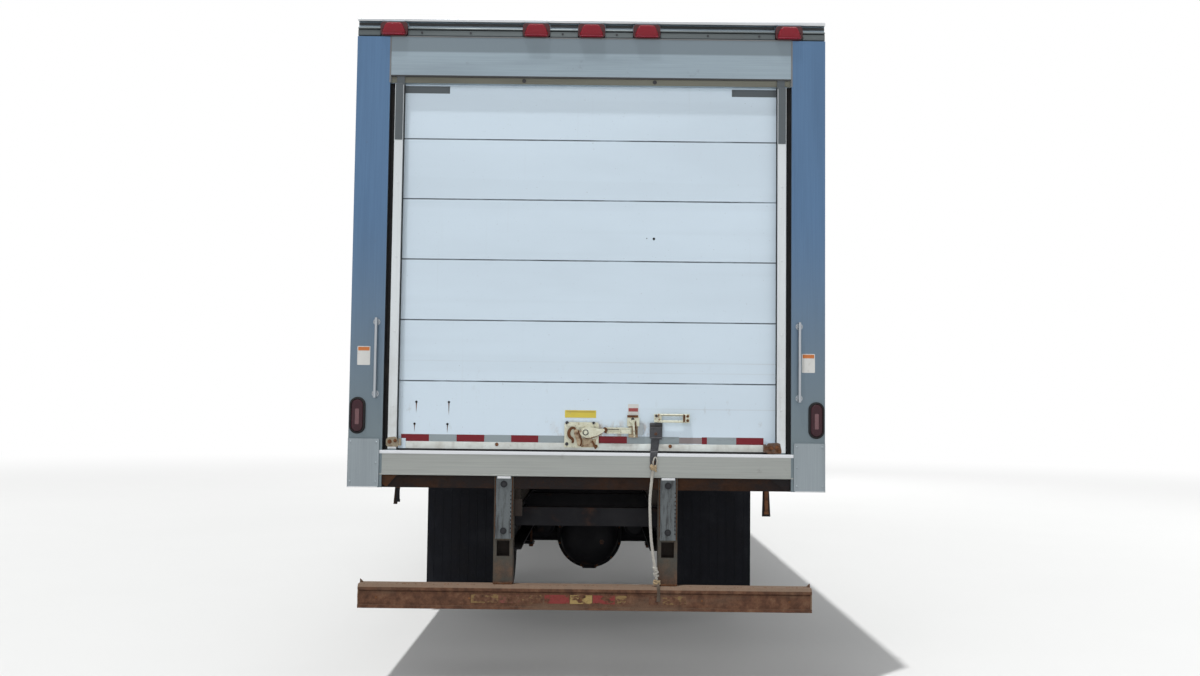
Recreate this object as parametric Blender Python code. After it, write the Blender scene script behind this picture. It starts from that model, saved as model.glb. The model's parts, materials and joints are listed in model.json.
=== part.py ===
"""Box truck: medium cab with a tilting hood, ladder frame and a dry freight body.

Metres, +Z up, +Y towards the front bumper. The origin is on the ground, midway along the
truck and on its centreline.
"""

import math

import bmesh
import bpy
from mathutils import Matrix, Vector

# Whole vehicle
BODY_WIDTH = 2.591
BODY_LENGTH = 7.92
BODY_TO_CAB = 0.11
CAB_TO_BUMPER = 2.72
REAR_OVERHANG = 3.30
WHEELBASE = 6.41
ROOF_TOP = 3.67
FLOOR_TOP = 1.28
SEAT = 0.0003
OVERRUN = 0.02
SINK = 0.004

OVERALL_LENGTH = BODY_LENGTH + BODY_TO_CAB + CAB_TO_BUMPER
REAR_Y = -OVERALL_LENGTH / 2
BODY_FRONT_Y = REAR_Y + BODY_LENGTH
CAB_BACK_Y = BODY_FRONT_Y + BODY_TO_CAB
BUMPER_Y = REAR_Y + OVERALL_LENGTH
REAR_AXLE_Y = REAR_Y + REAR_OVERHANG
FRONT_AXLE_Y = REAR_AXLE_Y + WHEELBASE
BODY_HALF = BODY_WIDTH / 2

# Cargo walls and floor
WALL = 0.045
ROOF_THICKNESS = 0.05
ROOF_EDGE_RADIUS = 0.03
DECK = 0.035
SIDE_DROP = 0.13
CROSS_SILL_HEIGHT = 0.10
CROSS_SILL_WIDTH = 0.045
CROSS_SILL_PITCH = 0.61
LONG_SILL_HEIGHT = 0.155
LONG_SILL_WIDTH = 0.06
CROSS_SILL_BOTTOM = FLOOR_TOP - DECK - CROSS_SILL_HEIGHT
LONG_SILL_BOTTOM = CROSS_SILL_BOTTOM - LONG_SILL_HEIGHT
ROOF_UNDER = ROOF_TOP - ROOF_THICKNESS
WALL_INNER = BODY_HALF - WALL

# Rear frame
FACE_SETBACK = 0.03
POST_WIDTH = 0.185
POST_DEPTH = 0.15
SLOT_WIDTH = 0.030
SLOT_DEPTH = 0.028
JAMB_WIDTH = 0.047
JAMB_SETBACK = 0.004
JAMB_BACK = 0.034
CORNER_PLATE_WIDTH = 0.17
CORNER_PLATE_HEIGHT = 0.263
CORNER_PLATE_PROUD = 0.006
SILL_BRACKET_THICKNESS = 0.006
SILL_BRACKET_SETBACK = 0.05
SILL_HEIGHT = 0.13
LOWER_SILL_HEIGHT = 0.07
LOWER_SILL_SETBACK = 0.02
RAIL_HEIGHT = 0.105
RAIL_CAP = 0.015
RAIL_RECESS = 0.03
HEADER_PLATE_HEIGHT = 0.22
LIP_HEIGHT = 0.04
LIP_SETBACK = 0.008
MARKER_WIDTH = 0.150
MARKER_HEIGHT = 0.080
MARKER_PROUD = 0.006
MARKER_CORNER = 0.024
MARKER_OUTER_X = 1.094
MARKER_INNER_X = 0.306
LAMP_WIDTH = 0.087
LAMP_HEIGHT = 0.200
LAMP_PROUD = 0.014
LAMP_LENS_INSET = 0.012
LAMP_INSET = 0.0475
LAMP_CENTRE_Z = 1.468
GRAB_BAR_RADIUS = 0.008
GRAB_BAR_REACH = 0.022
GRAB_BAR_INSET = 0.142
GRAB_BAR_LOW = 1.565
GRAB_BAR_HIGH = 2.00
POST_FACE = REAR_Y + FACE_SETBACK
POST_BACK = POST_FACE + POST_DEPTH
POST_INNER = BODY_HALF - POST_WIDTH
SLOT_INNER = POST_INNER - SLOT_WIDTH
JAMB_INNER = SLOT_INNER - JAMB_WIDTH
SILL_BOTTOM = FLOOR_TOP - SILL_HEIGHT
LOWER_SILL_BOTTOM = SILL_BOTTOM - LOWER_SILL_HEIGHT
RAIL_BOTTOM = ROOF_TOP - RAIL_HEIGHT
DOORWAY_TOP = RAIL_BOTTOM - HEADER_PLATE_HEIGHT - LIP_HEIGHT
BODY_BACK = POST_BACK + SEAT

# Roll-up door
PANEL_HEIGHT = 0.335
PANEL_COUNT = 6
PANEL_THICKNESS = 0.032
SEAM_WIDTH = 0.008
SEAM_DEPTH = 0.006
DOOR_SIDE_GAP = 0.004
BOTTOM_RAIL_HEIGHT = 0.045
BOTTOM_RAIL_PROUD = 0.004
DOOR_BRACKET_WIDTH = 0.042
DOOR_BRACKET_LOW = 0.012
DOOR_BRACKET_HIGH = 0.066
DOOR_BRACKET_PROUD = 0.010
DOOR_FACE = POST_FACE + JAMB_BACK + SEAT
DOOR_HALF = SLOT_INNER - DOOR_SIDE_GAP
DOOR_BOTTOM = FLOOR_TOP + SEAT

# Latch and lift handle, x from the centreline and z from the deck
LATCH_PLATE_X = (-0.122, 0.065)
LATCH_PLATE_Z = (0.026, 0.164)
LATCH_PLATE_THICKNESS = 0.006
LATCH_BOSS_X = -0.010
LATCH_BOSS_Z = 0.108
LATCH_BOSS_RADIUS = 0.026
LATCH_BOSS_PROUD = 0.030
LATCH_BAR_X = (-0.085, 0.285)
LATCH_BAR_Z = (0.107, 0.131)
LATCH_BAR_PROUD = 0.022
KEEPER_X = (0.219, 0.288)
KEEPER_Z = (0.081, 0.201)
HANDLE_X = (0.366, 0.561)
HANDLE_Z = (0.167, 0.214)
HANDLE_PROUD = 0.028
HANDLE_FOOT = 0.030
HANDLE_GRIP = 0.014

# Pull strap and rope
STRAP_X = 0.380
STRAP_WIDTH = 0.076
STRAP_TAIL_WIDTH = 0.054
STRAP_THICKNESS = 0.006
STRAP_TOP = 0.165
STRAP_FOLD = 0.076
STRAP_END = -0.062
STRAP_LEDGE_GAP = 0.003
ROPE_RADIUS = 0.008
ROPE_SPACING = 0.018

# Underride guard
GUARD_WIDTH = 2.44
GUARD_BOTTOM = 0.438
GUARD_HEIGHT = 0.127
GUARD_DEPTH = 0.10
GUARD_LEDGE = 0.030
GUARD_LIP = 0.018
GUARD_GROOVE = 0.008
GUARD_UPRIGHT_OUTBOARD = 0.011
GUARD_UPRIGHT_WIDTH = 0.105
GUARD_UPRIGHT_DEPTH = 0.10
GUARD_PLATE_HEIGHT = 0.27
GUARD_PLATE_THICKNESS = 0.008
GUARD_PLATE_INSET = 0.010
GUARD_WINDOW_WIDTH = 0.070
GUARD_WINDOW_HEIGHT = 0.085
GUARD_WINDOW_DEPTH = 0.05
GUARD_TIP_WIDTH = 0.022
GUARD_TIP_HEIGHT = 0.018
GUARD_STUB_REACH = 0.045
GUARD_STUB_LOW = 0.93
GUARD_STUB_HIGH = 1.02
GUARD_STUB_THICKNESS = 0.03
GUARD_TOP = GUARD_BOTTOM + GUARD_HEIGHT

# Mud flaps
FLAP_OUTER = 1.205
FLAP_WIDTH = 0.61
FLAP_THICKNESS = 0.008
FLAP_BOTTOM = 0.20
FLAP_TOP = 0.975
FLAP_FROM_REAR = 2.45
HANGER_BAR = 0.03
FLAP_Y = REAR_Y + FLAP_FROM_REAR

# Ladder frame
FRAME_HALF = 0.435
RAIL_DEPTH = 0.25
RAIL_FLANGE = 0.08
RAIL_WEB = 0.010
FRAME_FRONT_SETBACK = 0.33
CROSS_MEMBER_HEIGHT = 0.10
CROSS_MEMBER_WIDTH = 0.08
CROSS_MEMBER_PITCH = 1.03
CROSS_MEMBER_END_GAP = 0.07
FRAME_TOP = LONG_SILL_BOTTOM - SEAT
FRAME_BOTTOM = FRAME_TOP - RAIL_DEPTH
FRAME_REAR = POST_FACE + LOWER_SILL_SETBACK + GUARD_UPRIGHT_DEPTH + SEAT
FRAME_FRONT = BUMPER_Y - FRAME_FRONT_SETBACK
SPRING_HANGER_LENGTH = 0.10

# Tyres and wheels
TYRE_RADIUS = 0.49
TYRE_WIDTH = 0.25
TYRE_SHOULDER = 0.030
RIM_RADIUS = 0.286
RIM_WIDTH = 0.21
RIM_WALL = 0.020
RIM_FLANGE = 0.012
WHEEL_SEGMENTS = 28
FRONT_WHEEL_X = 1.02
DUAL_SPACING = 0.32
DUAL_CENTRE_X = 0.905
DISC_THICKNESS = 0.014
HUB_RADIUS = 0.105
HUB_BORE = 0.045
HUB_NECK_SHARE = 0.8
HUB_PAD_SHARE = 1.6
HUB_CLEARANCE = 0.001
DRUM_RADIUS = 0.205
DRUM_WALL = 0.014
FRONT_DISC_OFFSET = 0.060
FRONT_HUB_IN = 0.080
FRONT_HUB_OUT = 0.110
REAR_HUB_IN = 0.230
REAR_HUB_OUT = 0.215

# Rear axle and springs
AXLE_TUBE_RADIUS = 0.06
DIFF_RADIUS = 0.27
DIFF_HALF = 0.15
DIFF_NOSE_RADIUS = 0.10
DIFF_NOSE_LENGTH = 0.40
DIFF_NOSE_SHARE = 0.8
# The bowl's half section as shares of its radius and half width
DIFF_SHARES = ((0, -1), (0.75, -0.8), (1, -0.3), (1, 0.3), (0.75, 0.8), (0, 1))
SPRING_WIDTH = 0.07
SPRING_THICKNESS = 0.085
SPRING_TIP = 0.022
REAR_SPRING_HALF = 0.70
FRONT_SPRING_HALF = 0.60
SPRING_EYE = 0.032
REAR_SPRING_OUTBOARD = 0.085

REAR_SPRING_X = FRAME_HALF + REAR_SPRING_OUTBOARD
FRONT_SPRING_X = FRAME_HALF - RAIL_FLANGE / 2

# Front axle, knuckles and tie rod
KINGPIN_X = 0.85
KINGPIN_BOSS_RADIUS = 0.045
KINGPIN_BOSS_HALF = 0.065
BEAM_DROP = 0.10
BEAM_HEIGHT = 0.08
BEAM_DEPTH = 0.08
BEAM_KNEE_SHARE = 0.62
FORK_THICKNESS = 0.032
KNUCKLE_PLATE_OFFSET = 0.055
KNUCKLE_PLATE_THICKNESS = 0.022
KNUCKLE_PLATE_HALF = 0.062
ARM_LENGTH = 0.20
ARM_WIDTH = 0.040
TIE_ROD_RADIUS = 0.018
TIE_ROD_EYE = 0.030
TIE_ROD_EYE_HEIGHT = 0.040

# Drive line, tank and boxes
ENGINE_WIDTH = 0.68
ENGINE_LENGTH = 0.92
ENGINE_BOTTOM = 0.62
ENGINE_TOP = 1.40
ENGINE_AHEAD_OF_CAB_WALL = 0.06
GEARBOX_WIDTH = 0.42
GEARBOX_LENGTH = 0.80
GEARBOX_TOP = 0.98
SHAFT_RADIUS = 0.045
SHAFT_FRONT_Z = 0.76
TANK_REACH = 0.56
TANK_LENGTH = 0.92
TANK_BOTTOM = 0.44
TANK_TOP = 0.94
TANK_CORNER = 0.12
BATTERY_LENGTH = 0.70
BATTERY_CORNER = 0.04
TANK_TO_ARCH = 0.22
STEP_REACH = 0.10
STEP_LENGTH = 0.46
STEP_THICKNESS = 0.025
STEP_HEIGHTS = (0.50, 0.78)
STEP_FROM_FRONT = 0.10
MUFFLER_RADIUS = 0.13
MUFFLER_LENGTH = 1.05
MUFFLER_X = 0.62
MUFFLER_Z = 0.72
MUFFLER_BEHIND_CAB = 0.45
PIPE_RADIUS = 0.045
PIPE_LENGTH = 0.90
STRAP_LENGTH = 0.05

# Cab
CAB_HALF = 1.00
CAB_WALL = 0.05
CAB_FLOOR_TOP = 1.10
CAB_FLOOR_THICKNESS = 0.05
CAB_TOP = 2.62
CAB_HEADER_Z = 2.46
BELT_Z = 1.72
CAB_LEAN_DEGREES = 5.0
FIREWALL_FROM_CAB_BACK = 1.235
COWL_FROM_CAB_BACK = 1.20
PILLAR_TOP_FROM_CAB_BACK = 0.86
PILLAR_WIDTH = 0.085
QUARTER_LENGTH = 0.20
DOOR_FRONT_FROM_CAB_BACK = 1.015
DOOR_GAP = 0.006
ROCKER_DROP = 0.08
COWL_THICKNESS = 0.045
ROOF_VISOR = 0.04
ROOF_SKIN = 0.045
ROOF_SECTION_SHARES = ((0, 1), (0.62, 0.95), (0.88, 0.82), (0.97, 0.60), (1, 0.25), (1, 0))
WINDSCREEN_SHARES = (0.01, 0.985)
REAR_WINDOW_HALF = 0.48
REAR_WINDOW_LOW = 1.80
REAR_WINDOW_HIGH = 2.22
GLASS_THICKNESS = 0.006
GLASS_LAP = 0.025
CAB_BACK_TOP = CAB_HEADER_Z - SEAT
COWL_Y = CAB_BACK_Y + COWL_FROM_CAB_BACK
FIREWALL_Y = CAB_BACK_Y + FIREWALL_FROM_CAB_BACK
PILLAR_TOP_Y = CAB_BACK_Y + PILLAR_TOP_FROM_CAB_BACK
DOOR_FRONT_Y = CAB_BACK_Y + DOOR_FRONT_FROM_CAB_BACK
DOOR_REAR_Y = CAB_BACK_Y + QUARTER_LENGTH + DOOR_GAP
HINGE_Y = DOOR_FRONT_Y + DOOR_GAP / 2
CAB_FLOOR_BOTTOM = CAB_FLOOR_TOP - CAB_FLOOR_THICKNESS
DASH_BACK_Y = COWL_Y - 2 * PILLAR_WIDTH

# Cab doors and mirrors
HINGE_RADIUS = 0.011
HINGE_LENGTH = 0.035
HINGE_LEAF = 0.035
HINGE_LEAF_THICKNESS = 0.008
HINGE_LOW = 1.24
HINGE_HIGH = 1.58
DOOR_TOP_Z = 2.45
DOOR_SLANT = 0.27
WINDOW_FRAME = 0.06
WINDOW_LOW = 1.78
MIRROR_WIDTH = 0.20
MIRROR_HEIGHT = 0.42
MIRROR_DEPTH = 0.07
MIRROR_INNER = 1.215
MIRROR_LOW = 1.76
MIRROR_FROM_HINGE = 0.12
MIRROR_ARM = 0.022

# Seat and dashboard
SEAT_SIDE_GAP = 0.07
SEAT_CUSHION_TOP = 1.43
SEAT_CUSHION_FRONT = 0.54
SEAT_CUSHION_THICKNESS = 0.16
SEAT_BACK_TOP = 2.02
SEAT_BACK_THICKNESS = 0.14
SEAT_BACK_GAP = 0.02
DASH_SIDE_GAP = 0.03
DASH_TOP = 1.67
DASH_BOTTOM = 1.38
DASH_DEPTH = 0.34
STEERING_X_SHARE = 0.45
STEERING_RADIUS = 0.22
STEERING_RIM = 0.016
STEERING_REACH = 0.16
STEERING_TILT_DEGREES = 32.0
STEERING_SEGMENTS = 24

# Hood with its fenders. Each section is its place ahead of the cab's back wall, the hood's
# half width and top, the fenders' half width and top, and the bottom edge.
HOOD_SECTIONS = (
    (1.045, 0.80, 1.76, 1.17, 1.30, 0.60),
    (1.30, 0.79, 1.75, 1.17, 1.32, 0.60),
    (1.68, 0.76, 1.71, 1.17, 1.33, 0.60),
    (2.20, 0.69, 1.62, 1.16, 1.29, 0.70),
    (2.48, 0.64, 1.53, 1.11, 1.21, 0.74),
    (2.60, 0.60, 1.44, 1.02, 1.13, 0.76),
)
HOOD_VALLEY = 0.06
HOOD_SHOULDER = 0.10
FENDER_SHOULDER = 0.09
HOOD_CROWN_SHARE = 0.55
HOOD_LUG_GAP = 0.006
HOOD_LUG_THICKNESS = 0.03
HOOD_LUG_HALF = 0.028
HOOD_PIN_RADIUS = 0.014
ARCH_INNER = 0.88
HOOD_PANEL = 0.03
HOOD_REAR_FROM_CAB_BACK = 1.27
CAB_CLEARANCE = 0.02
ARCH_RADIUS = 0.575
HOOD_PIVOT_SETBACK = 0.20
HOOD_PIVOT_Z = 0.72
GRILLE_HALF = 0.52
GRILLE_LOW = 0.86
GRILLE_HIGH = 1.36
GRILLE_BARS = 6
GRILLE_BAR_HEIGHT = 0.028
GRILLE_FRAME = 0.03
HEADLAMP_INNER = 0.66
HEADLAMP_OUTER = 0.98
HEADLAMP_LOW = 0.88
HEADLAMP_HIGH = 1.12
HEADLAMP_PROUD = 0.012

# Front bumper
BUMPER_HALF = 1.16
BUMPER_LOW = 0.40
BUMPER_HIGH = 0.66
BUMPER_DEPTH = 0.10
BUMPER_SWEEP = 0.14
BUMPER_BRACKET = 0.06
BUMPER_CORNER = 0.35

# Steering, door and hood joint centres
HOOD_LUG_X = FRAME_HALF + HOOD_LUG_GAP
WHEEL_Z = TYRE_RADIUS
HOOD_REAR_Y = CAB_BACK_Y + HOOD_REAR_FROM_CAB_BACK
HOOD_PIVOT_Y = BUMPER_Y - HOOD_PIVOT_SETBACK

SIDES = (("left", -1), ("right", 1))

# Finishes: colour, roughness, metallic
FINISHES = {
    "white_paint": ((0.80, 0.82, 0.84), 0.35, 0.0),
    "cab_paint": ((0.82, 0.83, 0.84), 0.25, 0.0),
    "stainless": ((0.62, 0.64, 0.66), 0.30, 1.0),
    "frame_black": ((0.03, 0.03, 0.03), 0.55, 0.0),
    "rusty_steel": ((0.20, 0.11, 0.07), 0.85, 0.2),
    "deck_wood": ((0.30, 0.20, 0.12), 0.80, 0.0),
    "aluminium": ((0.70, 0.71, 0.72), 0.35, 1.0),
    "tyre_rubber": ((0.02, 0.02, 0.02), 0.85, 0.0),
    "flap_rubber": ((0.03, 0.03, 0.03), 0.80, 0.0),
    "wheel_paint": ((0.75, 0.75, 0.74), 0.40, 0.0),
    "red_lens": ((0.45, 0.02, 0.02), 0.20, 0.0),
    "glass": ((0.10, 0.13, 0.13), 0.05, 0.0),
    "black_plastic": ((0.03, 0.03, 0.03), 0.50, 0.0),
    "grey_fabric": ((0.15, 0.15, 0.16), 0.90, 0.0),
    "chrome": ((0.75, 0.76, 0.78), 0.12, 1.0),
    "clear_lens": ((0.80, 0.82, 0.84), 0.10, 0.0),
    "black_webbing": ((0.02, 0.02, 0.02), 0.90, 0.0),
    "grey_rope": ((0.45, 0.43, 0.40), 0.90, 0.0),
}


def make_material(name):
    colour, roughness, metallic = FINISHES[name]
    material = bpy.data.materials.get(name) or bpy.data.materials.new(name)
    material.use_nodes = True
    shader = material.node_tree.nodes["Principled BSDF"]
    shader.inputs["Base Color"].default_value = (*colour, 1.0)
    shader.inputs["Roughness"].default_value = roughness
    shader.inputs["Metallic"].default_value = metallic
    return material


def finish_mesh(bm):
    """Turn a closed bmesh into a mesh whose faces point out."""
    bmesh.ops.recalc_face_normals(bm, faces=bm.faces)
    mesh = bpy.data.meshes.new("solid")
    bm.to_mesh(mesh)
    bm.free()
    return mesh


def loft(rings):
    """A closed body through rings of points, capped at both ends."""
    bm = bmesh.new()
    loops = [[bm.verts.new(point) for point in ring] for ring in rings]
    for lower, upper in zip(loops, loops[1:]):
        for index, corner in enumerate(lower):
            after = (index + 1) % len(lower)
            bm.faces.new((corner, lower[after], upper[after], upper[index]))
    bm.faces.new(list(reversed(loops[0])))
    bm.faces.new(loops[-1])
    return finish_mesh(bm)


def prism(outline, axis, low, high):
    """An outline of points extruded along X, Y or Z from low to high."""
    place = {
        "X": lambda along, u, v: (along, u, v),
        "Y": lambda along, u, v: (u, along, v),
        "Z": lambda along, u, v: (u, v, along),
    }[axis]
    return loft([[place(along, u, v) for u, v in outline] for along in (low, high)])


def turned(outline, centre, segments=WHEEL_SEGMENTS):
    """A closed outline of (radius, x) points turned about the X axis through centre."""
    bm = bmesh.new()
    verts = [bm.verts.new((x, 0, radius)) for radius, x in outline]
    edges = [bm.edges.new(pair) for pair in zip(verts, verts[1:] + verts[:1])]
    bmesh.ops.spin(
        bm, geom=verts + edges, cent=(0, 0, 0), axis=(1, 0, 0), dvec=(0, 0, 0),
        angle=math.tau, steps=segments, use_merge=True, use_duplicate=False,
    )
    bmesh.ops.remove_doubles(bm, verts=bm.verts, dist=SEAT / 10)
    bmesh.ops.translate(bm, verts=bm.verts, vec=centre)
    mesh = finish_mesh(bm)
    return mesh


def box(low, high):
    """A block between two opposite corners."""
    outline = [(low[0], low[1]), (high[0], low[1]), (high[0], high[1]), (low[0], high[1])]
    return prism(outline, "Z", low[2], high[2])


def rod(start, end, radius, sides=16, end_radius=None):
    """A round bar, or a cone with an end radius, between two points."""
    start, end = Vector(start), Vector(end)
    turn = (end - start).to_track_quat("Z", "Y")
    rings = []
    for centre, size in ((start, radius), (end, end_radius or radius)):
        ring = []
        for step in range(sides):
            angle = math.tau * step / sides
            ring.append(centre + turn @ Vector((size * math.cos(angle), size * math.sin(angle), 0)))
        rings.append(ring)
    return loft(rings)


def rounded(low, high, radius, steps=4):
    """The outline of a rectangle with round corners."""
    points = []
    corners = (
        (high[0] - radius, high[1] - radius, 0.0),
        (low[0] + radius, high[1] - radius, 0.25),
        (low[0] + radius, low[1] + radius, 0.5),
        (high[0] - radius, low[1] + radius, 0.75),
    )
    for u, v, start_share in corners:
        for step in range(steps + 1):
            angle = math.tau * (start_share + step / steps / 4)
            points.append((u + radius * math.cos(angle), v + radius * math.sin(angle)))
    return points


def combine(meshes, cutters=()):
    """One mesh: the union of the meshes, less the cutters."""
    scene = bpy.context.scene
    base = bpy.data.objects.new("base", meshes[0])
    scene.collection.objects.link(base)
    groups = []
    for operation, operands in (("UNION", meshes[1:]), ("DIFFERENCE", cutters)):
        if not operands:
            continue
        group = bpy.data.collections.new(operation)
        scene.collection.children.link(group)
        groups.append(group)
        for mesh in operands:
            group.objects.link(bpy.data.objects.new("operand", mesh))
        modifier = base.modifiers.new(operation, "BOOLEAN")
        modifier.operation = operation
        modifier.solver = "EXACT"
        modifier.operand_type = "COLLECTION"
        modifier.collection = group
    graph = bpy.context.evaluated_depsgraph_get()
    result = bpy.data.meshes.new_from_object(base.evaluated_get(graph))
    for group in groups:
        for operand in list(group.objects):
            bpy.data.objects.remove(operand)
        bpy.data.collections.remove(group)
    bpy.data.objects.remove(base)
    return result


def mirror_x(mesh, side):
    """The mesh itself on the right side, or its mirror image on the left."""
    if side < 0:
        mesh.transform(Matrix.Scale(-1, 4, (1, 0, 0)))
        mesh.flip_normals()
    return mesh


def pivot(name, location):
    """An empty on a joint's axis."""
    empty = bpy.data.objects.new(name, None)
    empty.location = location
    bpy.context.scene.collection.objects.link(empty)
    return empty


def add_part(name, mesh, finish, parent=None, smooth_degrees=30.0):
    """A named sub-part. Under a parent empty its mesh is kept where it was built."""
    if parent:
        mesh.transform(Matrix.Translation(-parent.location))
    mesh.name = name
    mesh.materials.clear()
    mesh.materials.append(make_material(finish))
    mesh.shade_smooth()
    mesh.set_sharp_from_angle(angle=math.radians(smooth_degrees))
    part = bpy.data.objects.new(name, mesh)
    part.parent = parent
    bpy.context.scene.collection.objects.link(part)
    return part


def spaced(low, high, pitch):
    """Places from low to high, evenly spaced at close to the pitch."""
    count = max(1, round((high - low) / pitch))
    return [low + (high - low) * index / count for index in range(count + 1)]


def build_floor():
    front = BODY_FRONT_Y - WALL - SEAT
    half = WALL_INNER - SEAT
    solids = [box((-half, BODY_BACK, FLOOR_TOP - DECK), (half, front, FLOOR_TOP))]
    low_y = BODY_BACK + CROSS_SILL_WIDTH / 2
    for y in spaced(low_y, front - CROSS_SILL_WIDTH / 2, CROSS_SILL_PITCH):
        solids.append(box(
            (-half, y - CROSS_SILL_WIDTH / 2, CROSS_SILL_BOTTOM),
            (half, y + CROSS_SILL_WIDTH / 2, FLOOR_TOP - DECK + SINK),
        ))
    for _, side in SIDES:
        outer = side * (FRAME_HALF - (RAIL_FLANGE - LONG_SILL_WIDTH) / 2)
        inner = outer - side * LONG_SILL_WIDTH
        solids.append(box(
            (min(outer, inner), BODY_BACK, LONG_SILL_BOTTOM),
            (max(outer, inner), front, CROSS_SILL_BOTTOM + SINK),
        ))
    add_part("body_floor", combine(solids), "deck_wood")


def build_walls():
    low_z = FLOOR_TOP - SIDE_DROP
    top_z = ROOF_UNDER - SEAT
    for name, side in SIDES:
        wall = box((WALL_INNER, BODY_BACK, low_z), (BODY_HALF, BODY_FRONT_Y, top_z))
        add_part(f"body_side_{name}", mirror_x(wall, side), "white_paint")
    half = WALL_INNER - SEAT
    front = box((-half, BODY_FRONT_Y - WALL, low_z), (half, BODY_FRONT_Y, top_z))
    add_part("body_front_wall", front, "white_paint")
    outline = [(-BODY_HALF, ROOF_UNDER), (BODY_HALF, ROOF_UNDER)]
    for side, start_share in ((1, 0.0), (-1, 0.25)):
        centre_x = side * (BODY_HALF - ROOF_EDGE_RADIUS)
        for step in range(5):
            angle = math.tau * (start_share + step / 16)
            outline.append((
                centre_x + ROOF_EDGE_RADIUS * math.cos(angle),
                ROOF_TOP - ROOF_EDGE_RADIUS + ROOF_EDGE_RADIUS * math.sin(angle),
            ))
    add_part("body_roof", prism(outline, "Y", BODY_BACK, BODY_FRONT_Y), "white_paint")


def build_posts():
    jamb_face = POST_FACE + JAMB_SETBACK
    plan = [
        (BODY_HALF, POST_FACE),
        (POST_INNER, POST_FACE),
        (POST_INNER, POST_FACE + SLOT_DEPTH),
        (SLOT_INNER, POST_FACE + SLOT_DEPTH),
        (SLOT_INNER, jamb_face),
        (JAMB_INNER, jamb_face),
        (JAMB_INNER, POST_FACE + JAMB_BACK),
        (SLOT_INNER, POST_FACE + JAMB_BACK),
        (SLOT_INNER, POST_BACK),
        (BODY_HALF, POST_BACK),
    ]
    for name, side in SIDES:
        solids = [prism(plan, "Z", FLOOR_TOP + SEAT, DOORWAY_TOP - SEAT)]
        solids.append(box(
            (POST_INNER, POST_FACE, LOWER_SILL_BOTTOM),
            (BODY_HALF, POST_BACK, RAIL_BOTTOM - SEAT),
        ))
        solids.append(box(
            (BODY_HALF - CORNER_PLATE_WIDTH, POST_FACE - CORNER_PLATE_PROUD, LOWER_SILL_BOTTOM),
            (BODY_HALF, POST_FACE + SINK, LOWER_SILL_BOTTOM + CORNER_PLATE_HEIGHT),
        ))
        post = mirror_x(combine(solids), side)
        add_part(f"rear_post_{name}", post, "stainless")


def build_grab_bars():
    x = BODY_HALF - GRAB_BAR_INSET
    y = POST_FACE - GRAB_BAR_REACH
    for name, side in SIDES:
        solids = [rod((x, y, GRAB_BAR_LOW), (x, y, GRAB_BAR_HIGH), GRAB_BAR_RADIUS, 8)]
        for z in (GRAB_BAR_LOW + GRAB_BAR_REACH, GRAB_BAR_HIGH - GRAB_BAR_REACH):
            solids.append(rod((x, y, z), (x, POST_FACE - SEAT, z), GRAB_BAR_RADIUS, 8))
        add_part(f"grab_bar_{name}", mirror_x(combine(solids), side), "stainless")


def build_header():
    recess_y = POST_FACE + RAIL_RECESS
    rail = [
        (POST_BACK, RAIL_BOTTOM),
        (POST_BACK, ROOF_TOP),
        (POST_FACE, ROOF_TOP),
        (POST_FACE, ROOF_TOP - RAIL_CAP),
        (recess_y, ROOF_TOP - RAIL_CAP),
        (recess_y, RAIL_BOTTOM),
    ]
    plate_bottom = DOORWAY_TOP + LIP_HEIGHT
    plate = [
        (POST_FACE, RAIL_BOTTOM),
        (POST_FACE, plate_bottom),
        (POST_FACE + LIP_SETBACK, plate_bottom),
        (POST_FACE + LIP_SETBACK, DOORWAY_TOP),
        (POST_FACE + JAMB_BACK, DOORWAY_TOP),
        (POST_FACE + JAMB_BACK, RAIL_BOTTOM + SINK),
        (recess_y - SINK, RAIL_BOTTOM + SINK),
        (recess_y - SINK, RAIL_BOTTOM),
    ]
    half = POST_INNER - SEAT
    solids = [prism(rail, "X", -BODY_HALF, BODY_HALF), prism(plate, "X", -half, half)]
    lamp_low = RAIL_BOTTOM + (RAIL_HEIGHT - RAIL_CAP - MARKER_HEIGHT) / 2
    for x in (-MARKER_OUTER_X, -MARKER_INNER_X, 0, MARKER_INNER_X, MARKER_OUTER_X):
        outline = rounded(
            (x - MARKER_WIDTH / 2, lamp_low),
            (x + MARKER_WIDTH / 2, lamp_low + MARKER_HEIGHT), MARKER_CORNER, 3,
        )
        solids.append(prism(outline, "Y", POST_FACE - MARKER_PROUD, recess_y + SINK))
    add_part("rear_header", combine(solids), "stainless")


# Each bracket's side, its upper and lower edges as insets from the body's side, and its drop
SILL_BRACKETS = (
    (-1, (0.2495, 0.2775), (0.2415, 0.2615), 0.095),
    (1, (0.2935, 0.3275), (0.2855, 0.3315), 0.140),
)


def build_sills():
    half = POST_INNER - SEAT
    sill = box((-half, POST_FACE, SILL_BOTTOM), (half, POST_BACK, FLOOR_TOP))
    add_part("rear_sill", sill, "stainless")
    face = POST_FACE + LOWER_SILL_SETBACK
    top = SILL_BOTTOM - SEAT
    solids = [box((-half, face, LOWER_SILL_BOTTOM), (half, POST_BACK, top))]
    for side, upper, lower, drop in SILL_BRACKETS:
        outline = [
            (side * (BODY_HALF - inset), LOWER_SILL_BOTTOM + SINK) for inset in upper
        ] + [
            (side * (BODY_HALF - inset), LOWER_SILL_BOTTOM - drop) for inset in reversed(lower)
        ]
        y = face + SILL_BRACKET_SETBACK
        solids.append(prism(outline, "Y", y, y + SILL_BRACKET_THICKNESS))
    add_part("rear_lower_sill", combine(solids), "rusty_steel")


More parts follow.
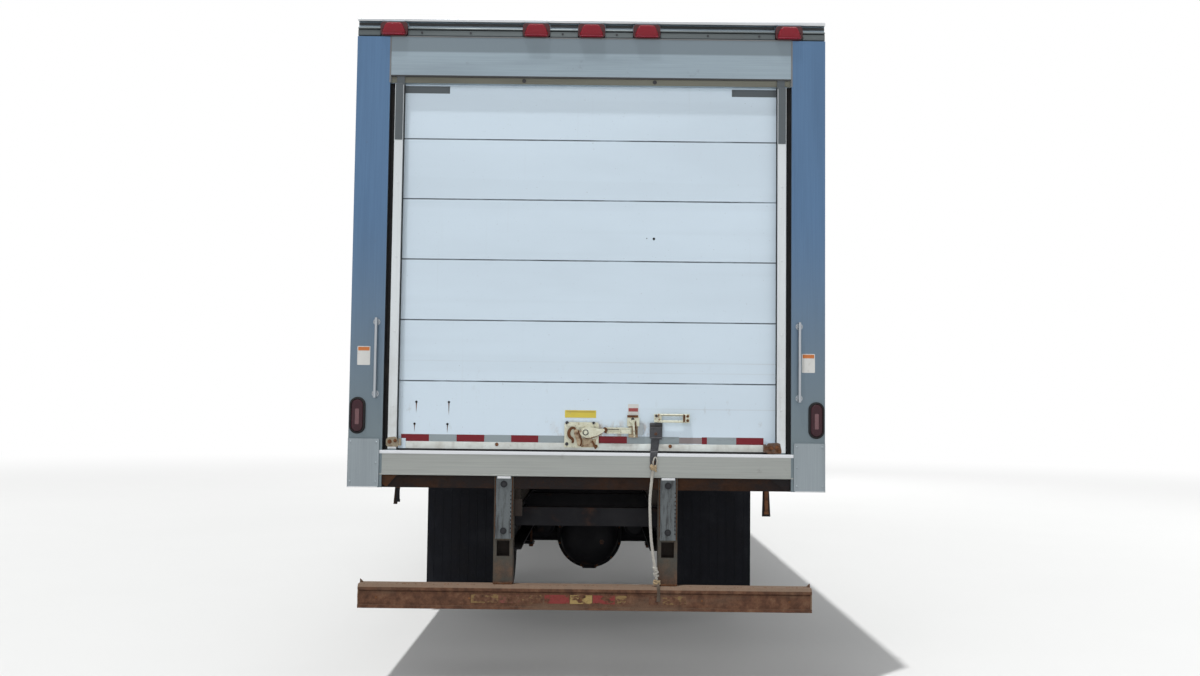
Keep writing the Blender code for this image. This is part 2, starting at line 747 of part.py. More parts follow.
def build_tail_lamps():
    for name, side in SIDES:
        x = BODY_HALF - LAMP_INSET
        outer = rounded(
            (x - LAMP_WIDTH / 2, LAMP_CENTRE_Z - LAMP_HEIGHT / 2),
            (x + LAMP_WIDTH / 2, LAMP_CENTRE_Z + LAMP_HEIGHT / 2), LAMP_WIDTH / 2 - SINK, 5,
        )
        inset_x = LAMP_WIDTH / 2 - LAMP_LENS_INSET
        inset_z = LAMP_HEIGHT / 2 - LAMP_LENS_INSET
        inner = rounded(
            (x - inset_x, LAMP_CENTRE_Z - inset_z),
            (x + inset_x, LAMP_CENTRE_Z + inset_z), inset_x - SINK, 5,
        )
        rim_y = POST_FACE - LAMP_PROUD / 2
        rings = (
            [(u, POST_FACE - SEAT, v) for u, v in outer],
            [(u, rim_y, v) for u, v in outer],
            [(u, rim_y, v) for u, v in inner],
            [(u, POST_FACE - LAMP_PROUD, v) for u, v in inner],
        )
        lamp = mirror_x(loft(rings), side)
        add_part(f"tail_lamp_{name}", lamp, "red_lens")


def build_roll_door():
    top = DOOR_BOTTOM + BOTTOM_RAIL_HEIGHT + PANEL_COUNT * PANEL_HEIGHT
    back = DOOR_FACE + PANEL_THICKNESS
    outline = [(back, top), (back, DOOR_BOTTOM), (DOOR_FACE - BOTTOM_RAIL_PROUD, DOOR_BOTTOM)]
    seam = DOOR_BOTTOM + BOTTOM_RAIL_HEIGHT
    outline.append((DOOR_FACE - BOTTOM_RAIL_PROUD, seam))
    outline.append((DOOR_FACE, seam))
    for _ in range(PANEL_COUNT - 1):
        seam += PANEL_HEIGHT
        outline.append((DOOR_FACE, seam - SEAM_WIDTH / 2))
        outline.append((DOOR_FACE + SEAM_DEPTH, seam))
        outline.append((DOOR_FACE, seam + SEAM_WIDTH / 2))
    outline.append((DOOR_FACE, top))
    half = DOOR_HALF
    rail_half = JAMB_INNER - DOOR_SIDE_GAP
    slab = prism(outline, "X", -half, half)
    cutters = []
    for side in (-1, 1):
        cutters.append(box(
            (min(side * rail_half, side * (half + OVERRUN)), POST_FACE, DOOR_BOTTOM - OVERRUN),
            (max(side * rail_half, side * (half + OVERRUN)), DOOR_FACE,
             DOOR_BOTTOM + BOTTOM_RAIL_HEIGHT + SINK),
        ))
    brackets = []
    for side in (-1, 1):
        outer = side * rail_half
        inner = outer - side * DOOR_BRACKET_WIDTH
        brackets.append(box(
            (min(inner, outer), DOOR_FACE - DOOR_BRACKET_PROUD, FLOOR_TOP + DOOR_BRACKET_LOW),
            (max(inner, outer), DOOR_FACE + SINK, FLOOR_TOP + DOOR_BRACKET_HIGH),
        ))
    slab = combine([slab], cutters)
    add_part("roll_door", combine([slab] + brackets), "white_paint")


def door_block(x_range, z_range, proud, base=SEAT):
    """A block standing proud of the roll-up door's face; heights are from the deck."""
    return box(
        (x_range[0], DOOR_FACE - proud, FLOOR_TOP + z_range[0]),
        (x_range[1], DOOR_FACE - base, FLOOR_TOP + z_range[1]),
    )


def build_latch():
    base = BOTTOM_RAIL_PROUD + SEAT
    plate = door_block(LATCH_PLATE_X, LATCH_PLATE_Z, base + LATCH_PLATE_THICKNESS, base)
    bar = door_block(LATCH_BAR_X, LATCH_BAR_Z, LATCH_BAR_PROUD, base + SINK)
    keeper = door_block(KEEPER_X, KEEPER_Z, base + 2 * LATCH_PLATE_THICKNESS, base)
    centre_z = FLOOR_TOP + LATCH_BOSS_Z
    boss = rod(
        (LATCH_BOSS_X, DOOR_FACE - base - SINK, centre_z),
        (LATCH_BOSS_X, DOOR_FACE - LATCH_BOSS_PROUD, centre_z), LATCH_BOSS_RADIUS, 16,
    )
    add_part("door_latch", combine([plate, bar, keeper, boss]), "white_paint")


def build_lift_handle():
    feet = []
    for low_x in (HANDLE_X[0], HANDLE_X[1] - HANDLE_FOOT):
        feet.append(door_block((low_x, low_x + HANDLE_FOOT), HANDLE_Z, HANDLE_PROUD))
    grip = box(
        (HANDLE_X[0] + SINK, DOOR_FACE - HANDLE_PROUD, FLOOR_TOP + HANDLE_Z[0] + SINK),
        (HANDLE_X[1] - SINK, DOOR_FACE - HANDLE_PROUD + HANDLE_GRIP,
         FLOOR_TOP + HANDLE_Z[1] - SINK),
    )
    add_part("lift_handle", combine([grip] + feet), "white_paint")


def build_strap():
    """The strap hangs on the door's face, lies over the sill's edge and ends in front of it."""
    base = DOOR_FACE - BOTTOM_RAIL_PROUD - SEAT
    front = POST_FACE - STRAP_LEDGE_GAP
    ledge = FLOOR_TOP + STRAP_LEDGE_GAP
    wide = box(
        (STRAP_X - STRAP_WIDTH / 2, base - 2 * STRAP_THICKNESS, FLOOR_TOP + STRAP_FOLD),
        (STRAP_X + STRAP_WIDTH / 2, base, FLOOR_TOP + STRAP_TOP),
    )
    path = [
        (base, FLOOR_TOP + STRAP_FOLD + SINK),
        (base - STRAP_THICKNESS, FLOOR_TOP + STRAP_FOLD + SINK),
        (base - STRAP_THICKNESS, ledge + STRAP_THICKNESS),
        (front - STRAP_THICKNESS, ledge + STRAP_THICKNESS),
        (front - STRAP_THICKNESS, FLOOR_TOP + STRAP_END),
        (front, FLOOR_TOP + STRAP_END),
        (front, ledge),
        (base, ledge),
    ]
    low_x = STRAP_X - STRAP_TAIL_WIDTH / 2
    tail = prism(path, "X", low_x, low_x + STRAP_TAIL_WIDTH)
    add_part("pull_strap", combine([wide, tail]), "black_webbing")


# The rope's route as x, y, z from the strap's middle, the rear end and the guard's top.
# It hangs down from the strap's end and leans in to the ledge of the underride guard.
ROPE_ROUTE = (
    (-0.018, 0.0215, 0.6522),
    (-0.018, 0.0213, 0.632),
    (-0.024, 0.0195, 0.580),
    (-0.033, 0.016, 0.470),
    (-0.032, 0.014, 0.380),
    (-0.027, 0.016, 0.280),
    (-0.016, 0.018, 0.180),
    (-0.001, 0.022, 0.090),
    (0.006, 0.030, 0.040),
    (0.009, 0.034, 0.0085),
)


def smooth_route(route, spacing):
    """Points along a Catmull-Rom curve through the route, at close to the spacing."""
    knots = [Vector(point) for point in route]
    knots = [2 * knots[0] - knots[1]] + knots + [2 * knots[-1] - knots[-2]]
    points = [knots[1]]
    for before, start, end, after in zip(knots, knots[1:], knots[2:], knots[3:]):
        steps = max(1, round((end - start).length / spacing))
        for step in range(1, steps + 1):
            t = step / steps
            points.append((
                2 * start
                + (end - before) * t
                + (2 * before - 5 * start + 4 * end - after) * t ** 2
                + (3 * start - before - 3 * end + after) * t ** 3
            ) / 2)
    return points


def build_rope():
    foot = Vector((STRAP_X, REAR_Y, GUARD_TOP))
    points = smooth_route([Vector(point) + foot for point in ROPE_ROUTE], ROPE_SPACING)
    curve = bpy.data.curves.new("pull_rope", "CURVE")
    curve.dimensions = "3D"
    curve.bevel_depth = ROPE_RADIUS
    curve.bevel_resolution = 2
    curve.use_fill_caps = True
    spline = curve.splines.new("POLY")
    spline.points.add(len(points) - 1)
    for slot, point in zip(spline.points, points):
        slot.co = (*point, 1.0)
    curve.materials.append(make_material("grey_rope"))
    rope = bpy.data.objects.new("pull_rope", curve)
    bpy.context.scene.collection.objects.link(rope)


def build_guard():
    front = REAR_Y + GUARD_DEPTH
    groove_high = GUARD_TOP - GUARD_LEDGE
    groove_low = groove_high - GUARD_GROOVE
    lip_top = GUARD_BOTTOM + GUARD_LIP
    outline = [
        (front, GUARD_BOTTOM),
        (front, GUARD_TOP),
        (REAR_Y + GUARD_LEDGE / 2, GUARD_TOP),
        (REAR_Y, GUARD_TOP - GUARD_LEDGE / 2),
        (REAR_Y, groove_high),
        (REAR_Y + GUARD_GROOVE, groove_high),
        (REAR_Y + GUARD_GROOVE, groove_low),
        (REAR_Y + GUARD_GROOVE / 2, groove_low),
        (REAR_Y + GUARD_GROOVE / 2, lip_top),
        (REAR_Y, lip_top),
        (REAR_Y, GUARD_BOTTOM),
    ]
    solids = [prism(outline, "X", -GUARD_WIDTH / 2, GUARD_WIDTH / 2)]
    cutters = []
    top = LOWER_SILL_BOTTOM - SEAT
    face = POST_FACE + LOWER_SILL_SETBACK
    upright_x = FRAME_HALF + GUARD_UPRIGHT_OUTBOARD
    for _, side in SIDES:
        x = side * upright_x
        half = GUARD_UPRIGHT_WIDTH / 2
        plate_half = half - GUARD_PLATE_INSET
        tip = side * GUARD_WIDTH / 2
        solids.append(prism([
            (tip, GUARD_TOP - SINK), (tip, GUARD_TOP + GUARD_TIP_HEIGHT),
            (tip - side * GUARD_TIP_WIDTH, GUARD_TOP - SINK),
        ], "Y", front - 2 * GUARD_LIP, front - GUARD_LIP))
        solids.append(box(
            (x - half, face, GUARD_TOP - SINK), (x + half, face + GUARD_UPRIGHT_DEPTH, top),
        ))
        solids.append(box(
            (x - plate_half, face - GUARD_PLATE_THICKNESS, top - GUARD_PLATE_HEIGHT),
            (x + plate_half, face + SINK, top),
        ))
        window_top = top - GUARD_PLATE_HEIGHT - GUARD_PLATE_INSET
        cutters.append(box(
            (x - GUARD_WINDOW_WIDTH / 2, face - OVERRUN, window_top - GUARD_WINDOW_HEIGHT),
            (x + GUARD_WINDOW_WIDTH / 2, face + GUARD_WINDOW_DEPTH, window_top),
        ))
    stub_x = GUARD_UPRIGHT_WIDTH / 2 - upright_x
    stub_y = face + GUARD_UPRIGHT_DEPTH / 2
    solids.append(box(
        (stub_x - SINK, stub_y - GUARD_STUB_THICKNESS, GUARD_STUB_LOW),
        (stub_x + GUARD_STUB_REACH, stub_y, GUARD_STUB_HIGH),
    ))
    add_part("underride_guard", combine(solids, cutters), "rusty_steel")


def build_flaps():
    for name, side in SIDES:
        flap = box(
            (FLAP_OUTER - FLAP_WIDTH, FLAP_Y, FLAP_BOTTOM),
            (FLAP_OUTER, FLAP_Y + FLAP_THICKNESS, FLAP_TOP),
        )
        bar = box(
            (FRAME_HALF + SEAT, FLAP_Y + FLAP_THICKNESS - SINK / 2, FLAP_TOP - HANGER_BAR),
            (FLAP_OUTER, FLAP_Y + FLAP_THICKNESS + HANGER_BAR, FLAP_TOP),
        )
        add_part(f"mud_flap_{name}", mirror_x(combine([flap, bar]), side), "flap_rubber")


def build_ladder_frame():
    web = FRAME_HALF - RAIL_WEB
    channel = [
        (FRAME_HALF, FRAME_BOTTOM),
        (FRAME_HALF, FRAME_TOP),
        (FRAME_HALF - RAIL_FLANGE, FRAME_TOP),
        (FRAME_HALF - RAIL_FLANGE, FRAME_TOP - RAIL_WEB),
        (web, FRAME_TOP - RAIL_WEB),
        (web, FRAME_BOTTOM + RAIL_WEB),
        (FRAME_HALF - RAIL_FLANGE, FRAME_BOTTOM + RAIL_WEB),
        (FRAME_HALF - RAIL_FLANGE, FRAME_BOTTOM),
    ]
    solids = []
    for _, side in SIDES:
        solids.append(mirror_x(prism(channel, "Y", FRAME_REAR, FRAME_FRONT), side))
    member_top = FRAME_TOP - RAIL_WEB * 2
    gearbox_end = FIREWALL_Y + ENGINE_AHEAD_OF_CAB_WALL - GEARBOX_LENGTH
    places = spaced(
        FRAME_REAR + CROSS_MEMBER_END_GAP, gearbox_end - CROSS_MEMBER_END_GAP, CROSS_MEMBER_PITCH,
    )
    for y in [*places, FRAME_FRONT - CROSS_MEMBER_END_GAP]:
        solids.append(box(
            (-web - SINK / 2, y - CROSS_MEMBER_WIDTH / 2, member_top - CROSS_MEMBER_HEIGHT),
            (web + SINK / 2, y + CROSS_MEMBER_WIDTH / 2, member_top),
        ))
    for _, side in SIDES:
        for axle_y, x, half_length, outboard in (
            (REAR_AXLE_Y, REAR_SPRING_X, REAR_SPRING_HALF, True),
            (FRONT_AXLE_Y, FRONT_SPRING_X, FRONT_SPRING_HALF, False),
        ):
            for end in (-1, 1):
                solids.append(spring_hanger(side * x, axle_y + end * half_length, outboard))
        solids.append(bumper_bracket(side))
    add_part("ladder_frame", combine(solids), "frame_black")


def spring_hanger(x, y, outboard):
    """The bracket that carries a spring's eye: beside the rail, or below it."""
    half = SPRING_WIDTH / 2
    low = spring_eye_z() + SPRING_EYE + SEAT
    side = math.copysign(1, x)
    inner = side * (FRAME_HALF - SINK / 2) if outboard else x - side * half
    outer = x + side * half
    high = FRAME_TOP - RAIL_WEB if outboard else FRAME_BOTTOM + SINK
    return box(
        (min(inner, outer), y - SPRING_HANGER_LENGTH / 2, low),
        (max(inner, outer), y + SPRING_HANGER_LENGTH / 2, high),
    )


def spring_eye_z():
    return FRAME_BOTTOM - SPRING_EYE - SPRING_TIP


def bumper_bracket(side):
    """A plate from the rail's front end to the bumper, with the pin that the hood tilts on."""
    inner = side * (FRAME_HALF - BUMPER_BRACKET)
    outer = side * FRAME_HALF
    bumper_back = BUMPER_Y - BUMPER_DEPTH - SEAT
    outline = [
        (FRAME_FRONT - OVERRUN, FRAME_TOP - RAIL_WEB),
        (FRAME_FRONT - 2 * OVERRUN, FRAME_BOTTOM + SINK),
        (FRAME_FRONT - 2 * OVERRUN, FRAME_BOTTOM - OVERRUN),
        (bumper_back, BUMPER_LOW + OVERRUN),
        (bumper_back, BUMPER_HIGH - OVERRUN),
        (HOOD_PIVOT_Y + HOOD_LUG_HALF, HOOD_PIVOT_Z + HOOD_PIN_RADIUS),
        (HOOD_PIVOT_Y - HOOD_LUG_HALF, HOOD_PIVOT_Z + HOOD_LUG_HALF),
        (FRAME_FRONT, FRAME_BOTTOM + SINK),
    ]
    plate = prism(outline, "X", min(inner, outer), max(inner, outer))
    pin = rod(
        (outer - side * SINK, HOOD_PIVOT_Y, HOOD_PIVOT_Z),
        (side * (HOOD_LUG_X + HOOD_LUG_THICKNESS), HOOD_PIVOT_Y, HOOD_PIVOT_Z),
        HOOD_PIN_RADIUS, 12,
    )
    return combine([plate, pin])


def leaf_spring(x, axle_y, half_length, seat_z):
    """A pack of leaves: thick over the axle, thin at the eyes, which turn up."""
    eye_z = spring_eye_z()
    half = SPRING_WIDTH / 2
    outline = [
        (axle_y - half_length, eye_z + SPRING_TIP / 2),
        (axle_y - half_length, eye_z - SPRING_TIP / 2),
        (axle_y - SPRING_WIDTH, seat_z),
        (axle_y + SPRING_WIDTH, seat_z),
        (axle_y + half_length, eye_z - SPRING_TIP / 2),
        (axle_y + half_length, eye_z + SPRING_TIP / 2),
        (axle_y + SPRING_WIDTH, seat_z + SPRING_THICKNESS),
        (axle_y - SPRING_WIDTH, seat_z + SPRING_THICKNESS),
    ]
    solids = [prism(outline, "X", x - half, x + half)]
    for end in (-1, 1):
        y = axle_y + end * half_length
        solids.append(rod((x - half, y, eye_z), (x + half, y, eye_z), SPRING_EYE, 12))
    return solids


def build_rear_axle():
    tube_half = DUAL_CENTRE_X - REAR_HUB_IN - SEAT
    spindle_half = DUAL_CENTRE_X + REAR_HUB_OUT / 2
    centre = (0, REAR_AXLE_Y, WHEEL_Z)
    tube = rod((-tube_half, *centre[1:]), (tube_half, *centre[1:]), AXLE_TUBE_RADIUS)
    spindle_radius = HUB_BORE - HUB_CLEARANCE
    spindle = rod((-spindle_half, *centre[1:]), (spindle_half, *centre[1:]), spindle_radius)
    bowl = turned([
        (DIFF_RADIUS * radius_share, DIFF_HALF * side_share)
        for radius_share, side_share in DIFF_SHARES
    ], centre, 20)
    nose = rod(
        centre, (0, REAR_AXLE_Y + DIFF_NOSE_LENGTH, WHEEL_Z), DIFF_RADIUS * DIFF_NOSE_SHARE,
        end_radius=DIFF_NOSE_RADIUS,
    )
    solids = [tube, spindle, bowl, nose]
    for _, side in SIDES:
        solids += leaf_spring(
            side * REAR_SPRING_X, REAR_AXLE_Y, REAR_SPRING_HALF, WHEEL_Z + AXLE_TUBE_RADIUS - SINK,
        )
    add_part("rear_axle", combine(solids), "frame_black")


def build_front_axle():
    low = WHEEL_Z - BEAM_DROP
    knee = KINGPIN_X * BEAM_KNEE_SHARE
    half_height = BEAM_HEIGHT / 2
    boss_low = WHEEL_Z - half_height
    boss_high = WHEEL_Z + half_height
    outline = [
        (-KINGPIN_X, boss_low), (-knee, low - half_height),
        (knee, low - half_height), (KINGPIN_X, boss_low),
        (KINGPIN_X, boss_high), (knee, low + half_height),
        (-knee, low + half_height), (-KINGPIN_X, boss_high),
    ]
    solids = [prism(outline, "Y", FRONT_AXLE_Y - BEAM_DEPTH / 2, FRONT_AXLE_Y + BEAM_DEPTH / 2)]
    for _, side in SIDES:
        x = side * KINGPIN_X
        solids.append(rod(
            (x, FRONT_AXLE_Y, WHEEL_Z - KINGPIN_BOSS_HALF),
            (x, FRONT_AXLE_Y, WHEEL_Z + KINGPIN_BOSS_HALF), KINGPIN_BOSS_RADIUS,
        ))
        solids += leaf_spring(
            side * FRONT_SPRING_X, FRONT_AXLE_Y, FRONT_SPRING_HALF, low + half_height - SINK,
        )
    add_part("front_axle", combine(solids), "frame_black")


def build_knuckle(name, side):
    x = KINGPIN_X
    top = WHEEL_Z + KINGPIN_BOSS_HALF + SEAT
    bottom = WHEEL_Z - KINGPIN_BOSS_HALF - SEAT
    plate_x = x + KNUCKLE_PLATE_OFFSET
    plate_out = plate_x + KNUCKLE_PLATE_THICKNESS
    half = KNUCKLE_PLATE_HALF
    solids = [box(
        (plate_x, FRONT_AXLE_Y - half, bottom - FORK_THICKNESS),
        (plate_out, FRONT_AXLE_Y + half, top + FORK_THICKNESS),
    )]
    for low in (top, bottom - FORK_THICKNESS):
        solids.append(rod(
            (x, FRONT_AXLE_Y, low), (x, FRONT_AXLE_Y, low + FORK_THICKNESS), KINGPIN_BOSS_RADIUS,
        ))
        solids.append(box(
            (x, FRONT_AXLE_Y - KINGPIN_BOSS_RADIUS, low),
            (plate_x + SINK, FRONT_AXLE_Y + KINGPIN_BOSS_RADIUS, low + FORK_THICKNESS),
        ))
    arm_low = bottom - FORK_THICKNESS
    solids.append(box(
        (x - ARM_WIDTH / 2, FRONT_AXLE_Y - ARM_LENGTH, arm_low),
        (x + ARM_WIDTH / 2, FRONT_AXLE_Y, arm_low + FORK_THICKNESS),
    ))
    solids.append(rod(
        (x, FRONT_AXLE_Y - ARM_LENGTH, arm_low),
        (x, FRONT_AXLE_Y - ARM_LENGTH, arm_low + FORK_THICKNESS), ARM_WIDTH / 2, 12,
    ))
    spindle_end = FRONT_WHEEL_X + FRONT_DISC_OFFSET
    solids.append(rod(
        (plate_x + SINK, FRONT_AXLE_Y, WHEEL_Z), (spindle_end, FRONT_AXLE_Y, WHEEL_Z),
        HUB_BORE - HUB_CLEARANCE,
    ))
    knuckle = mirror_x(combine(solids), side)
    empty = pivot(f"kingpin_{name}", Vector((side * x, FRONT_AXLE_Y, WHEEL_Z)))
    add_part(f"knuckle_{name}", knuckle, "frame_black", empty)


def build_tie_rod():
    top = WHEEL_Z - KINGPIN_BOSS_HALF - 2 * SEAT - FORK_THICKNESS
    bottom = top - TIE_ROD_EYE_HEIGHT
    y = FRONT_AXLE_Y - ARM_LENGTH
    middle = (top + bottom) / 2
    solids = [rod((-KINGPIN_X, y, middle), (KINGPIN_X, y, middle), TIE_ROD_RADIUS)]
    for _, side in SIDES:
        x = side * KINGPIN_X
        solids.append(rod((x, y, bottom), (x, y, top), TIE_ROD_EYE))
    empty = pivot("tie_rod_pin", Vector((-KINGPIN_X, y, middle)))
    add_part("tie_rod", combine(solids), "frame_black", empty)


def build_tyres():
    bead = RIM_WIDTH / 2 - RIM_FLANGE - SEAT
    inner = RIM_RADIUS + SEAT
    half = TYRE_WIDTH / 2
    belly = (TYRE_RADIUS + RIM_RADIUS) / 2
    outline = [
        (inner, -bead), (inner + RIM_FLANGE, -bead), (belly, -half),
        (TYRE_RADIUS - TYRE_SHOULDER, -half + SINK), (TYRE_RADIUS, -half + TYRE_SHOULDER),
        (TYRE_RADIUS, half - TYRE_SHOULDER), (TYRE_RADIUS - TYRE_SHOULDER, half - SINK),
        (belly, half), (inner + RIM_FLANGE, bead), (inner, bead),
    ]
    outer_x = DUAL_CENTRE_X + DUAL_SPACING / 2
    inner_x = DUAL_CENTRE_X - DUAL_SPACING / 2
    for name, side in SIDES:
        for place, x, y in (
            (f"front_{name}", FRONT_WHEEL_X, FRONT_AXLE_Y),
            (f"rear_{name}_outer", outer_x, REAR_AXLE_Y),
            (f"rear_{name}_inner", inner_x, REAR_AXLE_Y),
        ):
            tyre = turned(outline, (side * x, y, WHEEL_Z))
            add_part(f"tyre_{place}", tyre, "tyre_rubber", hub_empty(name, side, y))


def hub_empty(name, side, axle_y):
    """The empty on a wheel's own axis, made once for the tyres and the wheel on it."""
    end, x = ("front", FRONT_WHEEL_X) if axle_y == FRONT_AXLE_Y else ("rear", DUAL_CENTRE_X)
    label = f"hub_{end}_{name}"
    return bpy.data.objects.get(label) or pivot(label, Vector((side * x, axle_y, WHEEL_Z)))


def barrel(centre):
    """The outside of a rim as (radius, x), from its inner edge to its outer edge."""
    low = centre - RIM_WIDTH / 2
    high = centre + RIM_WIDTH / 2
    flange = RIM_RADIUS + RIM_FLANGE
    return [
        (RIM_RADIUS - RIM_WALL, low), (flange, low), (flange, low + RIM_FLANGE),
        (RIM_RADIUS, low + RIM_FLANGE), (RIM_RADIUS, high - RIM_FLANGE),
        (flange, high - RIM_FLANGE), (flange, high), (RIM_RADIUS - RIM_WALL, high),
    ]


def build_front_wheels():
    web = FRONT_DISC_OFFSET - DISC_THICKNESS
    neck = HUB_RADIUS * HUB_NECK_SHARE
    drum_in = DRUM_RADIUS - DRUM_WALL
    bore_end = FRONT_DISC_OFFSET + HUB_CLEARANCE
    outline = [
        (HUB_BORE, -FRONT_HUB_IN), (neck, -FRONT_HUB_IN), (neck, web), (drum_in, web),
        (drum_in, DRUM_WALL - FRONT_HUB_IN), (DRUM_RADIUS, DRUM_WALL - FRONT_HUB_IN),
        (DRUM_RADIUS, web), (RIM_RADIUS - RIM_WALL, web),
        *barrel(0),
        (RIM_RADIUS - RIM_WALL, FRONT_DISC_OFFSET),
        (HUB_RADIUS * HUB_PAD_SHARE, FRONT_DISC_OFFSET),
        (HUB_RADIUS * HUB_PAD_SHARE - DISC_THICKNESS, FRONT_DISC_OFFSET + DISC_THICKNESS),
        (HUB_RADIUS, FRONT_DISC_OFFSET + DISC_THICKNESS),
        (neck, FRONT_HUB_OUT), (0, FRONT_HUB_OUT), (0, bore_end), (HUB_BORE, bore_end),
    ]
    for name, side in SIDES:
        wheel = mirror_x(turned(outline, (FRONT_WHEEL_X, FRONT_AXLE_Y, WHEEL_Z)), side)
        add_part(f"wheel_front_{name}", wheel, "wheel_paint", hub_empty(name, side, FRONT_AXLE_Y))


def build_dual_wheels():
    offset = DUAL_SPACING / 2
    neck = HUB_RADIUS * HUB_NECK_SHARE
    drum_in = DRUM_RADIUS - DRUM_WALL
    drum_end = DRUM_WALL - REAR_HUB_IN
    rim_in = RIM_RADIUS - RIM_WALL
    near = offset - RIM_WIDTH / 2 + DISC_THICKNESS
    bore_end = REAR_HUB_OUT / 2 + HUB_CLEARANCE
    outline = [
        (HUB_BORE, -REAR_HUB_IN), (neck, -REAR_HUB_IN), (neck, -DISC_THICKNESS),
        (drum_in, -DISC_THICKNESS), (drum_in, drum_end), (DRUM_RADIUS, drum_end),
        (DRUM_RADIUS, -DISC_THICKNESS), (DRUM_RADIUS + RIM_WALL, -DISC_THICKNESS),
        (rim_in, -near),
        *barrel(-offset),
        (DRUM_RADIUS + RIM_WALL, 0),
        *barrel(offset),
        (rim_in, near), (DRUM_RADIUS + RIM_WALL, DISC_THICKNESS),
        (HUB_RADIUS, DISC_THICKNESS), (neck, REAR_HUB_OUT), (0, REAR_HUB_OUT),
        (0, bore_end), (HUB_BORE, bore_end),
    ]
    for name, side in SIDES:
        wheel = mirror_x(turned(outline, (DUAL_CENTRE_X, REAR_AXLE_Y, WHEEL_Z)), side)
        add_part(f"dual_wheel_{name}", wheel, "wheel_paint", hub_empty(name, side, REAR_AXLE_Y))


def build_engine():
    back = FIREWALL_Y + ENGINE_AHEAD_OF_CAB_WALL
    mount_half = FRAME_HALF - RAIL_FLANGE - SEAT
    mount_y = back + ENGINE_LENGTH / 2
    block = box(
        (-ENGINE_WIDTH / 2, back, ENGINE_BOTTOM),
        (ENGINE_WIDTH / 2, back + ENGINE_LENGTH, ENGINE_TOP),
    )
    gearbox = box(
        (-GEARBOX_WIDTH / 2, back - GEARBOX_LENGTH, ENGINE_BOTTOM),
        (GEARBOX_WIDTH / 2, back + SINK, GEARBOX_TOP),
    )
    mount = box(
        (-mount_half, mount_y - CROSS_MEMBER_WIDTH, FRAME_TOP - CROSS_MEMBER_WIDTH),
        (mount_half, mount_y + CROSS_MEMBER_WIDTH, FRAME_TOP),
    )
    add_part("engine_block", combine([block, gearbox, mount]), "rusty_steel")


def build_drive_shaft():
    front_y = FIREWALL_Y + ENGINE_AHEAD_OF_CAB_WALL - GEARBOX_LENGTH - SEAT
    rear_y = REAR_AXLE_Y + DIFF_NOSE_LENGTH + SEAT
    sides = 16
    rings = []
    for y, z in ((rear_y, WHEEL_Z), (front_y, SHAFT_FRONT_Z)):
        ring = []
        for step in range(sides):
            angle = math.tau * step / sides
            ring.append((SHAFT_RADIUS * math.cos(angle), y, z + SHAFT_RADIUS * math.sin(angle)))
        rings.append(ring)
    add_part("drive_shaft", loft(rings), "frame_black")


def build_tanks():
    front = FRONT_AXLE_Y - ARCH_RADIUS - TANK_TO_ARCH
    inner = FRAME_HALF + SEAT
    outer = FRAME_HALF + TANK_REACH
    for name, side, corner, length, finish in (
        ("fuel_tank", -1, TANK_CORNER, TANK_LENGTH, "aluminium"),
        ("battery_box", 1, BATTERY_CORNER, BATTERY_LENGTH, "frame_black"),
    ):
        outline = rounded((inner, TANK_BOTTOM), (outer, TANK_TOP), corner, 5)
        solids = [prism(outline, "Y", front - length, front)]
        step_front = front - STEP_FROM_FRONT
        step_rear = step_front - STEP_LENGTH
        reach = outer + STEP_REACH
        for z in STEP_HEIGHTS:
            solids.append(box(
                (outer - corner, step_rear, z), (reach, step_front, z + STEP_THICKNESS),
            ))
        for y in (step_rear, step_front - STEP_THICKNESS):
            solids.append(box(
                (outer - SINK, y - SINK, STEP_HEIGHTS[0] + SINK),
                (reach + SINK, y + STEP_THICKNESS, STEP_HEIGHTS[1] + STEP_THICKNESS - SINK),
            ))
        add_part(name, mirror_x(combine(solids), side), finish)


def build_exhaust():
    """A muffler behind the cab on the right, its pipe to the rear, and two straps to the rail."""
    front = CAB_BACK_Y - MUFFLER_BEHIND_CAB
    rear = front - MUFFLER_LENGTH
    solids = [
        rod((MUFFLER_X, rear, MUFFLER_Z), (MUFFLER_X, front, MUFFLER_Z), MUFFLER_RADIUS, 20),
        rod((MUFFLER_X, rear - PIPE_LENGTH, MUFFLER_Z), (MUFFLER_X, rear + SINK, MUFFLER_Z),
            PIPE_RADIUS, 12),
    ]
    for y in (rear + MUFFLER_RADIUS, front - MUFFLER_RADIUS):
        solids.append(box(
            (FRAME_HALF + SEAT, y - STRAP_LENGTH, MUFFLER_Z + MUFFLER_RADIUS / 2),
            (MUFFLER_X, y, FRAME_TOP - RAIL_WEB),
        ))
    add_part("exhaust", combine(solids), "aluminium")


def lean_in(mesh):
    """Lean what stands above the belt line in towards the truck's middle."""
    slope = math.tan(math.radians(CAB_LEAN_DEGREES))
    bm = bmesh.new()
    bm.from_mesh(mesh)
    bmesh.ops.bisect_plane(
        bm, geom=bm.verts[:] + bm.edges[:] + bm.faces[:],
        plane_co=(0, 0, BELT_Z), plane_no=(0, 0, 1), dist=SEAT / 10,
    )
    for vert in bm.verts:
        if vert.co.z > BELT_Z:
            vert.co.x -= math.copysign(slope * (vert.co.z - BELT_Z), vert.co.x)
    return finish_mesh(bm)


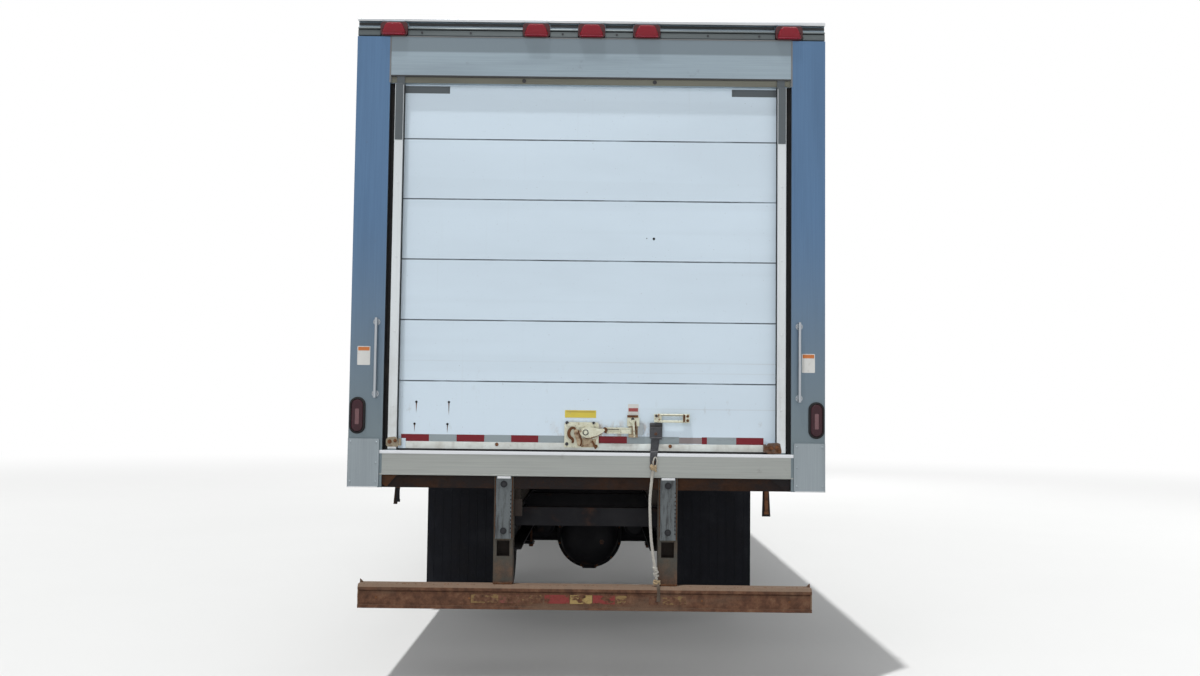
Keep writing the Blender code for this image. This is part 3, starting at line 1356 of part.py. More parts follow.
def build_cab_floor():
    solids = [box(
        (-CAB_HALF, CAB_BACK_Y, CAB_FLOOR_BOTTOM), (CAB_HALF, FIREWALL_Y, CAB_FLOOR_TOP),
    )]
    for _, side in SIDES:
        outer = side * CAB_HALF
        inner = side * (CAB_HALF - CAB_WALL)
        solids.append(box(
            (min(outer, inner), CAB_BACK_Y, CAB_FLOOR_BOTTOM - ROCKER_DROP),
            (max(outer, inner), DOOR_FRONT_Y, CAB_FLOOR_BOTTOM + SINK),
        ))
        x = side * (FRAME_HALF - RAIL_FLANGE / 2)
        for y in (CAB_BACK_Y + QUARTER_LENGTH, DOOR_FRONT_Y):
            solids.append(rod(
                (x, y, FRAME_TOP + SEAT), (x, y, CAB_FLOOR_BOTTOM + SINK), RAIL_FLANGE / 2, 12,
            ))
    add_part("cab_floor", combine(solids), "cab_paint")


def build_cab_back():
    low = CAB_FLOOR_TOP + SEAT
    solids = [box(
        (-CAB_HALF, CAB_BACK_Y, low), (CAB_HALF, CAB_BACK_Y + CAB_WALL, CAB_BACK_TOP),
    )]
    for _, side in SIDES:
        outer = side * CAB_HALF
        inner = side * (CAB_HALF - CAB_WALL)
        solids.append(box(
            (min(outer, inner), CAB_BACK_Y, low),
            (max(outer, inner), CAB_BACK_Y + QUARTER_LENGTH, CAB_BACK_TOP),
        ))
    window = box(
        (-REAR_WINDOW_HALF, CAB_BACK_Y - OVERRUN, REAR_WINDOW_LOW),
        (REAR_WINDOW_HALF, CAB_BACK_Y + CAB_WALL + OVERRUN, REAR_WINDOW_HIGH),
    )
    add_part("cab_back", lean_in(combine(solids, [window])), "cab_paint")
    glass = box(
        (-REAR_WINDOW_HALF - GLASS_LAP, CAB_BACK_Y - SEAT - GLASS_THICKNESS,
         REAR_WINDOW_LOW - GLASS_LAP),
        (REAR_WINDOW_HALF + GLASS_LAP, CAB_BACK_Y - SEAT, REAR_WINDOW_HIGH + GLASS_LAP),
    )
    add_part("rear_glass", glass, "glass")


def hinge_halves(towards, low_z):
    """One side's share of both door hinges: a barrel on the axis and a leaf on the skin."""
    axis_x = CAB_HALF + HINGE_RADIUS
    leaf_y = HINGE_Y + towards * HINGE_LEAF
    solids = []
    for z in (HINGE_LOW + low_z, HINGE_HIGH + low_z):
        solids.append(rod((axis_x, HINGE_Y, z), (axis_x, HINGE_Y, z + HINGE_LENGTH), HINGE_RADIUS, 12))
        solids.append(box(
            (CAB_HALF - SINK, min(HINGE_Y + towards * DOOR_GAP, leaf_y), z),
            (CAB_HALF + HINGE_LEAF_THICKNESS, max(HINGE_Y + towards * DOOR_GAP, leaf_y),
             z + HINGE_LENGTH),
        ))
    return solids


def build_cab_front():
    low = CAB_FLOOR_TOP + SEAT
    door_edge = DOOR_FRONT_Y + DOOR_GAP
    solids = [
        box((-CAB_HALF, FIREWALL_Y - CAB_WALL, low), (CAB_HALF, FIREWALL_Y, BELT_Z)),
        box((-CAB_HALF, DASH_BACK_Y, BELT_Z - COWL_THICKNESS), (CAB_HALF, FIREWALL_Y, BELT_Z)),
    ]
    pillar = [
        (COWL_Y, BELT_Z - SINK),
        (PILLAR_TOP_Y, CAB_BACK_TOP),
        (door_edge - DOOR_SLANT, CAB_BACK_TOP),
        (door_edge, BELT_Z - SINK),
    ]
    for _, side in SIDES:
        outer = side * CAB_HALF
        inner = side * (CAB_HALF - CAB_WALL)
        post_inner = side * (CAB_HALF - PILLAR_WIDTH)
        solids.append(box(
            (min(outer, inner), door_edge, low), (max(outer, inner), FIREWALL_Y - SINK, BELT_Z),
        ))
        solids.append(prism(pillar, "X", min(outer, post_inner), max(outer, post_inner)))
        solids += [mirror_x(half, side) for half in hinge_halves(1, 0)]
    add_part("cab_front", lean_in(combine(solids)), "cab_paint")


def build_windscreen():
    base = Vector((COWL_Y, BELT_Z))
    rise = Vector((PILLAR_TOP_Y, CAB_BACK_TOP)) - base
    normal = Vector((rise.y, -rise.x)).normalized()
    outline = []
    for share, offset in (
        (WINDSCREEN_SHARES[0], SEAT), (WINDSCREEN_SHARES[1], SEAT),
        (WINDSCREEN_SHARES[1], SEAT + GLASS_THICKNESS),
        (WINDSCREEN_SHARES[0], SEAT + GLASS_THICKNESS),
    ):
        outline.append(base + rise * share + normal * offset)
    half = CAB_HALF - GLASS_LAP
    add_part("windscreen", lean_in(prism(outline, "X", -half, half)), "glass")


def build_cab_roof():
    slope = math.tan(math.radians(CAB_LEAN_DEGREES))
    half = CAB_HALF - slope * (CAB_HEADER_Z - BELT_Z)
    height = CAB_TOP - CAB_HEADER_Z
    right = []
    for across_share, up_share in ROOF_SECTION_SHARES:
        right.append((half * across_share, CAB_HEADER_Z + height * up_share))
    left = [(-x, z) for x, z in reversed(right) if x]
    front = PILLAR_TOP_Y + ROOF_VISOR
    roof = prism(right + left, "Y", CAB_BACK_Y, front)
    hollow = box(
        (CAB_WALL - half, CAB_BACK_Y + CAB_WALL, CAB_HEADER_Z - OVERRUN),
        (half - CAB_WALL, PILLAR_TOP_Y - CAB_WALL, CAB_TOP - ROOF_SKIN),
    )
    add_part("cab_roof", combine([roof], [hollow]), "cab_paint")


def window_outline(inset):
    """The door window's edge in (y, z), moved in by the inset."""
    low = WINDOW_LOW + inset
    high = DOOR_TOP_Z - WINDOW_FRAME - inset
    rear = DOOR_REAR_Y + WINDOW_FRAME + inset
    front = []
    for z in (high, low):
        share = (z - BELT_Z) / (DOOR_TOP_Z - BELT_Z)
        front.append((DOOR_FRONT_Y - WINDOW_FRAME - inset - DOOR_SLANT * share, z))
    return [(rear, low), (rear, high), *front]


def build_mirror():
    """The mirror head and its two arms, for the right door."""
    high_y = DOOR_FRONT_Y - MIRROR_FROM_HINGE
    mid_y = high_y - MIRROR_DEPTH / 2
    solids = [box(
        (MIRROR_INNER, high_y - MIRROR_DEPTH, MIRROR_LOW),
        (MIRROR_INNER + MIRROR_WIDTH, high_y, MIRROR_LOW + MIRROR_HEIGHT),
    )]
    foot_x = CAB_HALF - CAB_WALL / 2
    for head_z, foot_z in (
        (MIRROR_LOW + MIRROR_ARM, BELT_Z - 2 * MIRROR_ARM),
        (MIRROR_LOW + MIRROR_HEIGHT / 2, WINDOW_LOW - MIRROR_ARM),
    ):
        solids.append(rod(
            (foot_x, mid_y, foot_z), (MIRROR_INNER + MIRROR_ARM, mid_y, head_z),
            MIRROR_ARM / 2, 8,
        ))
    return solids


def build_doors():
    low = CAB_FLOOR_TOP + DOOR_GAP
    outline = [
        (DOOR_REAR_Y, low), (DOOR_REAR_Y, DOOR_TOP_Z),
        (DOOR_FRONT_Y - DOOR_SLANT, DOOR_TOP_Z), (DOOR_FRONT_Y, BELT_Z), (DOOR_FRONT_Y, low),
    ]
    inner = CAB_HALF - CAB_WALL
    glass_x = CAB_HALF - CAB_WALL / 2
    for name, side in SIDES:
        slab = prism(outline, "X", inner, CAB_HALF)
        hole = prism(window_outline(0), "X", inner - OVERRUN, CAB_HALF + OVERRUN)
        shell = lean_in(combine([slab], [hole]))
        fittings = build_mirror() + hinge_halves(-1, HINGE_LENGTH + SEAT)
        door = mirror_x(combine([shell] + fittings), side)
        axis_x = side * (CAB_HALF + HINGE_RADIUS)
        hinge = pivot(f"door_hinge_{name}", Vector((axis_x, HINGE_Y, BELT_Z)))
        add_part(f"door_{name}", door, "cab_paint", hinge)
        pane = prism(window_outline(SEAT), "X", glass_x - GLASS_THICKNESS, glass_x)
        add_part(f"door_glass_{name}", mirror_x(lean_in(pane), side), "glass", hinge)


def build_seat():
    back = CAB_BACK_Y + CAB_WALL + SEAT_BACK_GAP
    base = CAB_FLOOR_TOP + SEAT
    front = back + SEAT_CUSHION_FRONT
    under = SEAT_CUSHION_TOP - SEAT_CUSHION_THICKNESS
    outline = [
        (back, base), (back, SEAT_BACK_TOP), (back + SEAT_BACK_THICKNESS / 2, SEAT_BACK_TOP),
        (back + SEAT_BACK_THICKNESS, SEAT_CUSHION_TOP), (front, SEAT_CUSHION_TOP),
        (front, under), (front - SEAT_CUSHION_THICKNESS, under),
        (front - SEAT_CUSHION_THICKNESS, base),
    ]
    half = CAB_HALF - CAB_WALL - SEAT_SIDE_GAP
    add_part("bench_seat", prism(outline, "X", -half, half), "grey_fabric")


def build_dashboard():
    wall = FIREWALL_Y - CAB_WALL - SEAT
    outline = [
        (wall, DASH_BOTTOM), (wall, DASH_TOP), (wall - DASH_DEPTH / 2, DASH_TOP),
        (wall - DASH_DEPTH, DASH_TOP - DASH_DEPTH / 4), (wall - DASH_DEPTH / 2, DASH_BOTTOM),
    ]
    half = CAB_HALF - CAB_WALL - DASH_SIDE_GAP
    solids = [prism(outline, "X", -half, half)]
    rim = []
    for step in range(8):
        angle = math.tau * step / 8
        rim.append((
            STEERING_RADIUS + STEERING_RIM * math.cos(angle), STEERING_RIM * math.sin(angle),
        ))
    wheel = turned(rim, (0, 0, 0), STEERING_SEGMENTS)
    hub = rod((-STEERING_RIM, 0, 0), (STEERING_REACH, 0, 0), 2 * STEERING_RIM, 12)
    spokes = []
    for share in (0, 1 / 3, 2 / 3):
        angle = math.tau * share
        spokes.append(rod(
            (0, 0, 0),
            (0, STEERING_RADIUS * math.sin(angle), STEERING_RADIUS * math.cos(angle)),
            STEERING_RIM / 2, 6,
        ))
    wheel_x = -CAB_HALF * STEERING_X_SHARE
    centre = (wheel_x, wall - DASH_DEPTH - STEERING_REACH / 2, DASH_TOP)
    turn = (
        Matrix.Translation(centre)
        @ Matrix.Rotation(-math.radians(STEERING_TILT_DEGREES), 4, "X")
        @ Matrix.Rotation(math.radians(90), 4, "Z")
    )
    for mesh in [wheel, hub] + spokes:
        mesh.transform(turn)
    add_part("dashboard", combine(solids + [wheel, hub] + spokes), "black_plastic")


def hood_ring(section, inset):
    """One cross section of the hood and both fenders, moved in by the inset."""
    y, half, top, fender_half, fender_top, bottom = section
    half -= inset
    top -= inset
    fender_half -= inset
    fender_top -= inset
    bottom -= 2 * inset
    valley = half + HOOD_VALLEY
    right = [
        (0, top),
        (half * HOOD_CROWN_SHARE, top - HOOD_SHOULDER / 8),
        (half - HOOD_SHOULDER / 2, top - HOOD_SHOULDER / 3),
        (half, top - HOOD_SHOULDER),
        (half + HOOD_VALLEY / 3, fender_top + HOOD_VALLEY / 3),
        (valley, fender_top),
        (fender_half - FENDER_SHOULDER, fender_top),
        (fender_half - FENDER_SHOULDER / 3, fender_top - FENDER_SHOULDER / 3),
        (fender_half, fender_top - FENDER_SHOULDER),
        (fender_half, bottom),
    ]
    left = [(-x, z) for x, z in reversed(right) if x]
    return [(x, y, z) for x, z in right + left]


def hood_solid(inset):
    """The hood's outer form, or with an inset the hollow inside it."""
    sections = []
    last = len(HOOD_SECTIONS) - 1
    for index, (ahead, *sizes) in enumerate(HOOD_SECTIONS):
        y = CAB_BACK_Y + ahead
        if inset and index == 0:
            y -= OVERRUN
        if inset and index == last:
            y -= inset
        sections.append((y, *sizes))
    return loft([hood_ring(section, inset) for section in sections])


def build_hood():
    nose = CAB_BACK_Y + HOOD_SECTIONS[-1][0]
    empty = pivot("hood_pivot", Vector((0, HOOD_PIVOT_Y, HOOD_PIVOT_Z)))
    cutters = [hood_solid(HOOD_PANEL)]
    cutters.append(box(
        (-CAB_HALF - CAB_CLEARANCE, CAB_BACK_Y, 0),
        (CAB_HALF + CAB_CLEARANCE, HOOD_REAR_Y, CAB_TOP),
    ))
    cutters.append(box(
        (-GRILLE_HALF, nose - 2 * HOOD_PANEL, GRILLE_LOW),
        (GRILLE_HALF, nose + OVERRUN, GRILLE_HIGH),
    ))
    lugs = []
    for _, side in SIDES:
        inner, outer = side * HOOD_LUG_X, side * (HOOD_LUG_X + HOOD_LUG_THICKNESS)
        reach = side * (BODY_HALF + OVERRUN)
        cutters.append(rod(
            (side * ARCH_INNER, FRONT_AXLE_Y, WHEEL_Z), (reach, FRONT_AXLE_Y, WHEEL_Z),
            ARCH_RADIUS, 40,
        ))
        lamp_inner, lamp_outer = side * HEADLAMP_INNER, side * HEADLAMP_OUTER
        cutters.append(box(
            (min(lamp_inner, lamp_outer), nose - 2 * HOOD_PANEL, HEADLAMP_LOW),
            (max(lamp_inner, lamp_outer), nose + OVERRUN, HEADLAMP_HIGH),
        ))
        lug = box(
            (min(inner, outer), HOOD_PIVOT_Y - HOOD_LUG_HALF, HOOD_PIVOT_Z - HOOD_LUG_HALF),
            (max(inner, outer), nose - HOOD_PANEL + SINK, HOOD_PIVOT_Z + 2 * HOOD_LUG_HALF),
        )
        hole = rod(
            (inner - side * OVERRUN, HOOD_PIVOT_Y, HOOD_PIVOT_Z),
            (outer + side * OVERRUN, HOOD_PIVOT_Y, HOOD_PIVOT_Z),
            HOOD_PIN_RADIUS + HUB_CLEARANCE, 12,
        )
        lugs.append(combine([lug], [hole]))
    shell = combine([hood_solid(0)], cutters)
    add_part("hood", combine([shell] + lugs), "cab_paint", empty)
    build_grille(nose, empty)
    build_headlamps(nose, empty)


def build_grille(nose, empty):
    half = GRILLE_HALF - SEAT
    low = GRILLE_LOW + SEAT
    high = GRILLE_HIGH - SEAT
    back = nose - HOOD_PANEL
    face = nose - HOOD_PANEL / 3
    plate = box((-half, back, low), (half, face, high))
    solids = [plate]
    step = (high - low - GRILLE_FRAME) / GRILLE_BARS
    for index in range(GRILLE_BARS + 1):
        z = low + index * step
        solids.append(box(
            (-half, face - SINK, z), (half, nose, z + GRILLE_BAR_HEIGHT),
        ))
    for _, side in SIDES:
        outer, inner = side * half, side * (half - GRILLE_FRAME)
        solids.append(box(
            (min(outer, inner), face - SINK, low), (max(outer, inner), nose, high),
        ))
    add_part("grille", combine(solids), "black_plastic", empty)


def build_headlamps(nose, empty):
    for name, side in SIDES:
        low = (HEADLAMP_INNER + SEAT, HEADLAMP_LOW + SEAT)
        high = (HEADLAMP_OUTER - SEAT, HEADLAMP_HIGH - SEAT)
        lamp = prism(
            rounded(low, high, HEADLAMP_PROUD), "Y", nose - HOOD_PANEL, nose + HEADLAMP_PROUD,
        )
        add_part(f"headlamp_{name}", mirror_x(lamp, side), "clear_lens", empty)


def build_bumper():
    corner = BUMPER_HALF - BUMPER_CORNER
    front = [
        (-BUMPER_HALF, BUMPER_Y - BUMPER_SWEEP), (-corner, BUMPER_Y),
        (corner, BUMPER_Y), (BUMPER_HALF, BUMPER_Y - BUMPER_SWEEP),
    ]
    back = [(x, y - BUMPER_DEPTH) for x, y in reversed(front)]
    add_part("front_bumper", prism(front + back, "Z", BUMPER_LOW, BUMPER_HIGH), "chrome")


def build_truck():
    for item in list(bpy.data.objects):
        bpy.data.objects.remove(item)
    build_floor()
    build_walls()
    build_posts()
    build_grab_bars()
    build_header()
    build_sills()
    build_tail_lamps()
    build_roll_door()
    build_latch()
    build_lift_handle()
    build_strap()
    build_rope()
    build_guard()
    build_flaps()
    build_ladder_frame()
    build_rear_axle()
    build_front_axle()
    for name, side in SIDES:
        build_knuckle(name, side)
    build_tie_rod()
    build_tyres()
    build_front_wheels()
    build_dual_wheels()
    build_engine()
    build_drive_shaft()
    build_tanks()
    build_exhaust()
    build_cab_floor()
    build_cab_back()
    build_cab_front()
    build_windscreen()
    build_cab_roof()
    build_doors()
    build_seat()
    build_dashboard()
    build_hood()
    build_bumper()


build_truck()
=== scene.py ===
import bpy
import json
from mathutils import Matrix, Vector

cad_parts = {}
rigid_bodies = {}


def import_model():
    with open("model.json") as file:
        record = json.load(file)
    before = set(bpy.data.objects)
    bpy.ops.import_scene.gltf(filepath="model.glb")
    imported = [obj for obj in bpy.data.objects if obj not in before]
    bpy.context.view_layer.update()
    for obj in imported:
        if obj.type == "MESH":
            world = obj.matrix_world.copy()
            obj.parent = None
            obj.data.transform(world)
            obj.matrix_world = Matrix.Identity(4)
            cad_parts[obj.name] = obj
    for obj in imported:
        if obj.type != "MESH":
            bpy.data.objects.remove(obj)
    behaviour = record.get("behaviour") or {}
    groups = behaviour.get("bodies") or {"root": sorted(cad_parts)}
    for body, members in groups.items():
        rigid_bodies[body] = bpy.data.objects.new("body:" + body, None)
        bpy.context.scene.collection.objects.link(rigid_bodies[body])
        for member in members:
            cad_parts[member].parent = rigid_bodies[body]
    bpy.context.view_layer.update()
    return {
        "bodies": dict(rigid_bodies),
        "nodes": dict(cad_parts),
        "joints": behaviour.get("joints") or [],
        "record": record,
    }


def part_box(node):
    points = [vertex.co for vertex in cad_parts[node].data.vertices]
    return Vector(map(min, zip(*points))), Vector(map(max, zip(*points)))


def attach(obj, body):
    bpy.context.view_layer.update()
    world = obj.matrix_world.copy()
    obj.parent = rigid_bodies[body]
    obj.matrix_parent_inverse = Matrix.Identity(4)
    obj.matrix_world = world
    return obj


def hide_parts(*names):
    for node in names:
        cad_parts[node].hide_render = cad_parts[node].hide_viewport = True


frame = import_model()

import json
import math
import random

import bmesh
import bpy
from mathutils import Matrix, Vector
from mathutils.bvhtree import BVHTree

NODES = frame["nodes"]
SIDES = (("left", -1), ("right", 1))

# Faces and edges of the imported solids, in metres
SILL_LOW, SILL_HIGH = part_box("rear_sill")
GUARD_LOW, GUARD_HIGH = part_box("underride_guard")
BODY_LOW, BODY_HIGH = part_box("body_side_right")
REAR_Y = GUARD_LOW.y
GUARD_TOP = GUARD_LOW.z + 0.127
GUARD_HALF = GUARD_HIGH.x
DECK = SILL_HIGH.z
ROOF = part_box("rear_header")[1].z
BODY_HALF = BODY_HIGH.x
BODY_FRONT = BODY_HIGH.y
WALL_BACK = BODY_LOW.y
FLOOR_BOTTOM = BODY_LOW.z
POST_FACE = REAR_Y + 0.03
POST_INNER = 1.1105
SLOT_INNER = 1.0805
JAMB_INNER = 1.0335
JAMB_FACE = POST_FACE + 0.004
DOOR_FACE = POST_FACE + 0.0343
RAIL_BOTTOM = ROOF - 0.105
DOORWAY_TOP = RAIL_BOTTOM - 0.26
SILL_BOTTOM = SILL_LOW.z
FRAME_HALF = 0.435
TYRE_RADIUS = 0.49
REAR_AXLE_Y = sum(corner.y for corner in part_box("tyre_rear_left_outer")) / 2
FRONT_AXLE_Y = sum(corner.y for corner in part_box("tyre_front_left")) / 2
# The corner plates at the feet of the posts
CORNER_WIDTH = 0.17
# The cab: half width, back wall, cowl, and its sides, which lean in above the belt
CAB_HALF = 1.0
CAB_BACK = 2.655
COWL = 3.670
BELT = 1.72
SIDE_TOP = 2.45
LEAN = math.tan(math.radians(5.0))
NOSE = CAB_BACK + 2.60
# The way that bolts and lamps on the rear face look
BACK = (0, -1, 0)


class Shade:
    """A material's node graph. Textures are placed in metres on the object at rest."""

    def __init__(self, name, roughness, metallic=0.0, **sockets):
        self.material = bpy.data.materials.new(name)
        self.material.use_nodes = True
        self.tree = self.material.node_tree
        self.shader = self.tree.nodes["Principled BSDF"]
        self.place = self.node("ShaderNodeTexCoord").outputs["Object"]
        self.axes = None
        self.shader.inputs["Roughness"].default_value = roughness
        self.shader.inputs["Metallic"].default_value = metallic
        for label, value in sockets.items():
            self.shader.inputs[label.replace("_", " ")].default_value = value

    def node(self, kind, **settings):
        made = self.tree.nodes.new(kind)
        for key, value in settings.items():
            setattr(made, key, value)
        return made

    def feed(self, socket, value):
        if isinstance(value, bpy.types.NodeSocket):
            self.tree.links.new(value, socket)
        elif value is not None:
            socket.default_value = value

    def axis(self, letter):
        if self.axes is None:
            split = self.node("ShaderNodeSeparateXYZ")
            self.feed(split.inputs[0], self.place)
            self.axes = split.outputs
        return self.axes[letter]

    def texture(self, kind, stretch, settings, **properties):
        """A texture placed on the object, stretched along its axes."""
        mapping = self.node("ShaderNodeMapping")
        self.feed(mapping.inputs["Vector"], self.place)
        mapping.inputs["Scale"].default_value = stretch
        made = self.node(kind, **properties)
        self.feed(made.inputs["Vector"], mapping.outputs[0])
        for label, value in settings.items():
            made.inputs[label].default_value = value
        return made.outputs

    def noise(self, scale, detail, roughness=0.55, stretch=(1, 1, 1)):
        settings = {"Scale": scale, "Detail": detail, "Roughness": roughness}
        return self.texture("ShaderNodeTexNoise", stretch, settings)["Fac"]

    def cells(self, scale, randomness=1.0):
        settings = {"Scale": scale, "Randomness": randomness}
        return self.texture("ShaderNodeTexVoronoi", (1, 1, 1), settings)["Distance"]

    def waves(self, direction, stretch):
        settings = {"Scale": 1.0, "Detail": 1.0}
        return self.texture("ShaderNodeTexWave", stretch, settings, bands_direction=direction)["Fac"]

    def span(self, value, low, high, to_low=0.0, to_high=1.0):
        made = self.node("ShaderNodeMapRange", interpolation_type="SMOOTHSTEP")
        labels = ("Value", "From Min", "From Max", "To Min", "To Max")
        for label, given in zip(labels, (value, low, high, to_low, to_high)):
            self.feed(made.inputs[label], given)
        return made.outputs[0]

    def sum(self, operation, first, second):
        made = self.node("ShaderNodeMath", operation=operation)
        for socket, given in zip(made.inputs, (first, second)):
            self.feed(socket, given)
        return made.outputs[0]

    def both(self, *factors):
        total = factors[0]
        for factor in factors[1:]:
            total = self.sum("MULTIPLY", total, factor)
        return total

    def window(self, letter, low, high, soft):
        """1 between low and high along one axis, with soft edges."""
        value = self.axis(letter)
        rise = self.span(value, low - soft, low + soft)
        fall = self.span(value, high - soft, high + soft, 1.0, 0.0)
        return self.both(rise, fall)

    def facing(self, letter, low, high):
        """0 to 1 as the surface turns to face along an axis of the object."""
        made = self.node("ShaderNodeTexCoord")
        split = self.node("ShaderNodeSeparateXYZ")
        self.feed(split.inputs[0], made.outputs["Normal"])
        return self.span(split.outputs[letter], low, high)

    def mix(self, factor, first, second):
        made = self.node("ShaderNodeMix", data_type="RGBA")
        self.feed(made.inputs[0], factor)
        for socket, colour in zip((made.inputs[6], made.inputs[7]), (first, second)):
            if isinstance(colour, tuple):
                colour = (*colour[:3], 1.0)
            self.feed(socket, colour)
        return made.outputs[2]

    def ramp(self, value, stops):
        made = self.node("ShaderNodeValToRGB")
        self.feed(made.inputs[0], value)
        elements = made.color_ramp.elements
        while len(elements) < len(stops):
            elements.new(0.5)
        for element, (place, colour) in zip(elements, stops):
            element.position = place
            element.color = (*colour, 1.0)
        return made.outputs[0]

    def colour(self, value):
        self.feed(self.shader.inputs["Base Color"], value)

    def gloss(self, value):
        self.feed(self.shader.inputs["Roughness"], value)

    def bumps(self, *layers):
        """Layers of (height, strength, depth in metres), coarse first."""
        normal = None
        for height, strength, depth in layers:
            made = self.node("ShaderNodeBump")
            made.inputs["Strength"].default_value = strength
            made.inputs["Distance"].default_value = depth
            self.feed(made.inputs["Height"], height)
            self.feed(made.inputs["Normal"], normal)
            normal = made.outputs[0]
        self.feed(self.shader.inputs["Normal"], normal)


DUST = (0.30, 0.27, 0.22)
GRIME = (0.10, 0.085, 0.07)
RUST_DARK = (0.050, 0.026, 0.017)
RUST = (0.155, 0.066, 0.030)
RUST_BRIGHT = (0.33, 0.14, 0.055)


def tinted(colour, share):
    return tuple(channel * share for channel in colour)


def paint(name, colour, roughness, streak, dusty_below, spots, coat=0.3, bend=0.0):
    """Sprayed paint with dirt that runs down, specks and road dust low down."""
    shade = Shade(name, roughness, Coat_Weight=coat, Coat_Roughness=0.12)
    broad = shade.noise(1.3, 3)
    tone = shade.mix(shade.span(broad, 0.35, 0.7), colour, tinted(colour, 0.90))
    runs = shade.noise(3.0, 5, stretch=(14, 14, 0.35))
    tone = shade.mix(shade.span(runs, 0.55, 0.85, 0, streak), tone, GRIME)
    specks = shade.noise(95, 2)
    tone = shade.mix(shade.span(specks, 0.70, 0.78, 0, spots), tone, GRIME)
    patches = shade.noise(7, 6, 0.65)
    low = shade.span(shade.axis("Z"), dusty_below * 0.35, dusty_below, 0.75, 0)
    tone = shade.mix(shade.both(low, shade.span(patches, 0.25, 0.8)), tone, DUST)
    shade.colour(tone)
    shade.gloss(shade.span(patches, 0.2, 0.8, roughness * 0.8, min(0.9, roughness * 1.5)))
    shade.bumps((broad, 0.5, bend), (shade.noise(420, 2), 0.08, 0.0006))
    return shade.material


def brushed(name, colour, along, roughness, grime, low_tint=None, metallic=0.9, shaded=None, sides=None):
    """Brushed stainless or aluminium: fine lines along one axis, smears and dirt; where given, a painted
    shade band and painted reflections low down and on the sides.
    """
    fine = tuple(3 if letter == along else 300 for letter in "XYZ")
    broad = tuple(0.5 if letter == along else 5 for letter in "XYZ")
    shade = Shade(name, roughness, metallic)
    lines = shade.noise(1.0, 3, stretch=fine)
    smears = shade.noise(1.6, 5, stretch=broad)
    tone = shade.mix(shade.span(lines, 0.3, 0.7), tinted(colour, 0.95), tinted(colour, 1.05))
    tone = shade.mix(shade.span(smears, 0.40, 0.75, 0, grime), tone, tinted(colour, 0.55))
    blots = shade.noise(9, 6, 0.7)
    tone = shade.mix(shade.span(blots, 0.62, 0.74, 0, grime * 0.8), tone, GRIME)
    # Where given, a painted reflection that takes over towards the bottom
    if low_tint:
        low = shade.span(shade.axis("Z"), 1.2, 2.7, 1, 0)
        tone = shade.mix(low, tone, low_tint)
    # Where given, a band of painted shade, such as under a rail
    if shaded:
        tone = shade.mix(shade.window("Z", *shaded, 0.006), tone, tinted(colour, 0.62))
    # Where given, faces towards the sides take a painted reflection of their own
    if sides:
        across = shade.sum("MAXIMUM", shade.facing("X", 0.4, 0.8), shade.facing("X", -0.4, -0.8))
        tone = shade.mix(across, tone, sides)
    shade.colour(tone)
    shade.gloss(shade.span(smears, 0.2, 0.8, roughness * 0.75, roughness * 1.5))
    shade.bumps((shade.noise(1.8, 2), 0.35, 0.004), (lines, 0.05, 0.0002))
    return shade.material


def rusted(name, base, rust_share, scale, lights=RUST_BRIGHT, roughness=0.85, glow=1.0):
    """Steel under rust: pits, flakes, brighter blooms and what is left of the paint."""
    shade = Shade(name, roughness, Specular_IOR_Level=0.2)
    broad = shade.noise(3.2 * scale, 7, 0.62, stretch=(0.45, 1, 1))
    patches = shade.noise(16 * scale, 8, 0.68)
    grit = shade.noise(170 * scale, 4, 0.7)
    stops = ((0.30, RUST_DARK), (0.48, RUST), (0.62, tinted(RUST, 1.35)), (0.78, lights))
    coat = shade.ramp(patches, tuple((place, tinted(stop, glow)) for place, stop in stops))
    edge = shade.sum("ADD", shade.both(broad, 0.7), shade.both(patches, 0.3))
    keep = shade.span(edge, rust_share - 0.10, rust_share + 0.04)
    tone = shade.mix(keep, coat, base)
    tone = shade.mix(shade.span(grit, 0.5, 0.72, 0, 0.55), tone, RUST_DARK)
    shade.colour(tone)
    shade.gloss(shade.span(grit, 0.3, 0.7, roughness * 0.85, 0.97))
    shade.bumps((patches, 0.6, 0.0035), (grit, 0.5, 0.0012))
    return shade.material


def rubber(name, colour, dust, roughness):
    shade = Shade(name, roughness, Specular_IOR_Level=0.2)
    patches = shade.noise(6, 6, 0.62)
    grain = shade.noise(260, 3, 0.6)
    tone = shade.mix(shade.span(patches, 0.45, 0.85, 0, dust), colour, tinted(DUST, 0.42))
    tone = shade.mix(shade.span(grain, 0.62, 0.75, 0, 0.25), tone, tinted(DUST, 0.6))
    shade.colour(tone)
    shade.gloss(shade.span(patches, 0.2, 0.8, roughness * 0.85, 0.95))
    shade.bumps((patches, 0.25, 0.003), (grain, 0.3, 0.0005))
    return shade.material


def moulded(name, colour, roughness, grain=260, dust=0.2):
    """Moulded plastic with a fine leather-like grain and some dust."""
    shade = Shade(name, roughness)
    patches = shade.noise(5, 5)
    pebbles = shade.cells(grain)
    tone = shade.mix(shade.span(patches, 0.4, 0.8), colour, tinted(colour, 0.82))
    tone = shade.mix(shade.span(shade.noise(40, 5), 0.55, 0.8, 0, dust), tone, DUST)
    shade.colour(tone)
    shade.gloss(shade.span(patches, 0.2, 0.8, roughness * 0.85, min(0.95, roughness * 1.2)))
    shade.bumps((pebbles, 0.2, 0.0006))
    return shade.material


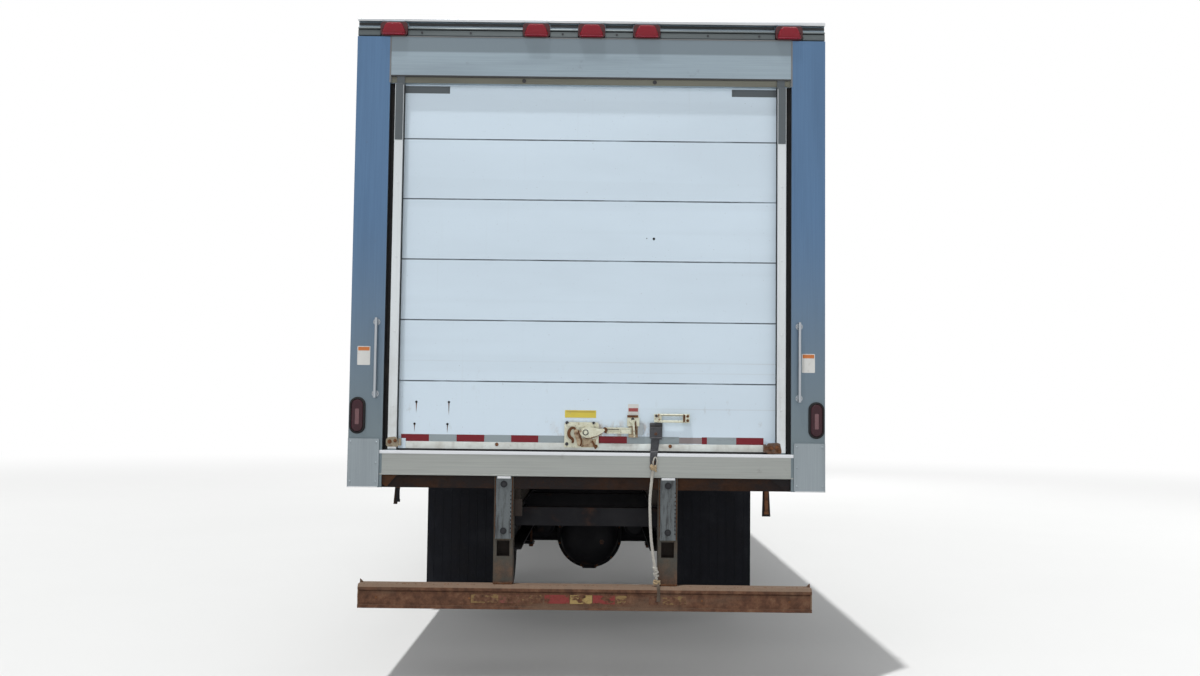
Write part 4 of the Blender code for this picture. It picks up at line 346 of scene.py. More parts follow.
def cast_black(name, colour, rust, dust):
    """Frame paint: black over cast and rolled steel, with rust blooms and caked dust."""
    shade = Shade(name, 0.6, Specular_IOR_Level=0.2)
    broad = shade.noise(4.5, 7, 0.6)
    grit = shade.noise(120, 4, 0.65)
    tone = shade.mix(shade.span(broad, 0.58, 0.76, 0, rust), colour, RUST)
    tone = shade.mix(shade.span(shade.noise(11, 6, 0.6), 0.50, 0.80, 0, dust), tone, tinted(DUST, 0.30))
    tone = shade.mix(shade.both(shade.facing("Z", 0.4, 0.95), dust * 1.2), tone, tinted(DUST, 0.40))
    shade.colour(tone)
    shade.gloss(shade.span(broad, 0.2, 0.8, 0.45, 0.85))
    shade.bumps((broad, 0.3, 0.003), (grit, 0.35, 0.0009))
    return shade.material


def lens(name, colour, flutes, roughness=0.12, dust=0.12):
    """Lamp plastic: glossy, with moulded flutes along x, and along z where a second pitch is given."""
    shade = Shade(name, roughness, Coat_Weight=0.15, Coat_Roughness=0.04, Specular_IOR_Level=0.25)
    ribs = shade.waves("X", (flutes[0], 1, 1))
    if len(flutes) > 1:
        ribs = shade.sum("ADD", ribs, shade.waves("Z", (1, 1, flutes[1])))
    tone = shade.mix(shade.span(ribs, 0.2, 0.9), tinted(colour, 0.72), tinted(colour, 1.2))
    tone = shade.mix(shade.span(shade.noise(60, 5), 0.60, 0.85, 0, dust), tone, tinted(DUST, 0.5))
    shade.colour(tone)
    shade.gloss(shade.span(shade.noise(30, 4), 0.3, 0.8, roughness, roughness * 2.4))
    shade.bumps((ribs, 0.35, 0.001))
    return shade.material


def tape(name, colour, wear, roughness=0.3):
    """Reflective tape: a lattice of small cells, scuffed and dirty."""
    shade = Shade(name, roughness, Specular_IOR_Level=0.3)
    lattice = shade.cells(330, randomness=0.0)
    scuffs = shade.noise(26, 7, 0.7, stretch=(0.35, 1, 1))
    tone = shade.mix(shade.span(lattice, 0.1, 0.6), tinted(colour, 1.12), tinted(colour, 0.82))
    tone = shade.mix(shade.span(scuffs, 0.55, 0.72, 0, wear), tone, GRIME)
    tone = shade.mix(shade.span(shade.noise(70, 4), 0.66, 0.76, 0, wear), tone, tinted(DUST, 0.8))
    shade.colour(tone)
    shade.gloss(shade.span(scuffs, 0.3, 0.8, roughness, 0.7))
    shade.bumps((lattice, 0.15, 0.0003))
    return shade.material


def woven(name, colour, pitch, letters="XZ", fuzz=0.35):
    """Woven webbing or cloth: two sets of threads at right angles."""
    shade = Shade(name, 0.88, Sheen_Weight=0.25, Sheen_Roughness=0.5)
    turns = math.tau / pitch / 20
    threads = [
        shade.waves(letter, tuple(turns if place == letter else 1 for place in "XYZ"))
        for letter in letters
    ]
    weave = shade.sum("MULTIPLY", threads[0], threads[-1])
    tone = shade.mix(shade.span(weave, 0.1, 0.8), tinted(colour, 0.62), tinted(colour, 1.35))
    tone = shade.mix(shade.span(shade.noise(30, 6, 0.65), 0.5, 0.8, 0, fuzz), tone, tinted(DUST, 0.6))
    shade.colour(tone)
    shade.bumps((weave, 0.6, 0.0007), (shade.noise(700, 2), 0.2, 0.0003))
    return shade.material


def pane(name, colour=(0.86, 0.92, 0.90), least=0.01):
    """Clear glass with a little dust on it."""
    shade = Shade(name, 0.02, Transmission_Weight=0.96, IOR=1.45)
    film = shade.span(shade.noise(5, 6, 0.6), 0.4, 0.8)
    shade.colour(shade.mix(film, colour, tinted(colour, 0.90)))
    shade.gloss(shade.span(shade.noise(16, 6), 0.35, 0.85, least, 0.04))
    return shade.material


def placed(name, data):
    """A new object in the scene."""
    made = bpy.data.objects.new(name, data)
    bpy.context.scene.collection.objects.link(made)
    return made


class Piece:
    """One visible piece, gathered from closed bodies, with a finish for each body."""

    def __init__(self, name, body="chassis", slot=None, smooth=32.0):
        self.name = name
        self.body = body
        self.slot = slot
        self.smooth = smooth
        self.mesh = bmesh.new()
        self.finishes = []

    def take(self, part, finish, turn=None, bevel=0.0, steps=1):
        """Adds a closed bmesh, bevelled and turned into place."""
        if bevel:
            sharp = [e for e in part.edges if len(e.link_faces) == 2 and e.calc_face_angle() > 0.6]
            bmesh.ops.bevel(
                part, geom=sharp, offset=bevel, segments=steps, profile=0.6,
                affect="EDGES", clamp_overlap=True,
            )
        if turn is not None:
            bmesh.ops.transform(part, matrix=turn, verts=part.verts)
        bmesh.ops.recalc_face_normals(part, faces=part.faces)
        if finish not in self.finishes:
            self.finishes.append(finish)
        index = self.finishes.index(finish)
        for face in part.faces:
            face.material_index = index
            face.smooth = True
        # A mesh of its own carries the part's points into the piece
        held = bpy.data.meshes.new("held")
        part.to_mesh(held)
        part.free()
        self.mesh.from_mesh(held)
        bpy.data.meshes.remove(held)
        return self

    def loft(self, rings, finish, turn=None, bevel=0.0, capped=True, steps=1):
        part = bmesh.new()
        loops = [[part.verts.new(point) for point in ring] for ring in rings]
        for lower, upper in zip(loops, loops[1:]):
            for index, corner in enumerate(lower):
                after = (index + 1) % len(lower)
                part.faces.new((corner, lower[after], upper[after], upper[index]))
        if capped:
            part.faces.new(list(reversed(loops[0])))
            part.faces.new(loops[-1])
        else:
            first, last = loops[0], loops[-1]
            for index, corner in enumerate(first):
                after = (index + 1) % len(first)
                part.faces.new((last[index], last[after], first[after], corner))
        return self.take(part, finish, turn, bevel, steps)

    def prism(self, outline, axis, low, high, finish, bevel=0.0, turn=None, steps=1):
        """An outline of the two other axes' points, pushed along one axis."""
        place = {
            "X": lambda along, u, v: (along, u, v),
            "Y": lambda along, u, v: (u, along, v),
            "Z": lambda along, u, v: (u, v, along),
        }[axis]
        rings = [[place(along, u, v) for u, v in outline] for along in (low, high)]
        return self.loft(rings, finish, turn, bevel, steps=steps)

    def block(self, low, high, finish, bevel, turn=None, steps=1):
        low, high = [min(a, b) for a, b in zip(low, high)], [max(a, b) for a, b in zip(low, high)]
        outline = [(low[0], low[1]), (high[0], low[1]), (high[0], high[1]), (low[0], high[1])]
        return self.prism(outline, "Z", low[2], high[2], finish, bevel, turn, steps)

    def rod(self, start, end, radius, finish, sides, end_radius=None, bevel=0.0):
        start, end = Vector(start), Vector(end)
        turn = (end - start).to_track_quat("Z", "Y")
        rings = []
        for centre, size in ((start, radius), (end, radius if end_radius is None else end_radius)):
            rings.append([
                centre + turn @ Vector((size * math.cos(math.tau * k / sides),
                                        size * math.sin(math.tau * k / sides), 0))
                for k in range(sides)
            ])
        return self.loft(rings, finish, None, bevel)

    def turned(self, outline, centre, finish, axis, steps, around=None):
        """A closed outline of (radius, along) points turned about an axis through centre."""
        part = bmesh.new()
        rings = []
        for k in range(steps):
            angle = math.tau * k / steps
            ring = []
            for index, (radius, along) in enumerate(outline):
                if around:
                    radius = around(index, k, radius)
                ring.append(part.verts.new((along, radius * math.cos(angle), radius * math.sin(angle))))
            rings.append(ring)
        for k, ring in enumerate(rings):
            other = rings[(k + 1) % steps]
            for index in range(len(ring)):
                after = (index + 1) % len(ring)
                part.faces.new((ring[index], ring[after], other[after], other[index]))
        bmesh.ops.remove_doubles(part, verts=part.verts, dist=1e-5)
        turn = Matrix.Translation(centre)
        if axis == "Y":
            turn = turn @ Matrix.Rotation(math.pi / 2, 4, "Z")
        if axis == "Z":
            turn = turn @ Matrix.Rotation(-math.pi / 2, 4, "Y")
        return self.take(part, finish, turn)

    def tube(self, points, radius, finish, sides, flat=1.0, taper=None):
        """A round or flattened bar along points."""
        points = [Vector(point) for point in points]
        rings = []
        frame_side = None
        for index, point in enumerate(points):
            ahead = points[min(index + 1, len(points) - 1)]
            behind = points[max(index - 1, 0)]
            along = (ahead - behind).normalized()
            if frame_side is None:
                frame_side = along.orthogonal().normalized()
                if abs(along.y) < 0.9:
                    frame_side = along.cross(Vector((0, 1, 0))).normalized()
            frame_side = (frame_side - along * frame_side.dot(along)).normalized()
            up = along.cross(frame_side)
            size = radius * (taper(index / (len(points) - 1)) if taper else 1.0)
            rings.append([
                point + frame_side * (size * math.cos(math.tau * k / sides))
                + up * (size * flat * math.sin(math.tau * k / sides))
                for k in range(sides)
            ])
        return self.loft(rings, finish)

    def bolt(self, centre, out, radius, height, finish, washer, sides=6):
        """A bolt head, with a washer under it, standing out along a direction."""
        centre, out = Vector(centre), Vector(out).normalized()
        if washer:
            self.rod(centre - out * 0.001, centre + out * height * 0.25, washer, finish, 14, bevel=0.0006)
        base = centre + out * (height * 0.25 if washer else -0.001)
        return self.rod(base, centre + out * height, radius, finish, sides, bevel=radius * 0.12)

    def ball(self, centre, radii, finish, steps):
        """An ellipsoid."""
        part = bmesh.new()
        bmesh.ops.create_uvsphere(part, u_segments=steps * 2, v_segments=steps, radius=1.0)
        return self.take(part, finish, Matrix.Translation(centre) @ Matrix.Diagonal((*radii, 1.0)))

    def mirrored(self, side):
        """The piece is built for the right side, and turned over for the left."""
        if side < 0:
            bmesh.ops.scale(self.mesh, vec=(-1, 1, 1), verts=self.mesh.verts)
            bmesh.ops.reverse_faces(self.mesh, faces=self.mesh.faces)
        return self

    def done(self, *nodes):
        """The finished object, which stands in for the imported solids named."""
        mesh = bpy.data.meshes.new(self.name)
        self.mesh.to_mesh(mesh)
        self.mesh.free()
        for finish in self.finishes:
            mesh.materials.append(finish)
        mesh.set_sharp_from_angle(angle=math.radians(self.smooth))
        made = placed(self.name, mesh)
        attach(made, self.body)
        if nodes:
            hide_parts(*nodes)
        return made


def softened(node, name, body, slot, finish, width, broad):
    """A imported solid's copy in its place, with shallow edges rounded broadly and corners finely."""
    piece = Piece(name, body, slot, smooth=40)
    part = bmesh.new()
    part.from_mesh(NODES[node].data)
    bmesh.ops.remove_doubles(part, verts=part.verts, dist=2e-5)
    bmesh.ops.dissolve_limit(part, angle_limit=0.02, verts=part.verts, edges=part.edges)
    for low, high, offset, steps in ((0.06, 0.80, broad, 5), (0.80, math.pi, width, 3)):
        edges = [e for e in part.edges if len(e.link_faces) == 2 and low < e.calc_face_angle() <= high]
        bmesh.ops.bevel(
            part, geom=edges, offset=offset, segments=steps, profile=0.5,
            affect="EDGES", clamp_overlap=True,
        )
    piece.take(part, finish)
    return piece.done(node)


def rounded(low, high, radius, steps):
    """The outline of a rectangle with round corners."""
    points = []
    corners = (
        (high[0] - radius, high[1] - radius, 0.0), (low[0] + radius, high[1] - radius, 0.25),
        (low[0] + radius, low[1] + radius, 0.5), (high[0] - radius, low[1] + radius, 0.75),
    )
    for u, v, start in corners:
        for step in range(steps + 1):
            angle = math.tau * (start + step / steps / 4)
            points.append((u + radius * math.cos(angle), v + radius * math.sin(angle)))
    return points


def at_x(x, outline):
    return [(x, u, v) for u, v in outline]


def at_y(y, outline):
    return [(u, y, v) for u, v in outline]


def bulged(at, middle, half, corner, base, depth, crown):
    """Rings of a low lens that bulges out of a rounded rectangle, laid out by at_x or at_y."""
    rings = []
    for k in range(5):
        turn = k / 4 * math.pi / 2
        inset = crown * (1 - math.cos(turn))
        low = (middle[0] - half[0] + inset, middle[1] - half[1] + inset)
        high = (middle[0] + half[0] - inset, middle[1] + half[1] - inset)
        rings.append(at(base + depth * math.sin(turn), rounded(low, high, corner - inset, 5)))
    return rings


def round_axle(x, y, z, radius, count, offset=0.0):
    """Evenly spaced places round an axle, each after its angle."""
    for k in range(count):
        angle = math.tau * (k + offset) / count
        yield angle, (x, y + radius * math.cos(angle), z + radius * math.sin(angle))


def cut_corners(corners, reach, steps):
    """A closed outline whose corners give way to short curves."""
    ring = []
    for index, corner in enumerate(corners):
        before = (corners[index - 1] - corner).normalized() * reach
        after = (corners[(index + 1) % len(corners)] - corner).normalized() * reach
        for step in range(steps + 1):
            t = step / steps
            ring.append(corner + before * (1 - t) ** 2 + after * t ** 2)
    return ring


def curved(knots, spacing=None, steps=None):
    """Points on a Catmull-Rom curve through the knots, at close to a spacing or by steps for each span."""
    knots = [2 * knots[0] - knots[1]] + knots + [2 * knots[-1] - knots[-2]]
    points = [knots[1]]
    for before, start, end, after in zip(knots, knots[1:], knots[2:], knots[3:]):
        count = steps or max(1, round((end - start).length / spacing))
        for step in range(1, count + 1):
            t = step / count
            points.append((
                2 * start + (end - before) * t
                + (2 * before - 5 * start + 4 * end - after) * t ** 2
                + (3 * start - before - 3 * end + after) * t ** 3
            ) / 2)
    return points


def spline(knots, spacing):
    return curved([Vector(point) for point in knots], spacing)


def dress(material, *names):
    """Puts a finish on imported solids."""
    for name in names:
        for place in NODES[name].material_slots:
            place.material = material


# The photo's camera: width and focal length in pixels, place in metres, tilt in degrees
PHOTO_WIDTH = 1200.0
PHOTO_FOCAL = 1165.8
SENSOR = 36.0
CAMERA_PLACE = (0.0663, REAR_Y - 6.3246, 1.537)
CAMERA_PITCH = 3.306
CAMERA_ROLL = 0.669


def set_camera():
    data = bpy.data.cameras.new("camera")
    data.sensor_width = SENSOR
    data.lens = SENSOR * PHOTO_FOCAL / PHOTO_WIDTH
    data.clip_end = 300.0
    camera = placed("camera", data)
    camera.location = CAMERA_PLACE
    pitch = Matrix.Rotation(math.radians(90 + CAMERA_PITCH), 4, "X")
    roll = Matrix.Rotation(math.radians(CAMERA_ROLL), 4, "Z")
    camera.rotation_euler = (pitch @ roll).to_euler()
    bpy.context.scene.camera = camera


# The stage: the floor's radius and colour, where it fades to white, and the world's light
FLOOR_RADIUS = 90.0
FLOOR_COLOUR = (0.72, 0.72, 0.71)
FADE_FROM, FADE_TO = 7.0, 26.0
WORLD_COLOUR = (0.93, 0.96, 1.0, 1.0)
WORLD_STRENGTH = 0.25
WHITE = (1.0, 1.0, 1.0, 1.0)


def seen_directly(tree):
    """1 for rays from the camera, in reflections and through glass, 0 for the light on surfaces."""
    path = tree.nodes.new("ShaderNodeLightPath")
    largest = path.outputs["Is Camera Ray"]
    for label in ("Is Glossy Ray", "Is Transmission Ray"):
        chosen = tree.nodes.new("ShaderNodeMath")
        chosen.operation = "MAXIMUM"
        tree.links.new(largest, chosen.inputs[0])
        tree.links.new(path.outputs[label], chosen.inputs[1])
        largest = chosen.outputs[0]
    return largest


def blended(tree, factor, first, second):
    """The output of a shader that goes from the first to the second node's."""
    blend = tree.nodes.new("ShaderNodeMixShader")
    tree.links.new(factor, blend.inputs[0])
    tree.links.new(first.outputs[0], blend.inputs[1])
    tree.links.new(second.outputs[0], blend.inputs[2])
    return blend.outputs[0]


def lit(node, colour, strength):
    node.inputs["Color"].default_value = colour
    node.inputs["Strength"].default_value = strength
    return node


def set_stage():
    """A pale floor that fades to white far out, and a white background."""
    shade = Shade("stage_floor", 0.9)
    shade.colour(shade.mix(shade.noise(0.8, 6), tinted(FLOOR_COLOUR, 0.97), FLOOR_COLOUR))
    far = shade.node("ShaderNodeVectorMath", operation="LENGTH")
    shade.feed(far.inputs[0], shade.place)
    fade = shade.span(far.outputs["Value"], FADE_FROM, FADE_TO)
    tree = shade.tree
    factor = shade.both(fade, seen_directly(tree))
    glow = lit(shade.node("ShaderNodeEmission"), WHITE, 1.0)
    output = next(n for n in tree.nodes if n.type == "OUTPUT_MATERIAL")
    tree.links.new(blended(tree, factor, shade.shader, glow), output.inputs["Surface"])
    mesh = bpy.data.meshes.new("stage_floor")
    disc = bmesh.new()
    bmesh.ops.create_circle(disc, cap_ends=True, segments=96, radius=FLOOR_RADIUS)
    disc.to_mesh(mesh)
    disc.free()
    mesh.materials.append(shade.material)
    floor = placed("stage_floor", mesh)

    world = bpy.data.worlds.new("studio")
    bpy.context.scene.world = world
    world.use_nodes = True
    tree = world.node_tree
    base = lit(tree.nodes["Background"], WORLD_COLOUR, WORLD_STRENGTH)
    white = lit(tree.nodes.new("ShaderNodeBackground"), WHITE, 1.0)
    output = tree.nodes["World Output"]
    tree.links.new(blended(tree, seen_directly(tree), base, white), output.inputs["Surface"])


# Lamps: name, power in watts, width, height, place, what it points at
LAMPS = (
    ("rear_left", 480, 9, 6, (-7.5, -15.0, 9.5), (0, -4, 1.4)),
    ("rear_right", 260, 9, 6, (9.5, -12.0, 6.0), (0, -3, 1.4)),
    ("left_side", 300, 12, 5, (-13.0, 1.0, 8.0), (0, 0, 1.4)),
    ("right_side", 430, 12, 5, (13.0, 1.0, 8.0), (0, 0, 1.4)),
    ("front", 380, 8, 5, (3.0, 15.0, 7.0), (0, 3, 1.4)),
)
# The high sun: the way its light travels, its strength and its angle in radians
SUN_TRAVEL = (0.17, 0.19, -1.0)
SUN_STRENGTH = 2.4
SUN_ANGLE = 0.02


def set_lamps():
    for name, power, width, height, place, target in LAMPS:
        data = bpy.data.lights.new(name, "AREA")
        data.shape = "RECTANGLE"
        data.energy = power
        data.size = width
        data.size_y = height
        lamp = placed(name, data)
        lamp.location = place
        lamp.rotation_euler = (Vector(target) - Vector(place)).to_track_quat("-Z", "Y").to_euler()
        lamp.visible_glossy = False
    data = bpy.data.lights.new("sun", "SUN")
    data.energy = SUN_STRENGTH
    data.angle = SUN_ANGLE
    placed("sun", data).rotation_euler = Vector(SUN_TRAVEL).to_track_quat("-Z", "Y").to_euler()


# The rope's route as x, y, z from the strap's middle, the rear end and the guard's top
STRAP_X = 0.380
ROPE_RADIUS = 0.008
ROPE_ROUTE = (
    (-0.018, 0.0215, 0.6522),
    (-0.018, 0.0213, 0.632),
    (-0.024, 0.0195, 0.580),
    (-0.033, 0.016, 0.470),
    (-0.032, 0.014, 0.380),
    (-0.027, 0.016, 0.280),
    (-0.016, 0.018, 0.180),
    (-0.001, 0.022, 0.090),
    (0.006, 0.030, 0.040),
    (0.009, 0.034, 0.0085),
)


def make_rope(finish):
    """The rope is a tube whose skin shows the lay of its three strands."""
    foot = Vector((STRAP_X, REAR_Y, GUARD_TOP))
    path = spline([Vector(point) + foot for point in ROPE_ROUTE], 0.018)
    fine = spline(path, 0.006)
    sides = 15
    rings = []
    side = Vector((1, 0, 0))
    length = 0.0
    for index, point in enumerate(fine):
        along = (fine[min(index + 1, len(fine) - 1)] - fine[max(index - 1, 0)]).normalized()
        side = (side - along * side.dot(along)).normalized()
        up = along.cross(side)
        if index:
            length += (point - fine[index - 1]).length
        ring = []
        for k in range(sides):
            angle = math.tau * k / sides
            # Three strands that wind round the rope, 95 radians a metre
            size = ROPE_RADIUS * (0.88 + 0.12 * abs(math.cos(1.5 * (angle + length * 95))))
            ring.append(point + side * (size * math.cos(angle)) + up * (size * math.sin(angle)))
        rings.append(ring)
    rope = Piece("pull_rope_laid", slot="grey_rope", smooth=50).loft(rings, finish).done("pull_rope")
    total = sum((b - a).length for a, b in zip(path, path[1:]))
    return rope, path, total


def studs(piece, places, out, radius, height, finish, sides):
    """Low domed heads, such as rivets, at many places."""
    out = Vector(out).normalized()
    side = out.orthogonal().normalized()
    up = out.cross(side)
    part = bmesh.new()
    profile = ((1.0, -0.10), (1.0, 0.25), (0.72, 0.78), (0.28, 1.0))
    for place in places:
        loops = []
        for share, rise in profile:
            loops.append([
                part.verts.new(
                    Vector(place) + out * (height * rise)
                    + side * (radius * share * math.cos(math.tau * k / sides))
                    + up * (radius * share * math.sin(math.tau * k / sides))
                )
                for k in range(sides)
            ])
        for lower, upper in zip(loops, loops[1:]):
            for k in range(sides):
                after = (k + 1) % sides
                part.faces.new((lower[k], lower[after], upper[after], upper[k]))
        part.faces.new(list(reversed(loops[0])))
        part.faces.new(loops[-1])
    return piece.take(part, finish)


def dome(piece, low, high, corner, base, depth, finish, crown, steps, taper=0.0):
    """A lens that bulges towards -Y from an outline of x and z, narrower at its top by a share."""
    middle = (low[0] + high[0]) / 2
    reach = crown * min(high[0] - low[0], high[1] - low[1]) / 2
    rings = []
    for k in range(steps + 1):
        turn = k / steps * math.pi / 2
        inset = reach * (1 - math.cos(turn))
        outline = rounded(
            (low[0] + inset, low[1] + inset), (high[0] - inset, high[1] - inset),
            max(corner - inset, 0.004), 5,
        )
        y = base - depth * math.sin(turn)
        ring = []
        for u, v in outline:
            narrowed = 1 - taper * ((v - low[1]) / (high[1] - low[1])) ** 1.2
            ring.append((middle + (u - middle) * narrowed, y, v))
        rings.append(ring)
    return piece.loft(rings, finish)


MARKERS = (-1.094, -0.306, 0.0, 0.306, 1.094)
MARKER_HALF = 0.075
MARKER_LOW = RAIL_BOTTOM + 0.002
MARKER_HIGH = RAIL_BOTTOM + 0.082


def between_markers():
    edges = [-BODY_HALF + 0.002]
    for x in MARKERS:
        edges += [x - MARKER_HALF - 0.002, x + MARKER_HALF + 0.002]
    edges.append(BODY_HALF - 0.002)
    return list(zip(edges[0::2], edges[1::2]))


def make_header(looks):
    dress(looks["header"], "rear_header")
    y = POST_FACE
    trim = Piece("header_trim", slot="stainless")
    # The cap along the roof's edge is coloured light: a painted highlight
    trim.prism([
        (y + 0.008, ROOF - 0.0185), (y - 0.0020, ROOF - 0.0190), (y - 0.0045, ROOF - 0.0165),
        (y - 0.0050, ROOF - 0.0050), (y - 0.0020, ROOF - 0.0010), (y + 0.008, ROOF - 0.0006),
    ], "X", -BODY_HALF + 0.001, BODY_HALF - 0.001, looks["bright_edge"])
    for low, high in between_markers():
        trim.prism([
            (y + 0.031, RAIL_BOTTOM + 0.042), (y + 0.001, RAIL_BOTTOM + 0.043),
            (y - 0.001, RAIL_BOTTOM + 0.047), (y + 0.001, RAIL_BOTTOM + 0.051),
            (y + 0.031, RAIL_BOTTOM + 0.052),
        ], "X", low, high, looks["rail_light"])
        trim.prism([
            (y + 0.031, RAIL_BOTTOM + 0.006), (y + 0.006, RAIL_BOTTOM + 0.006),
            (y + 0.003, RAIL_BOTTOM + 0.010), (y + 0.003, RAIL_BOTTOM + 0.035),
            (y + 0.006, RAIL_BOTTOM + 0.039), (y + 0.031, RAIL_BOTTOM + 0.039),
        ], "X", low, high, looks["rail_light"])
        trim.prism([
            (y + 0.031, ROOF - 0.034), (y + 0.022, ROOF - 0.034),
            (y + 0.022, ROOF - 0.022), (y + 0.031, ROOF - 0.022),
        ], "X", low, high, looks["rail"])
    for x in (-0.94, -0.67, -0.16, 0.14, 0.645, 0.93):
        trim.bolt((x, y + 0.003, RAIL_BOTTOM + 0.024), BACK, 0.0060, 0.0035, looks["dark_steel"], 0, 12)
    for x in (-POST_INNER, POST_INNER):
        trim.block((x - 0.004, y - 0.0015, DOORWAY_TOP + 0.002), (x + 0.004, y + 0.001, RAIL_BOTTOM - 0.001),
                   looks["sealant"], 0.001)
    trim.block((-POST_INNER, y - 0.0015, RAIL_BOTTOM - 0.003), (POST_INNER, y + 0.001, RAIL_BOTTOM + 0.003),
               looks["sealant"], 0.001)
    lip = DOORWAY_TOP + 0.04
    trim.block((-POST_INNER + 0.004, y - 0.0012, lip - 0.004), (POST_INNER - 0.004, y + 0.009, lip + 0.004),
               looks["rail"], 0.001)
    trim.block((-POST_INNER + 0.006, y + 0.0068, DOORWAY_TOP + 0.001),
               (POST_INNER - 0.006, y + 0.009, lip - 0.0045),
               looks["lip"], 0.0008)
    for x in (-0.37, 0.353):
        trim.bolt((x, y + 0.008, DOORWAY_TOP + 0.020), BACK, 0.008, 0.006, looks["dark_steel"], 0.0115, 12)
    for side in (-1, 1):
        trim.block((side * 1.072, y + 0.001, DOORWAY_TOP - 0.010),
                   (side * 1.030, y + 0.010, DOORWAY_TOP + 0.036),
                   looks["grey_tape"], 0.0015)
    trim.done()
    for number, x in enumerate(MARKERS):
        lamp = Piece(f"marker_lamp_{number}", slot="red_lens", smooth=50)
        base = rounded((x - MARKER_HALF, MARKER_LOW), (x + MARKER_HALF, MARKER_HIGH), 0.022, 5)
        lamp.prism(base, "Y", y - 0.0085, y + 0.012, looks["housing"], 0.0015)
        dome(lamp, (x - MARKER_HALF + 0.005, MARKER_LOW + 0.005),
             (x + MARKER_HALF - 0.005, MARKER_HIGH - 0.005),
             0.022, y - 0.008, 0.0185, looks["marker"], 0.42, 6, 0.38)
        # A lighter pink strip along the lens's lower lip: a painted highlight
        lamp.block((x - 0.061, y - 0.0235, MARKER_LOW + 0.0075), (x + 0.061, y - 0.0085, MARKER_LOW + 0.0100),
                   looks["marker_rim"], 0.0008)
        for side in (-1, 1):
            lamp.bolt((x + side * 0.066, y - 0.0085, MARKER_LOW + 0.040), BACK, 0.004, 0.0035,
                      looks["housing"], 0, 10)
        lamp.done()


